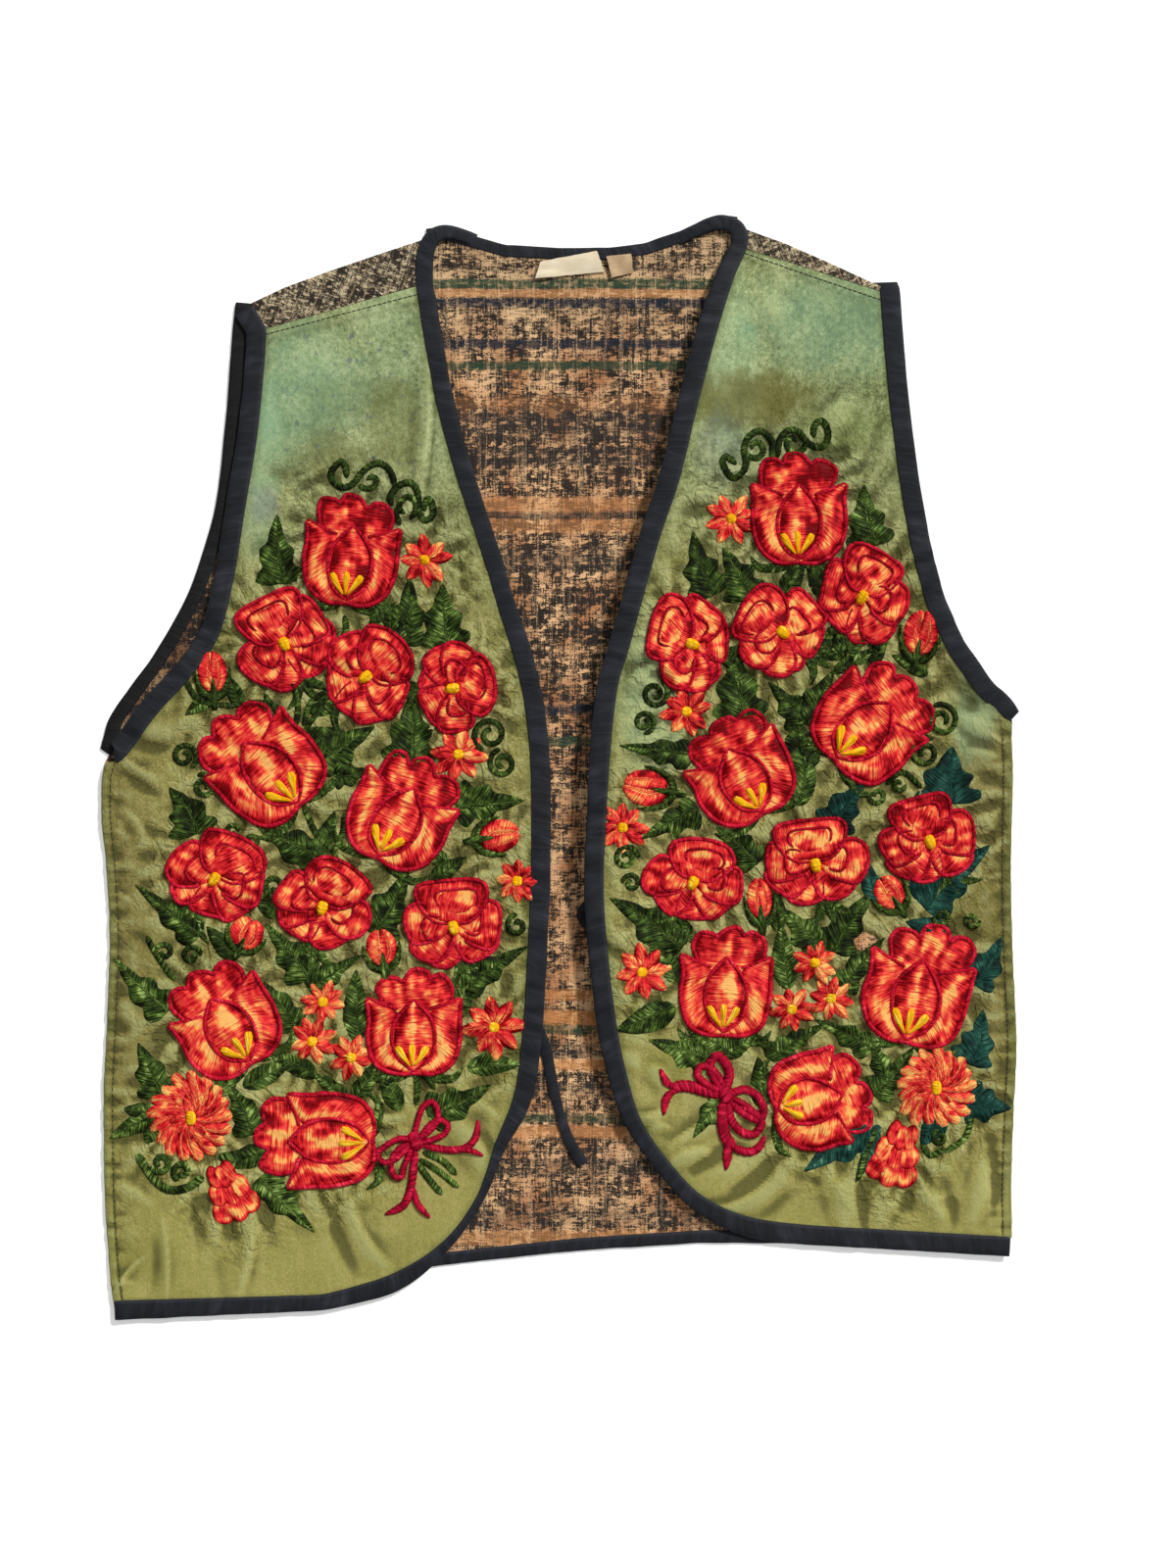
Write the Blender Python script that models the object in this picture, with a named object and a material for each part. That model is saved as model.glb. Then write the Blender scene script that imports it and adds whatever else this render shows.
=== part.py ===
"""An embroidered sleeveless waistcoat, laid out flat with its fronts up.

Sizes are in millimetres until a mesh is made, which is in metres.
+X is the wearer's left, +Y runs from the hem to the neck and +Z is up from the floor.
The back's outer face rests on z = 0, and the two fronts lie on the back.
"""

import math
from typing import NamedTuple

import bmesh
import bpy

MM = 0.001

# Cloth and seams
BACK_WALL = 1.2
FRONT_WALL = 1.3
SEAM_GAP = 0.3
BACK_BAND_THICK = 2.0
FRONT_BAND_THICK = 2.1

# Heights above the floor
FRONT_LIES_AT = 2.4
SIDE_REACH = 16.0
EDGE_REACH = 46.0

# Bindings, as seen from above
NECK_BAND = 6.0
HEM_BAND = 10.5
BACK_HEM_BAND = 6.5
ARMHOLE_BAND = 10.5

# How finely the panels are divided
FRONT_ACROSS = 32
FRONT_ALONG = 66
BACK_ALONG = 44
SHOULDER_STEPS = 9
NECK_STEPS = 22
FOLD_STEPS = 4
FLAP_STEPS = 3

# Shares across the top of the back where the shoulders end and the neck begins
NECK_FROM = 0.272
NECK_TO = 0.779


class Section(NamedTuple):
    """One line across a front panel, from its side to its front edge."""

    side_x: float
    side_y: float
    front_x: float
    front_y: float
    band: float
    side_lift: float
    front_lift: float


# From the hem to the shoulder seam. band is the width of the front edge's binding.
RIGHT_FRONT = (
    Section(-250.0, -299.1, -132.3, -295.8, 9.0, 0.0, 0.0),
    Section(-251.6, -287.0, -94.3, -284.2, 9.5, 0.0, 0.0),
    Section(-253.3, -268.3, -65.7, -266.1, 5.0, -0.9, 0.0),
    Section(-254.9, -241.9, -46.5, -240.8, 4.0, -0.9, 0.4),
    Section(-255.5, -209.4, -36.0, -211.1, 6.0, -0.9, 0.6),
    Section(-255.5, -179.2, -25.0, -181.9, 10.0, -0.9, 0.8),
    Section(-253.8, -143.4, -20.1, -143.4, 10.5, -0.9, 0.8),
    Section(-252.2, -98.9, -17.3, -96.7, 10.5, -0.9, 0.8),
    Section(-253.8, -59.3, -15.7, -54.9, 10.5, -0.9, 0.8),
    Section(-256.6, -25.7, -15.7, -4.3, 10.5, 0.0, 0.8),
    Section(-254.9, 0.7, -18.4, 29.3, 10.5, 0.0, 0.8),
    Section(-244.5, 6.7, -22.8, 52.9, 10.0, 0.0, 0.8),
    Section(-226.9, 30.4, -28.3, 72.2, 10.0, 0.5, 0.8),
    Section(-206.5, 52.9, -34.4, 91.4, 9.5, 0.8, 0.8),
    Section(-191.7, 75.5, -40.4, 111.8, 9.5, 0.5, 0.8),
    Section(-184.0, 104.6, -48.1, 135.4, 9.5, 0.0, 0.8),
    Section(-177.4, 144.8, -59.1, 169.0, 9.5, 0.0, 0.8),
    Section(-170.2, 188.8, -69.0, 206.4, 9.5, 0.0, 0.8),
    Section(-166.4, 227.8, -76.2, 245.4, 9.5, 0.0, 0.6),
    Section(-165.3, 246.5, -80.0, 270.7, 9.0, 0.0, 0.0),
)
LEFT_FRONT = (
    Section(252.7, -263.3, 137.8, -256.7, 10.5, 0.0, 0.0),
    Section(252.7, -250.7, 107.0, -252.3, 10.5, 0.0, 0.0),
    Section(252.7, -234.2, 80.6, -240.8, 9.0, -0.9, 1.0),
    Section(253.3, -211.1, 61.9, -222.1, 8.0, -0.9, 2.0),
    Section(254.4, -185.8, 45.9, -199.0, 8.5, -0.9, 3.5),
    Section(255.5, -165.4, 37.7, -174.8, 10.0, -0.9, 5.0),
    Section(255.5, -146.2, 31.6, -146.2, 10.5, -0.9, 7.0),
    Section(253.8, -110.4, 26.7, -107.7, 10.5, -0.9, 8.5),
    Section(252.7, -74.7, 23.9, -70.3, 10.5, -0.9, 9.5),
    Section(252.7, -41.7, 25.0, -32.3, 10.5, -0.9, 9.5),
    Section(253.3, -8.7, 27.8, 12.2, 11.0, 0.0, 9.5),
    Section(252.7, 15.0, 31.6, 44.7, 11.0, 0.0, 9.5),
    Section(251.1, 27.6, 37.1, 63.9, 11.0, 0.0, 9.5),
    Section(236.8, 39.7, 42.6, 83.7, 11.0, 2.0, 9.5),
    Section(226.3, 53.5, 48.1, 103.5, 11.0, 4.0, 9.5),
    Section(215.3, 70.5, 55.8, 130.5, 11.0, 3.5, 9.5),
    Section(203.8, 99.7, 66.3, 161.8, 11.0, 1.5, 9.5),
    Section(193.9, 144.2, 75.6, 199.8, 11.0, 0.0, 9.0),
    Section(186.7, 194.8, 86.1, 239.9, 11.0, 0.0, 8.0),
    Section(182.9, 232.8, 96.0, 272.4, 10.0, 0.0, 4.0),
    Section(180.1, 267.4, 104.2, 291.6, 9.0, 0.0, 0.0),
)
# Where in each table the armhole begins
RIGHT_ARMHOLE_ROW = 10.8
LEFT_ARMHOLE_ROW = 12.0


class Ends(NamedTuple):
    """The two ends of one line across the back panel."""

    left_x: float
    left_y: float
    right_x: float
    right_y: float


# From the hem to the shoulders; left and right are as seen from above
BACK = (
    Ends(-251.0, -299.1, 252.7, -262.8),
    Ends(-253.3, -268.3, 252.7, -240.0),
    Ends(-255.5, -209.4, 254.4, -194.0),
    Ends(-254.4, -161.0, 255.5, -150.0),
    Ends(-252.7, -110.0, 253.8, -110.0),
    Ends(-253.8, -59.3, 252.7, -66.0),
    Ends(-256.6, -25.7, 252.7, -30.0),
    Ends(-256.6, 0.0, 252.7, 3.0),
    Ends(-249.5, 12.0, 250.0, 26.0),
    Ends(-242.3, 25.4, 235.7, 39.0),
    Ends(-231.8, 43.6, 225.2, 53.0),
    Ends(-218.6, 62.3, 214.2, 70.0),
    Ends(-206.0, 81.5, 207.1, 86.0),
    Ends(-194.4, 104.1, 201.5, 104.0),
    Ends(-183.4, 143.1, 192.5, 144.0),
    Ends(-178.0, 190.0, 185.6, 192.0),
    Ends(-175.2, 222.0, 182.4, 226.0),
    Ends(-173.5, 259.7, 180.1, 270.7),
)
BACK_ARMHOLE_ROW = 7.4


class Rise(NamedTuple):
    """How far a cut edge stands above the straight line between its ends."""

    share: float
    rise: float


BACK_HEM = (
    Rise(0.0, 0.0),
    Rise(0.2, 7.2),
    Rise(0.37, 13.3),
    Rise(0.52, 16.0),
    Rise(0.66, 15.3),
    Rise(0.81, 8.8),
    Rise(1.0, 0.0),
)
# Shoulder slopes with the neck scooped out between them
BACK_TOP = (
    Rise(0.0, 0.0),
    Rise(0.051, 7.7),
    Rise(0.121, 16.3),
    Rise(0.205, 25.8),
    Rise(0.272, 33.9),
    Rise(0.297, 35.2),
    Rise(0.342, 30.9),
    Rise(0.401, 24.2),
    Rise(0.484, 21.6),
    Rise(0.568, 20.7),
    Rise(0.63, 22.8),
    Rise(0.692, 29.8),
    Rise(0.751, 36.6),
    Rise(0.779, 35.5),
    Rise(0.848, 25.9),
    Rise(0.919, 14.1),
    Rise(1.0, 0.0),
)
# How far from an edge of the back its curve still bends the lines across
BACK_HEM_FADE = 0.25
BACK_TOP_FADE = 0.35


class Fold(NamedTuple):
    """A soft ridge in a front, from one end to the other. width is to each side."""

    from_x: float
    from_y: float
    to_x: float
    to_y: float
    width: float
    height: float


RIGHT_FOLDS = (
    Fold(-77.0, 243.0, -79.0, 146.0, 14.0, 1.6),
    Fold(-58.0, 130.0, -34.0, 84.0, 13.0, 1.5),
    Fold(-238.0, 8.0, -205.0, 25.0, 13.0, 1.8),
    Fold(-172.0, -262.0, -176.0, -294.0, 14.0, 1.6),
    Fold(-224.0, -252.0, -223.0, -296.0, 14.0, 1.5),
    Fold(-246.0, -212.0, -222.0, -228.0, 12.0, 1.4),
    Fold(-118.0, -240.0, -96.0, -280.0, 14.0, 1.6),
    Fold(-62.0, -196.0, -42.0, -228.0, 12.0, 1.5),
)
LEFT_FOLDS = (
    Fold(62.0, -212.0, 120.0, -190.0, 12.0, 2.2),
    Fold(88.0, -246.0, 126.0, -222.0, 13.0, 2.4),
    Fold(150.0, -224.0, 160.0, -258.0, 14.0, 2.0),
    Fold(196.0, -222.0, 214.0, -256.0, 14.0, 2.0),
    Fold(236.0, -222.0, 230.0, -256.0, 12.0, 1.8),
    Fold(112.0, 268.0, 126.0, 236.0, 14.0, 1.8),
    Fold(160.0, 208.0, 148.0, 190.0, 13.0, 1.8),
    Fold(186.0, 196.0, 170.0, 158.0, 12.0, 1.6),
)


class Motif(NamedTuple):
    """One embroidered form: where its middle is, its size, and its turn in degrees from upright."""

    kind: str
    x: float
    y: float
    length: float
    width: float
    turn: float


RIGHT_MOTIFS = (
    Motif("cup", -117, 122, 65, 55, -6),
    Motif("cup", -167, 3, 72, 66, 43),
    Motif("cup", -88, -23, 65, 62, -27),
    Motif("cup", -189, -141, 64, 62, 33),
    Motif("cup", -82, -142, 59, 54, 0),
    Motif("cup", -138, -209, 67, 54, 90),
    Motif("round", -155, 71, 58, 57, 0),
    Motif("round", -108, 52, 55, 50, 0),
    Motif("round", -59, 45, 53, 44, 0),
    Motif("round", -193, -61, 51, 55, 0),
    Motif("round", -133, -77, 50, 56, 0),
    Motif("round", -60, -88, 51, 57, 0),
    Motif("disc", -76, 117, 26, 26, 0),
    Motif("disc", -57, 8, 28, 28, 0),
    Motif("disc", -24, -63, 20, 20, 0),
    Motif("disc", -133, -131, 22, 22, 0),
    Motif("disc", -139, -153, 24, 24, 0),
    Motif("disc", -117, -162, 23, 23, 0),
    Motif("disc", -37, -145, 28, 28, 0),
    Motif("disc", -207, -196, 50, 50, 0),
    Motif("disc", -195, 52, 20, 20, 0),
    Motif("disc", -35, -38, 25, 19, -80),
    Motif("disc", -176, -93, 22, 20, -25),
    Motif("disc", -100, -101, 23, 18, 8),
    Motif("disc", -185, -236, 36, 18, -30),
    Motif("bow", -81, -209, 55, 50, 0),
    Motif("leaf", -157, 123, 37, 23, 3),
    Motif("leaf", -85, 88, 32, 20, -14),
    Motif("leaf", -67, 88, 34, 32, 3),
    Motif("leaf", -122, 14, 40, 19, -62),
    Motif("leaf", -210, -24, 32, 25, 34),
    Motif("leaf", -147, -43, 35, 22, 57),
    Motif("leaf", -87, 24, 42, 26, -8),
    Motif("leaf", -40, -18, 37, 19, -93),
    Motif("leaf", -220, -79, 45, 16, 51),
    Motif("leaf", -232, -120, 42, 21, 46),
    Motif("leaf", -225, -167, 34, 20, 40),
    Motif("leaf", -154, -104, 40, 19, 34),
    Motif("leaf", -159, -132, 42, 16, 41),
    Motif("leaf", -126, -112, 36, 15, -64),
    Motif("leaf", -91, -71, 41, 14, -49),
    Motif("leaf", -114, -133, 41, 15, 2),
    Motif("leaf", -154, -243, 47, 23, -135),
    Motif("leaf", -50, -184, 35, 16, -68),
    Motif("leaf", -174, -190, 34, 19, 34),
)
LEFT_MOTIFS = (
    Motif("cup", 134, 146, 62, 54, 0),
    Motif("cup", 176, 27, 66, 64, -45),
    Motif("cup", 100, 0, 61, 62, 29),
    Motif("cup", 93, -119, 62, 52, -2),
    Motif("cup", 201, -120, 70, 62, -12),
    Motif("cup", 147, -185, 56, 59, -78),
    Motif("round", 170, 97, 56, 50, 0),
    Motif("round", 124, 77, 52, 52, 0),
    Motif("round", 73, 70, 57, 46, 0),
    Motif("round", 207, -40, 51, 55, 0),
    Motif("round", 143, -53, 51, 59, 0),
    Motif("round", 75, -63, 48, 56, 0),
    Motif("disc", 96, 140, 25, 25, 0),
    Motif("disc", 71, 32, 26, 26, 0),
    Motif("disc", 37, -33, 22, 22, 0),
    Motif("disc", 46, -114, 28, 28, 0),
    Motif("disc", 143, -109, 22, 22, 0),
    Motif("disc", 152, -129, 23, 23, 0),
    Motif("disc", 130, -135, 22, 22, 0),
    Motif("disc", 211, -179, 47, 47, 0),
    Motif("disc", 202, 75, 28, 20, -10),
    Motif("disc", 49, -11, 28, 21, 80),
    Motif("disc", 112, -74, 26, 18, 5),
    Motif("disc", 185, -70, 21, 18, 35),
    Motif("disc", 190, -215, 34, 19, 15),
    Motif("bow", 91, -185, 55, 53, 60),
    Motif("leaf", 79, 116, 34, 28, 14),
    Motif("leaf", 101, 111, 35, 25, 37),
    Motif("leaf", 172, 142, 33, 24, 6),
    Motif("leaf", 98, 49, 39, 33, 2),
    Motif("leaf", 54, 12, 41, 20, 90),
    Motif("leaf", 141, 36, 42, 24, -19),
    Motif("leaf", 101, -44, 35, 20, 48),
    Motif("leaf", 45, -83, 40, 22, 62),
    Motif("leaf", 126, -104, 34, 15, 7),
    Motif("leaf", 220, -2, 33, 30, -33),
    Motif("leaf", 160, -21, 31, 25, -38),
    Motif("leaf", 221, -60, 50, 22, -50),
    Motif("leaf", 165, -82, 38, 19, -38),
    Motif("leaf", 169, -108, 39, 18, -44),
    Motif("leaf", 232, -110, 36, 22, -46),
    Motif("leaf", 234, -154, 33, 20, -9),
    Motif("leaf", 236, -183, 26, 25, -107),
    Motif("leaf", 183, -170, 26, 22, 25),
    Motif("leaf", 152, -220, 36, 22, 125),
    Motif("leaf", 54, -138, 36, 18, 111),
    Motif("leaf", 66, -155, 33, 19, 82),
)


class Pad(NamedTuple):
    """One padded patch of stitching, as shares of its motif's half length and half width."""

    along: float
    across: float
    half_long: float
    half_wide: float
    turn: float
    height: float


PADS = {
    "cup": (
        Pad(0.58, 0.5, 0.36, 0.4, 0, 0.9),
        Pad(0.68, 0.0, 0.32, 0.36, 0, 1.0),
        Pad(0.58, -0.5, 0.36, 0.4, 0, 0.9),
        Pad(-0.2, 0.62, 0.66, 0.36, 10, 1.1),
        Pad(-0.2, -0.62, 0.66, 0.36, -10, 1.1),
        Pad(-0.25, 0.0, 0.64, 0.42, 0, 1.4),
    ),
    "round": (
        Pad(0.5, 0.15, 0.5, 0.56, 0, 1.1),
        Pad(0.12, 0.52, 0.5, 0.46, 20, 1.3),
        Pad(-0.45, 0.36, 0.5, 0.5, -20, 1.1),
        Pad(-0.5, -0.36, 0.48, 0.52, 15, 1.0),
        Pad(0.1, -0.5, 0.52, 0.48, 0, 1.3),
    ),
    "disc": (Pad(0.0, 0.0, 0.9, 0.9, 0, 0.9),),
    "leaf": (Pad(0.0, 0.0, 0.9, 0.8, 0, 0.7),),
    "bow": (
        Pad(0.0, 0.0, 0.16, 0.16, 0, 1.2),
        Pad(0.38, -0.26, 0.42, 0.18, -30, 0.9),
        Pad(-0.22, 0.42, 0.18, 0.44, 20, 0.9),
        Pad(-0.12, -0.6, 0.14, 0.5, 0, 0.8),
        Pad(-0.6, 0.0, 0.5, 0.14, 0, 0.8),
    ),
}


class Station(NamedTuple):
    """One line across a strip: its middle, the height of its underside and its width."""

    x: float
    y: float
    lies_at: float
    width: float


TIE_WALL = 1.0
RIGHT_TIE = (
    Station(-13.0, -145.0, 1.5, 6.6),
    Station(-8.0, -158.0, 1.5, 6.6),
    Station(-4.5, -176.0, 1.5, 6.2),
    Station(0.5, -196.0, 1.5, 5.6),
    Station(5.5, -210.0, 1.5, 6.6),
    Station(13.0, -222.0, 1.5, 6.6),
)
LEFT_TIE = (
    Station(26.0, -73.0, 9.6, 5.5),
    Station(18.0, -74.5, 6.0, 5.5),
    Station(12.5, -80.0, 2.6, 5.5),
    Station(14.0, -87.0, 1.5, 5.5),
    Station(22.0, -93.0, 1.5, 5.5),
    Station(32.0, -110.0, 1.5, 5.5),
    Station(38.0, -130.0, 1.5, 5.5),
    Station(41.0, -146.0, 1.5, 5.5),
)

LABEL_WALL = 1.0
# Upper side left and right, lower side left and right. The upper side lies on the neck binding.
LABEL_MAIN = ((-11.0, 284.5), (20.5, 290.5), (-14.0, 275.0), (25.0, 279.0))
LABEL_SIDE = ((26.0, 287.5), (40.0, 289.0), (29.0, 275.5), (41.0, 278.5))
LABEL_HIGH = 2.3
LABEL_LOW = 1.5


class Finish(NamedTuple):
    """A cloth's colour, roughness and metallic share."""

    red: float
    green: float
    blue: float
    roughness: float
    metallic: float


IKAT = Finish(0.23, 0.15, 0.10, 0.9, 0.0)
OLIVE = Finish(0.24, 0.29, 0.12, 0.88, 0.0)
NAVY = Finish(0.014, 0.017, 0.032, 0.85, 0.0)
CREAM = Finish(0.72, 0.62, 0.46, 0.85, 0.0)
TAN = Finish(0.50, 0.36, 0.24, 0.88, 0.0)


def clear_scene():
    """Removes whatever the scene holds."""
    for found in list(bpy.data.objects):
        bpy.data.objects.remove(found, do_unlink=True)


def mix(start, end, share):
    """A point at a share of the way between two points of any length."""
    return tuple(a + (b - a) * share for a, b in zip(start, end))


def soft_step(share):
    """0 to 1 with level ends, and held outside them."""
    share = min(max(share, 0.0), 1.0)
    return share * share * (3.0 - 2.0 * share)


def smooth_row(rows, place):
    """A row of figures at a place in a table, on a smooth curve through the rows."""
    step = min(int(place), len(rows) - 2)
    part = place - step
    near = [rows[min(max(step + k, 0), len(rows) - 1)] for k in (-1, 0, 1, 2)]
    found = []
    for a, b, c, d in zip(*near):
        bend = 2 * a - 5 * b + 4 * c - d + part * (3 * (b - c) + d - a)
        found.append(b + 0.5 * part * (c - a + part * bend))
    return found


def even_places(rows, count):
    """Places in a table of lines that divide the cloth evenly along both its edges."""
    fine = [(len(rows) - 1) * k / 400 for k in range(401)]
    walked = [0.0]
    before = smooth_row(rows, 0.0)
    for place in fine[1:]:
        here = smooth_row(rows, place)
        first = math.dist(before[0:2], here[0:2])
        second = math.dist(before[2:4], here[2:4])
        walked.append(walked[-1] + 0.5 * (first + second))
        before = here
    places = []
    k = 0
    for i in range(count):
        wanted = walked[-1] * i / (count - 1)
        while k < 399 and walked[k + 1] < wanted:
            k += 1
        part = (wanted - walked[k]) / (walked[k + 1] - walked[k])
        places.append(fine[k] + (fine[k + 1] - fine[k]) * min(part, 1.0))
    return places


def rise_at(table, share):
    """The rise at a share of the way along a cut edge."""
    for before, after in zip(table, table[1:]):
        if share <= after.share:
            part = (share - before.share) / (after.share - before.share)
            return before.rise + (after.rise - before.rise) * part
    return table[-1].rise


def from_line(x, y, fold):
    """How far a point is from a fold's line."""
    run = (fold.to_x - fold.from_x, fold.to_y - fold.from_y)
    off = (x - fold.from_x, y - fold.from_y)
    share = (off[0] * run[0] + off[1] * run[1]) / (run[0] ** 2 + run[1] ** 2)
    share = min(max(share, 0.0), 1.0)
    return math.hypot(off[0] - share * run[0], off[1] - share * run[1])


def ridge_height(x, y, folds):
    """How far the largest folds lift the cloth at a point."""
    return max(fold.height * soft_step(1.0 - from_line(x, y, fold) / fold.width) for fold in folds)


def pad_height(x, y, motif, pad):
    """The height of one padded patch at a point."""
    turn = math.radians(motif.turn)
    dx, dy = x - motif.x, y - motif.y
    along = (dy * math.cos(turn) - dx * math.sin(turn)) * 2 / motif.length
    across = -(dx * math.cos(turn) + dy * math.sin(turn)) * 2 / motif.width
    lean = math.radians(pad.turn)
    up, left = along - pad.along, across - pad.across
    far = math.hypot(
        (up * math.cos(lean) + left * math.sin(lean)) / pad.half_long,
        (left * math.cos(lean) - up * math.sin(lean)) / pad.half_wide,
    )
    return pad.height * soft_step((1.25 - far) / 0.6)


def stitch_height(x, y, motifs):
    """How far the embroidery stands out of the cloth at a point."""
    height = 0.0
    for motif in motifs:
        if math.hypot(x - motif.x, y - motif.y) < 0.8 * max(motif.length, motif.width):
            height = max([height] + [pad_height(x, y, motif, pad) for pad in PADS[motif.kind]])
    return height


def cloth_finish(name, finish):
    """A node's own material."""
    made = bpy.data.materials.new(name)
    made.use_nodes = True
    shader = made.node_tree.nodes["Principled BSDF"]
    shader.inputs["Base Color"].default_value = (finish.red, finish.green, finish.blue, 1.0)
    shader.inputs["Roughness"].default_value = finish.roughness
    shader.inputs["Metallic"].default_value = finish.metallic
    return made


def make_solid(name, points, faces, finish):
    """One closed body from points in millimetres, its faces turned out."""
    mesh = bpy.data.meshes.new(name)
    mesh.from_pydata([tuple(c * MM for c in point) for point in points], [], faces)
    work = bmesh.new()
    work.from_mesh(mesh)
    bmesh.ops.recalc_face_normals(work, faces=work.faces)
    work.to_mesh(mesh)
    work.free()
    mesh.materials.append(cloth_finish(name, finish))
    made = bpy.data.objects.new(name, mesh)
    bpy.context.scene.collection.objects.link(made)
    return made


def make_wall(name, upper, lower, quads, finish):
    """A cloth wall from an upper and a lower skin with the same faces, closed round its rim."""
    count = len(upper)
    runs = {(quad[k], quad[(k + 1) % 4]) for quad in quads for k in range(4)}
    faces = list(quads)
    faces += [tuple(count + k for k in reversed(quad)) for quad in quads]
    faces += [(b, a, count + a, count + b) for a, b in sorted(runs) if (b, a) not in runs]
    return make_solid(name, list(upper) + list(lower), faces, finish)


def grid_quads(across, along):
    """The faces of a grid of points that runs across first."""
    return [
        (j * across + i, j * across + i + 1, (j + 1) * across + i + 1, (j + 1) * across + i)
        for j in range(along - 1)
        for i in range(across - 1)
    ]


class Front:
    """A front panel's inner skin, from which its wall and its bindings are made."""

    def __init__(self, rows, folds, motifs, armhole_row):
        """Works out the panel's lines and points."""
        self.folds = folds
        self.motifs = motifs
        self.places = even_places(rows, FRONT_ALONG)
        self.sections = [Section(*smooth_row(rows, place)) for place in self.places]
        self.inner = [self.line(section) for section in self.sections]
        self.armhole_from = next(j for j, p in enumerate(self.places) if p >= armhole_row)

    def line(self, section):
        """The inner points of one line, from the side to the front edge."""
        side, front = section[0:2], section[2:4]
        long = math.dist(side, front)
        points = []
        for i in range(FRONT_ACROSS):
            share = i / (FRONT_ACROSS - 1)
            x, y = mix(side, front, share)
            height = FRONT_LIES_AT + ridge_height(x, y, self.folds)
            height += section.side_lift * soft_step(1.0 - share * long / SIDE_REACH)
            height += section.front_lift * soft_step(1.0 - (1.0 - share) * long / EDGE_REACH)
            points.append((x, y, height))
        return points

    def wall(self, name):
        """The panel as a wall, its embroidery raised in the outer points only."""
        lower = [point for line in self.inner for point in line]
        upper = [(x, y, z + FRONT_WALL + stitch_height(x, y, self.motifs)) for x, y, z in lower]
        make_wall(name, upper, lower, grid_quads(FRONT_ACROSS, FRONT_ALONG), OLIVE)

    def edge(self):
        """Points and binding widths from the side corner along the hem and up the front edge."""
        hem = [(point, HEM_BAND) for point in self.inner[0][:-1]]
        front = [(line[-1], section.band) for line, section in zip(self.inner, self.sections)]
        return hem + front

    def armhole(self):
        """Points and binding widths from the armhole's foot up to the shoulder seam."""
        return [(line[0], ARMHOLE_BAND) for line in self.inner[self.armhole_from :]]


def band_ring(point, outward, width, thick):
    """The outline of a folded band beside a cut edge, on the side that outward shows."""
    near = SEAM_GAP
    outline = (
        (near, 0.0),
        (near + 0.86 * width, 0.0),
        (near + width, 0.34 * thick),
        (near + width, 0.68 * thick),
        (near + 0.84 * width, thick),
        (near + 0.16 * width, thick),
        (near, 0.76 * thick),
    )
    x, y, z = point
    return [(x + outward[0] * far, y + outward[1] * far, z + up) for far, up in outline]


def make_band(name, stations, side, thick):
    """A binding swept beside a path. side is 1 where it lies to the left of the path, else -1."""
    rings = []
    for k, (point, width) in enumerate(stations):
        before = stations[max(k - 1, 0)][0]
        after = stations[min(k + 1, len(stations) - 1)][0]
        run = (after[0] - before[0], after[1] - before[1])
        long = math.hypot(*run)
        outward = (-side * run[1] / long, side * run[0] / long)
        rings.append(band_ring(point, outward, width, thick))
    size = len(rings[0])
    points = [point for ring in rings for point in ring]
    faces = [tuple(range(size)), tuple(range(len(points) - size, len(points)))]
    for k in range(len(rings) - 1):
        for i in range(size):
            j = (i + 1) % size
            faces.append((k * size + i, k * size + j, (k + 1) * size + j, (k + 1) * size + i))
    make_solid(name, points, faces, NAVY)


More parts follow.
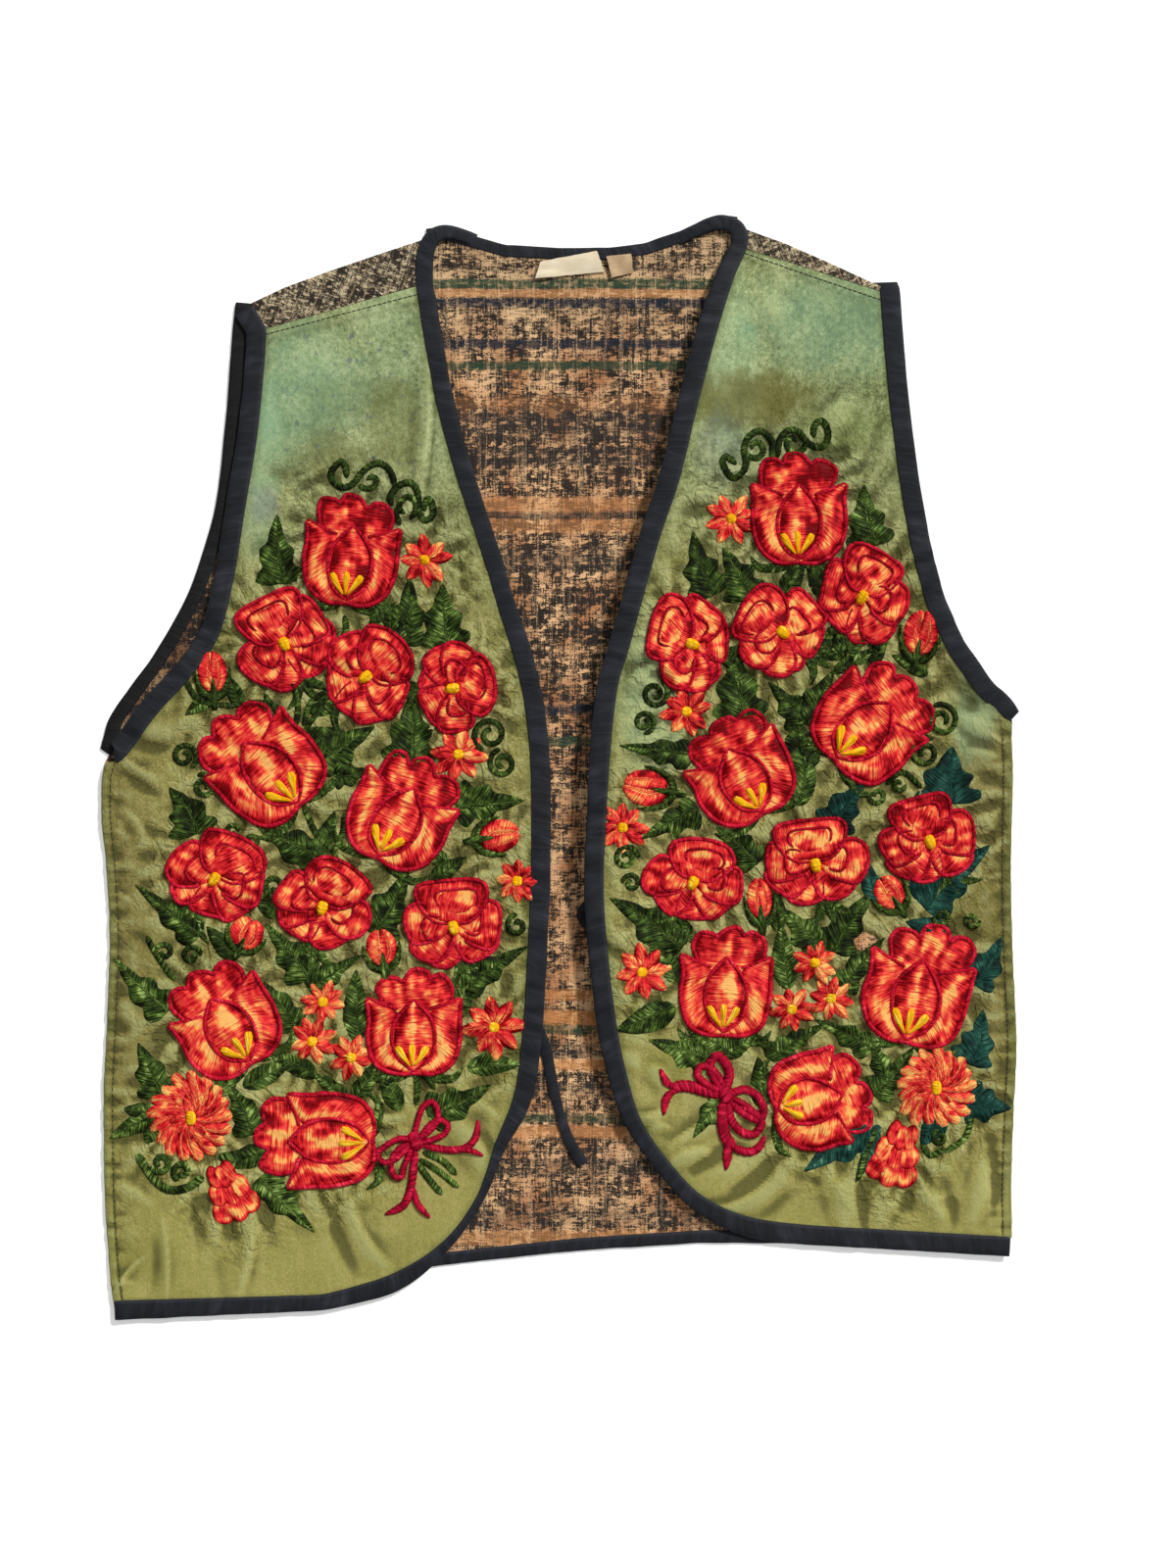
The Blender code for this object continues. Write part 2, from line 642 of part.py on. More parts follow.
class Back:
    """The back panel's middle skin, with each shoulder turned over to meet its front."""

    def __init__(self):
        """Works out the flat panel, then the two shoulders folded over it."""
        self.points = []
        self.normals = []
        self.quads = []
        left = [NECK_FROM * k / SHOULDER_STEPS for k in range(SHOULDER_STEPS)]
        neck = [NECK_FROM + (NECK_TO - NECK_FROM) * k / NECK_STEPS for k in range(NECK_STEPS)]
        right = [NECK_TO + (1 - NECK_TO) * k / SHOULDER_STEPS for k in range(SHOULDER_STEPS + 1)]
        self.shares = left + neck + right
        self.rows = [Ends(*smooth_row(BACK, p)) for p in even_places(BACK, BACK_ALONG)]
        self.places = even_places(BACK, BACK_ALONG)
        for j, row in enumerate(self.rows):
            for share in self.shares:
                self.add(self.flat_point(row, share, j / (BACK_ALONG - 1)), (0.0, 0.0, 1.0))
        self.quads += grid_quads(len(self.shares), BACK_ALONG)
        self.left_flap = self.turn_over(0, SHOULDER_STEPS, RIGHT_FRONT[-1], True)
        self.right_flap = self.turn_over(
            SHOULDER_STEPS + NECK_STEPS, len(self.shares) - 1, LEFT_FRONT[-1], False
        )

    def add(self, point, normal):
        """Keeps a point of the middle skin with the way its inner face looks."""
        self.points.append(point)
        self.normals.append(normal)
        return len(self.points) - 1

    def flat_point(self, row, share, up):
        """A point of the panel that lies flat."""
        x, y = mix(row[0:2], row[2:4], share)
        y += rise_at(BACK_HEM, share) * soft_step(1.0 - up / BACK_HEM_FADE)
        y += rise_at(BACK_TOP, share) * soft_step(1.0 - (1.0 - up) / BACK_TOP_FADE)
        return (x, y, 0.5 * BACK_WALL)

    def turn_over(self, first, last, seam, armhole_first):
        """Folds one shoulder over its crease and down to the front's seam. Returns its rows."""
        top = (BACK_ALONG - 1) * len(self.shares)
        crease = [self.points[top + k] for k in range(first, last + 1)]
        run = (crease[-1][0] - crease[0][0], crease[-1][1] - crease[0][1])
        long = math.hypot(*run)
        ahead = (-run[1] / long, run[0] / long)
        side, front = seam[0:2], seam[2:4]
        radius = 0.5 * (FRONT_LIES_AT + 0.5 * BACK_WALL - 0.5 * BACK_WALL)
        middle = 0.5 * BACK_WALL + radius
        reach = radius + 0.5 * BACK_WALL
        rows = [[] for _ in range(FOLD_STEPS + FLAP_STEPS)]
        for k, (x, y, z) in enumerate(crease):
            share = k / (last - first)
            foot = (x - ahead[0] * reach, y - ahead[1] * reach)
            self.points[top + first + k] = (foot[0], foot[1], z)
            for step in range(FOLD_STEPS):
                angle = math.pi * (step + 1) / FOLD_STEPS - 0.5 * math.pi
                out, rise = math.cos(angle), math.sin(angle)
                centre = (foot[0] + ahead[0] * radius * out, foot[1] + ahead[1] * radius * out)
                place = (centre[0], centre[1], middle + radius * rise)
                normal = (-ahead[0] * out, -ahead[1] * out, -rise)
                rows[step].append(self.add(place, normal))
            goal = mix(side, front, share if armhole_first else 1.0 - share)
            goal = (goal[0] + ahead[0] * SEAM_GAP, goal[1] + ahead[1] * SEAM_GAP)
            for step in range(FLAP_STEPS):
                place = mix(foot, goal, (step + 1) / FLAP_STEPS)
                point = (place[0], place[1], middle + radius)
                rows[FOLD_STEPS + step].append(self.add(point, (0.0, 0.0, -1.0)))
        below = [top + k for k in range(first, last + 1)]
        for row in rows:
            self.quads += [
                (below[k], below[k + 1], row[k + 1], row[k]) for k in range(last - first)
            ]
            below = row
        return rows

    def wall(self, name):
        """The panel as a wall of even thickness round its middle skin."""
        half = 0.5 * BACK_WALL
        inner = []
        outer = []
        for point, normal in zip(self.points, self.normals):
            inner.append(tuple(p + half * n for p, n in zip(point, normal)))
            outer.append(tuple(p - half * n for p, n in zip(point, normal)))
        make_wall(name, inner, outer, self.quads, IKAT)

    def on_floor(self, indices, width):
        """Points of the panel's edge put down on the floor, each with a binding's width."""
        return [((self.points[k][0], self.points[k][1], 0.0), width) for k in indices]

    def hem(self):
        """The hem from left to right."""
        return self.on_floor(range(len(self.shares)), BACK_HEM_BAND)

    def neck(self):
        """The neck edge from left to right."""
        top = (BACK_ALONG - 1) * len(self.shares)
        first, last = SHOULDER_STEPS, SHOULDER_STEPS + NECK_STEPS
        return self.on_floor([top + k for k in range(first, last + 1)], NECK_BAND)

    def armhole(self, column):
        """One armhole's edge from its foot up to the crease."""
        first = next(j for j, p in enumerate(self.places) if p >= BACK_ARMHOLE_ROW)
        count = len(self.shares)
        return self.on_floor([j * count + column for j in range(first, BACK_ALONG)], ARMHOLE_BAND)

    def flap_side(self, rows, end):
        """A folded shoulder's side edge from near the seam up to its crease."""
        found = [self.points[row[end]] for row in reversed(rows[FOLD_STEPS - 1 :])]
        return [(x, y, FRONT_LIES_AT) for x, y, z in found]


def with_flap(stations, flap_points):
    """A front's edge carried on past the shoulder seam along the folded shoulder."""
    width = stations[-1][1]
    return stations + [(point, width) for point in flap_points[1:]]


def shortened(stations, amount):
    """A path with both its ends drawn in."""
    (start, width), (second, _) = stations[:2]
    (end, last_width), (inside, _) = stations[-1], stations[-2]
    first = mix(start, second, amount / math.dist(start, second))
    last = mix(end, inside, amount / math.dist(end, inside))
    return [(first, width)] + stations[1:-1] + [(last, last_width)]


def make_strip(name, stations, wall, steps, finish):
    """A flat strip of cloth along a smooth line."""
    upper = []
    lower = []
    for k in range(steps + 1):
        place = (len(stations) - 1) * k / steps
        x, y, low, width = smooth_row(stations, place)
        before = smooth_row(stations, max(place - 0.05, 0.0))
        after = smooth_row(stations, min(place + 0.05, len(stations) - 1.0))
        run = (after[0] - before[0], after[1] - before[1])
        long = math.hypot(*run)
        for side in (-0.5, 0.5):
            place_x = x - side * width * run[1] / long
            place_y = y + side * width * run[0] / long
            lower.append((place_x, place_y, low))
            upper.append((place_x, place_y, low + wall))
    make_wall(name, upper, lower, grid_quads(2, steps + 1), finish)


def make_label(name, corners, finish):
    """A bare label, its upper side on the neck binding and its lower side on the back."""
    lower = []
    for share in (0.0, 0.45, 1.0):
        height = LABEL_HIGH if share < 0.5 else LABEL_LOW
        left = mix(corners[0], corners[2], share)
        right = mix(corners[1], corners[3], share)
        for part in (0.0, 0.5, 1.0):
            lower.append((*mix(left, right, part), height))
    upper = [(x, y, z + LABEL_WALL) for x, y, z in lower]
    make_wall(name, upper, lower, grid_quads(3, 3), finish)


def centre_on_box():
    """Moves every mesh so that the waistcoat's box is centred on the origin in plan."""
    meshes = [found.data for found in bpy.data.objects]
    for axis in (0, 1):
        places = [vertex.co[axis] for mesh in meshes for vertex in mesh.vertices]
        middle = 0.5 * (min(places) + max(places))
        for mesh in meshes:
            for vertex in mesh.vertices:
                vertex.co[axis] -= middle


def main():
    """Builds the waistcoat: the back, the two fronts on it, then bindings, ties and label."""
    clear_scene()
    back = Back()
    back.wall("back_panel")
    neck = shortened(back.neck(), 2 * SEAM_GAP)
    make_band("back_neck_binding", neck, 1, BACK_BAND_THICK)
    make_band("back_hem_binding", back.hem(), -1, BACK_BAND_THICK)
    make_band("right_armhole_back_binding", back.armhole(0), 1, BACK_BAND_THICK)
    last = len(back.shares) - 1
    make_band("left_armhole_back_binding", back.armhole(last), -1, BACK_BAND_THICK)

    right = Front(RIGHT_FRONT, RIGHT_FOLDS, RIGHT_MOTIFS, RIGHT_ARMHOLE_ROW)
    right.wall("right_front_panel")
    edge = with_flap(right.edge(), back.flap_side(back.left_flap, -1))
    make_band("right_front_binding", edge, -1, FRONT_BAND_THICK)
    armhole = with_flap(right.armhole(), back.flap_side(back.left_flap, 0))
    make_band("right_armhole_front_binding", armhole, 1, FRONT_BAND_THICK)

    left = Front(LEFT_FRONT, LEFT_FOLDS, LEFT_MOTIFS, LEFT_ARMHOLE_ROW)
    left.wall("left_front_panel")
    edge = with_flap(left.edge(), back.flap_side(back.right_flap, 0))
    make_band("left_front_binding", edge, 1, FRONT_BAND_THICK)
    armhole = with_flap(left.armhole(), back.flap_side(back.right_flap, -1))
    make_band("left_armhole_front_binding", armhole, -1, FRONT_BAND_THICK)

    make_strip("right_tie", RIGHT_TIE, TIE_WALL, 20, NAVY)
    make_strip("left_tie", LEFT_TIE, TIE_WALL, 28, NAVY)
    make_label("label_main", LABEL_MAIN, CREAM)
    make_label("label_side", LABEL_SIDE, TAN)
    centre_on_box()


main()
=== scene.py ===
"""An embroidered sleeveless waistcoat, laid out flat on a pale floor with its fronts up.

Sizes are in millimetres until a mesh is made, which is in metres.
+X is the wearer's left, +Y runs from the hem to the neck and +Z is up from the floor.
"""

import sys

import functools
import itertools
import logging
import math
import random
from dataclasses import dataclass, field, replace
from enum import Enum
from typing import Any, Callable, ClassVar, NamedTuple, Sequence, Union

import bpy
import numpy as np
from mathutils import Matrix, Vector, noise
from mathutils.bvhtree import BVHTree


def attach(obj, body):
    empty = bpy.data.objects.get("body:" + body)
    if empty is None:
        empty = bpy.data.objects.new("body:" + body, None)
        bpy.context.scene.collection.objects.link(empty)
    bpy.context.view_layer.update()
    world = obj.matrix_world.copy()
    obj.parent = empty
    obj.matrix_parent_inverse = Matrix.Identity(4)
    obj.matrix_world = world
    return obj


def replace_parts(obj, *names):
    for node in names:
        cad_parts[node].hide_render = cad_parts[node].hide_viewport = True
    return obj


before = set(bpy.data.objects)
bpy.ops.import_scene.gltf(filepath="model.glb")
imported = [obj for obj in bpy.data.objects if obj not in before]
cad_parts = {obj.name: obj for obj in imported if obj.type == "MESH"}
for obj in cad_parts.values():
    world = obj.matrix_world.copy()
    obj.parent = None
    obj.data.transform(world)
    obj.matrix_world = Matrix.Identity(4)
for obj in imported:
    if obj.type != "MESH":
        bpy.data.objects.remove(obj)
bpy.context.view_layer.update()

LOG = logging.getLogger("waistcoat")
MM = 0.001
# The tables' own middle, as measured from the middle of the waistcoat's box
SHIFT_X = 1.02
SHIFT_Y = -0.41
NUMBER = Union[float, np.ndarray]
Points = Sequence[Sequence[float]]
# A place on the line of a binding or a tie: x, y, z and width
Station = tuple[float, float, float, float]


def table_of(kind: Callable[..., Any], *rows: tuple) -> tuple:
    """A table whose rows are each one of a kind."""
    return tuple(kind(*row) for row in rows)


class Line(NamedTuple):
    """One line across a front, from its side to its front edge; band is the width of the edge's binding."""

    side_x: float
    side_y: float
    front_x: float
    front_y: float
    band: float
    side_lift: float = 0.0
    front_lift: float = 0.0


# From the hem to the shoulder seam
RIGHT_LINES = table_of(
    Line,
    (-250, -299.1, -132.3, -295.8, 8.4), (-251.6, -287, -94.3, -284.2, 9.5),
    (-253.3, -268.3, -65.7, -266.1, 5, -0.9), (-254.9, -241.9, -46.5, -240.8, 4, -0.9, 0.4),
    (-255.5, -209.4, -36, -211.1, 6, -0.9, 0.6), (-255.5, -179.2, -25, -181.9, 10, -0.9, 0.8),
    (-253.8, -143.4, -20.1, -143.4, 10.5, -0.9, 0.8), (-252.2, -98.9, -17.3, -96.7, 10.5, -0.9, 0.8),
    (-253.8, -59.3, -15.7, -54.9, 10.5, -0.9, 0.8), (-256.6, -25.7, -15.7, -4.3, 10.5, 0, 0.8),
    (-254.9, 0.7, -18.4, 29.3, 10.5, 0, 0.8), (-244.5, 6.7, -22.8, 52.9, 10, 0, 0.8),
    (-226.9, 30.4, -28.3, 72.2, 10, 0.5, 0.8), (-206.5, 52.9, -34.4, 91.4, 9.5, 0.8, 0.8),
    (-191.7, 75.5, -40.4, 111.8, 9.5, 0.5, 0.8), (-184, 104.6, -48.1, 135.4, 9.5, 0, 0.8),
    (-177.4, 144.8, -59.1, 169, 9.5, 0, 0.8), (-170.2, 188.8, -69, 206.4, 9.5, 0, 0.8),
    (-166.4, 227.8, -76.2, 245.4, 9.5, 0, 0.6), (-165.3, 246.5, -80, 270.7, 9),
)
LEFT_LINES = table_of(
    Line,
    (252.7, -263.3, 137.8, -256.7, 10.5), (252.7, -250.7, 107, -252.3, 10.5),
    (252.7, -234.2, 80.6, -240.8, 9, -0.9, 1), (253.3, -211.1, 61.9, -222.1, 8, -0.9, 2),
    (254.4, -185.8, 45.9, -199, 8.5, -0.9, 3.5), (255.5, -165.4, 37.7, -174.8, 10, -0.9, 5),
    (255.5, -146.2, 31.6, -146.2, 10.5, -0.9, 7), (253.8, -110.4, 26.7, -107.7, 10.5, -0.9, 8.5),
    (252.7, -74.7, 23.9, -70.3, 10.5, -0.9, 9.5), (252.7, -41.7, 25, -32.3, 10.5, -0.9, 9.5),
    (253.3, -8.7, 27.8, 12.2, 11, 0, 9.5), (252.7, 15, 31.6, 44.7, 11, 0, 9.5),
    (251.1, 27.6, 37.1, 63.9, 11, 0, 9.5), (236.8, 39.7, 42.6, 83.7, 11, 2, 9.5),
    (226.3, 53.5, 48.1, 103.5, 11, 4, 9.5), (215.3, 70.5, 55.8, 130.5, 11, 3.5, 9.5),
    (203.8, 99.7, 66.3, 161.8, 11, 1.5, 9.5), (193.9, 144.2, 75.6, 199.8, 11, 0, 9),
    (186.7, 194.8, 86.1, 239.9, 11, 0, 8), (182.9, 232.8, 96, 272.4, 10, 0, 4),
    (180.1, 267.4, 104.2, 291.6, 9),
)


class Ends(NamedTuple):
    """The two ends of one line across the back panel."""

    left_x: float
    left_y: float
    right_x: float
    right_y: float


BACK_ENDS = table_of(
    Ends,
    (-251, -299.1, 252.7, -262.8), (-253.3, -268.3, 252.7, -240), (-255.5, -209.4, 254.4, -194),
    (-254.4, -161, 255.5, -150), (-252.7, -110, 253.8, -110), (-253.8, -59.3, 252.7, -66),
    (-256.6, -25.7, 252.7, -30), (-256.6, 0, 252.7, 3), (-250, 13, 250, 26), (-246, 26.4, 235.7, 39),
    (-234.2, 43.6, 225.2, 53), (-220.8, 62.3, 214.2, 70), (-209.4, 81.5, 207.1, 86),
    (-198.8, 104.1, 201.5, 104), (-186.8, 143.1, 192.5, 144), (-180.2, 190, 185.6, 192),
    (-176.9, 222, 182.4, 226), (-173.5, 259.7, 180.1, 270.7),
)
# Shares across the back, and how far its cut edge stands above the line between its ends
HEM_RISE = ((0.0, 0.0), (0.2, 7.2), (0.37, 13.3), (0.52, 16.0), (0.66, 15.3), (0.81, 8.8), (1.0, 0.0))
TOP_RISE = (
    (0.0, 1.6), (0.051, 9.6), (0.121, 18.0), (0.205, 27.2), (0.272, 34.3), (0.297, 35.2),
    (0.342, 30.9), (0.401, 24.2), (0.484, 21.6), (0.568, 20.7), (0.63, 22.8), (0.692, 29.8),
    (0.751, 36.6), (0.779, 35.5), (0.848, 25.9), (0.919, 14.1), (1.0, 0.0),
)


class FoldKind(Enum):
    """How the cloth lies along a fold."""

    RIDGE = "a soft ridge"
    TROUGH = "a soft hollow"
    PLEAT = "a sharp ridge, steep on its left"


class Fold(NamedTuple):
    """A fold in a front, from one end to the other, bowed to its left by bow."""

    kind: FoldKind
    from_x: float
    from_y: float
    to_x: float
    to_y: float
    bow: float
    width: float
    height: float


RIDGE, TROUGH, PLEAT = FoldKind.RIDGE, FoldKind.TROUGH, FoldKind.PLEAT
RIGHT_FOLDS = table_of(
    Fold,
    (PLEAT, -76, 250, -80, 148, 4, 12, 1.5), (TROUGH, -84, 232, -86, 160, 3, 8, 0.7),
    (RIDGE, -58, 130, -34, 84, 4, 12, 1.4), (PLEAT, -60, 112, -46, 92, -3, 6, 0.9),
    (TROUGH, -66, 122, -52, 100, 2, 6, 0.8), (RIDGE, -238, 8, -205, 25, 4, 12, 2.1),
    (TROUGH, -244, 18, -218, 14, -3, 8, 2.2), (PLEAT, -247, 9, -228, -4, -2, 7, 2.0),
    (TROUGH, -243, -1, -226, -14, -2, 6, 1.3), (PLEAT, -248, -20, -232, -44, 4, 6, 1.2),
    (PLEAT, -250, -34, -242, -40, 1, 4, 0.9), (PLEAT, -250, -52, -240, -55, -1, 3, 0.8),
    (PLEAT, -250, -70, -238, -76, 1, 4, 1.0), (PLEAT, -172, -250, -180, -296, 2, 11, 1.5),
    (TROUGH, -186, -256, -190, -292, -3, 8, 0.6), (PLEAT, -223, -250, -221, -300, 2, 4, 1.1),
    (TROUGH, -228, -262, -230, -298, 2, 6, 0.5), (RIDGE, -246, -212, -222, -228, 3, 11, 1.4),
    (PLEAT, -250, -232, -228, -246, 2, 8, 1.0), (PLEAT, -251, -296, -234, -274, 2, 4, 0.9),
    (PLEAT, -118, -240, -96, -280, -4, 11, 1.5), (TROUGH, -130, -236, -114, -284, -3, 9, 0.9),
    (RIDGE, -62, -196, -42, -228, 3, 11, 1.4), (PLEAT, -52, -186, -34, -196, 2, 6, 1.2),
    (TROUGH, -46, -204, -36, -218, 1, 6, 0.9), (RIDGE, -238, -62, -214, -58, 2, 7, 0.9),
    (TROUGH, -246, -90, -230, -100, 2, 7, 0.8), (RIDGE, -248, -128, -238, -150, 2, 7, 0.9),
    (RIDGE, -160, 200, -120, 206, 5, 16, 0.7), (TROUGH, -168, 168, -140, 150, 4, 12, 0.7),
)
LEFT_FOLDS = table_of(
    Fold,
    (PLEAT, 62, -212, 120, -190, 5, 10, 2.2), (PLEAT, 88, -247, 126, -222, -6, 12, 2.4),
    (TROUGH, 76, -226, 106, -212, 3, 9, 1.8), (PLEAT, 43, -194, 58, -191, -2, 7, 2.0),
    (PLEAT, 50, -203, 60, -200, 2, 6, 1.6), (RIDGE, 62, -223, 85, -216, 3, 7, 1.8),
    (RIDGE, 48, -168, 58, -180, 3, 8, 1.4), (TROUGH, 98, -236, 128, -208, -3, 9, 1.4),
    (RIDGE, 150, -224, 160, -258, 3, 13, 1.9), (TROUGH, 163, -226, 170, -260, 3, 9, 1.5),
    (PLEAT, 164, -232, 169, -260, -1, 5, 0.9), (RIDGE, 196, -222, 214, -256, 4, 12, 1.9),
    (TROUGH, 206, -228, 222, -256, 3, 9, 1.5), (RIDGE, 236, -222, 230, -256, 2, 10, 1.7),
    (TROUGH, 240, -200, 244, -250, 2, 7, 1.2), (RIDGE, 112, 268, 126, 236, 3, 13, 1.6),
    (RIDGE, 160, 208, 148, 190, 2, 12, 1.7), (PLEAT, 158, 208, 149, 194, 2, 5, 0.8),
    (RIDGE, 186, 196, 170, 158, 3, 11, 1.5), (TROUGH, 178, 190, 164, 150, 3, 9, 1.0),
    (TROUGH, 112, 226, 96, 176, -4, 13, 0.9), (TROUGH, 214, 66, 232, 34, 6, 14, 2.4),
    (RIDGE, 222, 30, 246, 14, 3, 9, 1.2), (PLEAT, 226, 10, 250, 4, 2, 7, 1.0),
    (TROUGH, 228, -2, 250, -10, 2, 7, 1.1), (PLEAT, 250, -18, 231, -34, 2, 6, 1.4),
    (TROUGH, 250, -27, 236, -42, 2, 6, 1.1), (PLEAT, 250, -40, 240, -48, 1, 4, 1.0),
    (PLEAT, 250, -60, 238, -63, -1, 4, 0.9), (RIDGE, 34, -160, 44, -168, 1, 7, 0.9),
    (TROUGH, 33, 30, 44, 66, 2, 9, 0.7),
)


def soft_step(share: NUMBER) -> NUMBER:
    """0 to 1 with level ends, and held outside them."""
    share = np.clip(share, 0.0, 1.0)
    return share * share * (3.0 - 2.0 * share)


def smooth_rows(rows: Sequence[Sequence[float]], places: np.ndarray) -> np.ndarray:
    """Rows of figures on smooth curves through the rows of a table.

    Args:
        rows: The table.
        places: Where to read it, from 0 at its first row.

    Returns:
        One row a place.
    """
    table = np.array(rows, float)
    last = len(table) - 1
    step = np.clip(places.astype(int), 0, last - 1)
    part = (places - step)[:, None]
    a, b, c, d = (table[np.clip(step + k, 0, last)] for k in (-1, 0, 1, 2))
    bend = 2 * a - 5 * b + 4 * c - d + part * (3 * (b - c) + d - a)
    return b + 0.5 * part * (c - a + part * bend)


def walk(path: np.ndarray) -> np.ndarray:
    """How far along a path in plan each of its points is."""
    return np.concatenate([[0.0], np.cumsum(np.hypot(*np.diff(path[:, :2], axis=0).T))])


def even_places(rows: Sequence[Sequence[float]], count: int) -> np.ndarray:
    """Places in a table of lines that divide the cloth evenly along both its edges.

    Args:
        rows: The lines, each from its side to its other end.
        count: How many places there are.

    Returns:
        The places, from 0 at the first line.
    """
    fine = np.linspace(0.0, len(rows) - 1.0, 401)
    found = smooth_rows(rows, fine)
    walked = 0.5 * (walk(found) + walk(found[:, 2:]))
    return np.interp(np.linspace(0.0, walked[-1], count), walked, fine)


def along_path(points: Sequence[Sequence[float]], step: float) -> np.ndarray:
    """A smooth path through points, at an even step in millimetres.

    Args:
        points: The points, the first two figures of each its place in plan.
        step: The most that two points of the result are apart.

    Returns:
        One row a point, with as many figures as the points have.
    """
    if len(points) == 2:
        first, last = (np.array(p, float) for p in points)
        points = (first, 0.5 * (first + last), last)
    fine = smooth_rows(points, np.linspace(0.0, len(points) - 1.0, 24 * len(points)))
    walked = walk(fine)
    count = max(int(math.ceil(walked[-1] / step)), 3) + 1
    at = np.linspace(0.0, walked[-1], count)
    return np.stack([np.interp(at, walked, column) for column in fine.T], axis=1)


def sideways(path: np.ndarray) -> np.ndarray:
    """The unit vector to the left of a path in plan, at each of its points."""
    run = np.gradient(path[:, :2], axis=0)
    run /= np.maximum(np.hypot(run[:, 0], run[:, 1]), 1e-9)[:, None]
    return np.stack([-run[:, 1], run[:, 0]], axis=1)


def beside(path: np.ndarray, way: np.ndarray, off: NUMBER) -> tuple[np.ndarray, np.ndarray]:
    """The x and y of places that are off from a path, along the way given at each of its points."""
    return path[:, 0:1] + way[:, 0:1] * off, path[:, 1:2] + way[:, 1:2] * off


def rough(x: np.ndarray, y: NUMBER, seed: float) -> np.ndarray:
    """Smooth noise from -1 to 1 at places that are already divided by its grain."""
    x, y = np.broadcast_arrays(x, y)
    found = [noise.noise((a, b, seed)) for a, b in zip(x.ravel().tolist(), y.ravel().tolist())]
    return np.array(found).reshape(x.shape)


def as_points(*figures: NUMBER) -> np.ndarray:
    """One row a point, from grids of each of its figures."""
    grids = np.broadcast_arrays(*figures)
    return np.stack(grids, axis=2).reshape(-1, len(grids))


def grid_faces(along: int, across: int, start: int = 0, ring: bool = False) -> np.ndarray:
    """The quads of a grid of points whose rows run across.

    Args:
        along: How many rows there are.
        across: How many points a row has.
        start: The first point's number.
        ring: Whether each row closes on itself.

    Returns:
        One row of four numbers a face.
    """
    j, i = np.meshgrid(np.arange(along - 1), np.arange(across if ring else across - 1), indexing="ij")
    after = (i + 1) % across
    quads = (j * across + i, j * across + after, (j + 1) * across + after, (j + 1) * across + i)
    return start + np.stack([quad.ravel() for quad in quads], axis=1)


def make_piece(
    name: str,
    points: np.ndarray,
    faces: Sequence[Sequence[int]],
    layers: dict[str, np.ndarray],
    finish: "Finish",
    sharp: float = 60.0,
) -> bpy.types.Object:
    """Makes one piece from points in millimetres and lets it ride on the waistcoat.

    Args:
        name: The piece's name.
        points: One row of x, y and z a point, in the tables' figures.
        faces: The points of each face.
        layers: Two figures a point for each named layer.
        finish: What it is made of.
        sharp: The angle in degrees above which an edge shows.

    Returns:
        The piece.
    """
    mesh = bpy.data.meshes.new(name)
    placed = (points + np.array([SHIFT_X, SHIFT_Y, 0.0])) * MM
    mesh.from_pydata(placed.tolist(), [], [list(face) for face in faces])
    corners = np.empty(len(mesh.loops), np.int32)
    mesh.loops.foreach_get("vertex_index", corners)
    for layer, figures in layers.items():
        made = mesh.uv_layers.new(name=layer)
        made.data.foreach_set("uv", figures[corners].astype(np.float32).ravel())
    mesh.shade_smooth()
    mesh.set_sharp_from_angle(angle=math.radians(sharp))
    mesh.materials.append(finish.material)
    piece = bpy.data.objects.new(name, mesh)
    bpy.context.scene.collection.objects.link(piece)
    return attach(piece, "root")


def two_skins(upper: np.ndarray, lower: np.ndarray, quads: np.ndarray) -> tuple[np.ndarray, list]:
    """The points and faces of a cloth wall, closed round its rim.

    Args:
        upper: The points of its upper skin.
        lower: As many points of its lower skin.
        quads: The faces of the upper skin.

    Returns:
        All the points, and all the faces.
    """
    count = len(upper)
    runs = {(q[k], q[(k + 1) % 4]) for q in quads.tolist() for k in range(4)}
    rim = [(b, a, count + a, count + b) for a, b in sorted(runs) if (b, a) not in runs]
    faces = quads.tolist() + (quads[:, ::-1] + count).tolist() + rim
    return np.concatenate([upper, lower]), faces


def ink(code: str) -> tuple[float, float, float, float]:
    """A dye's linear colour from its six hexadecimal figures."""
    parts = [int(code[k : k + 2], 16) / 255 for k in (0, 2, 4)]
    linear = [c / 12.92 if c <= 0.04045 else ((c + 0.055) / 1.055) ** 2.4 for c in parts]
    return (linear[0], linear[1], linear[2], 1.0)


def sums(operation: str, swapped: bool = False) -> Callable[["Value", "Input"], "Value"]:
    """Makes an operator of Value.

    Args:
        operation: The Math node that it adds.
        swapped: Whether the other value comes first.

    Returns:
        The operator's method.
    """

    def method(self: "Value", other: "Input") -> "Value":
        """Adds the node with self and other."""
        return self.math(operation, other, self) if swapped else self.math(operation, self, other)

    return method


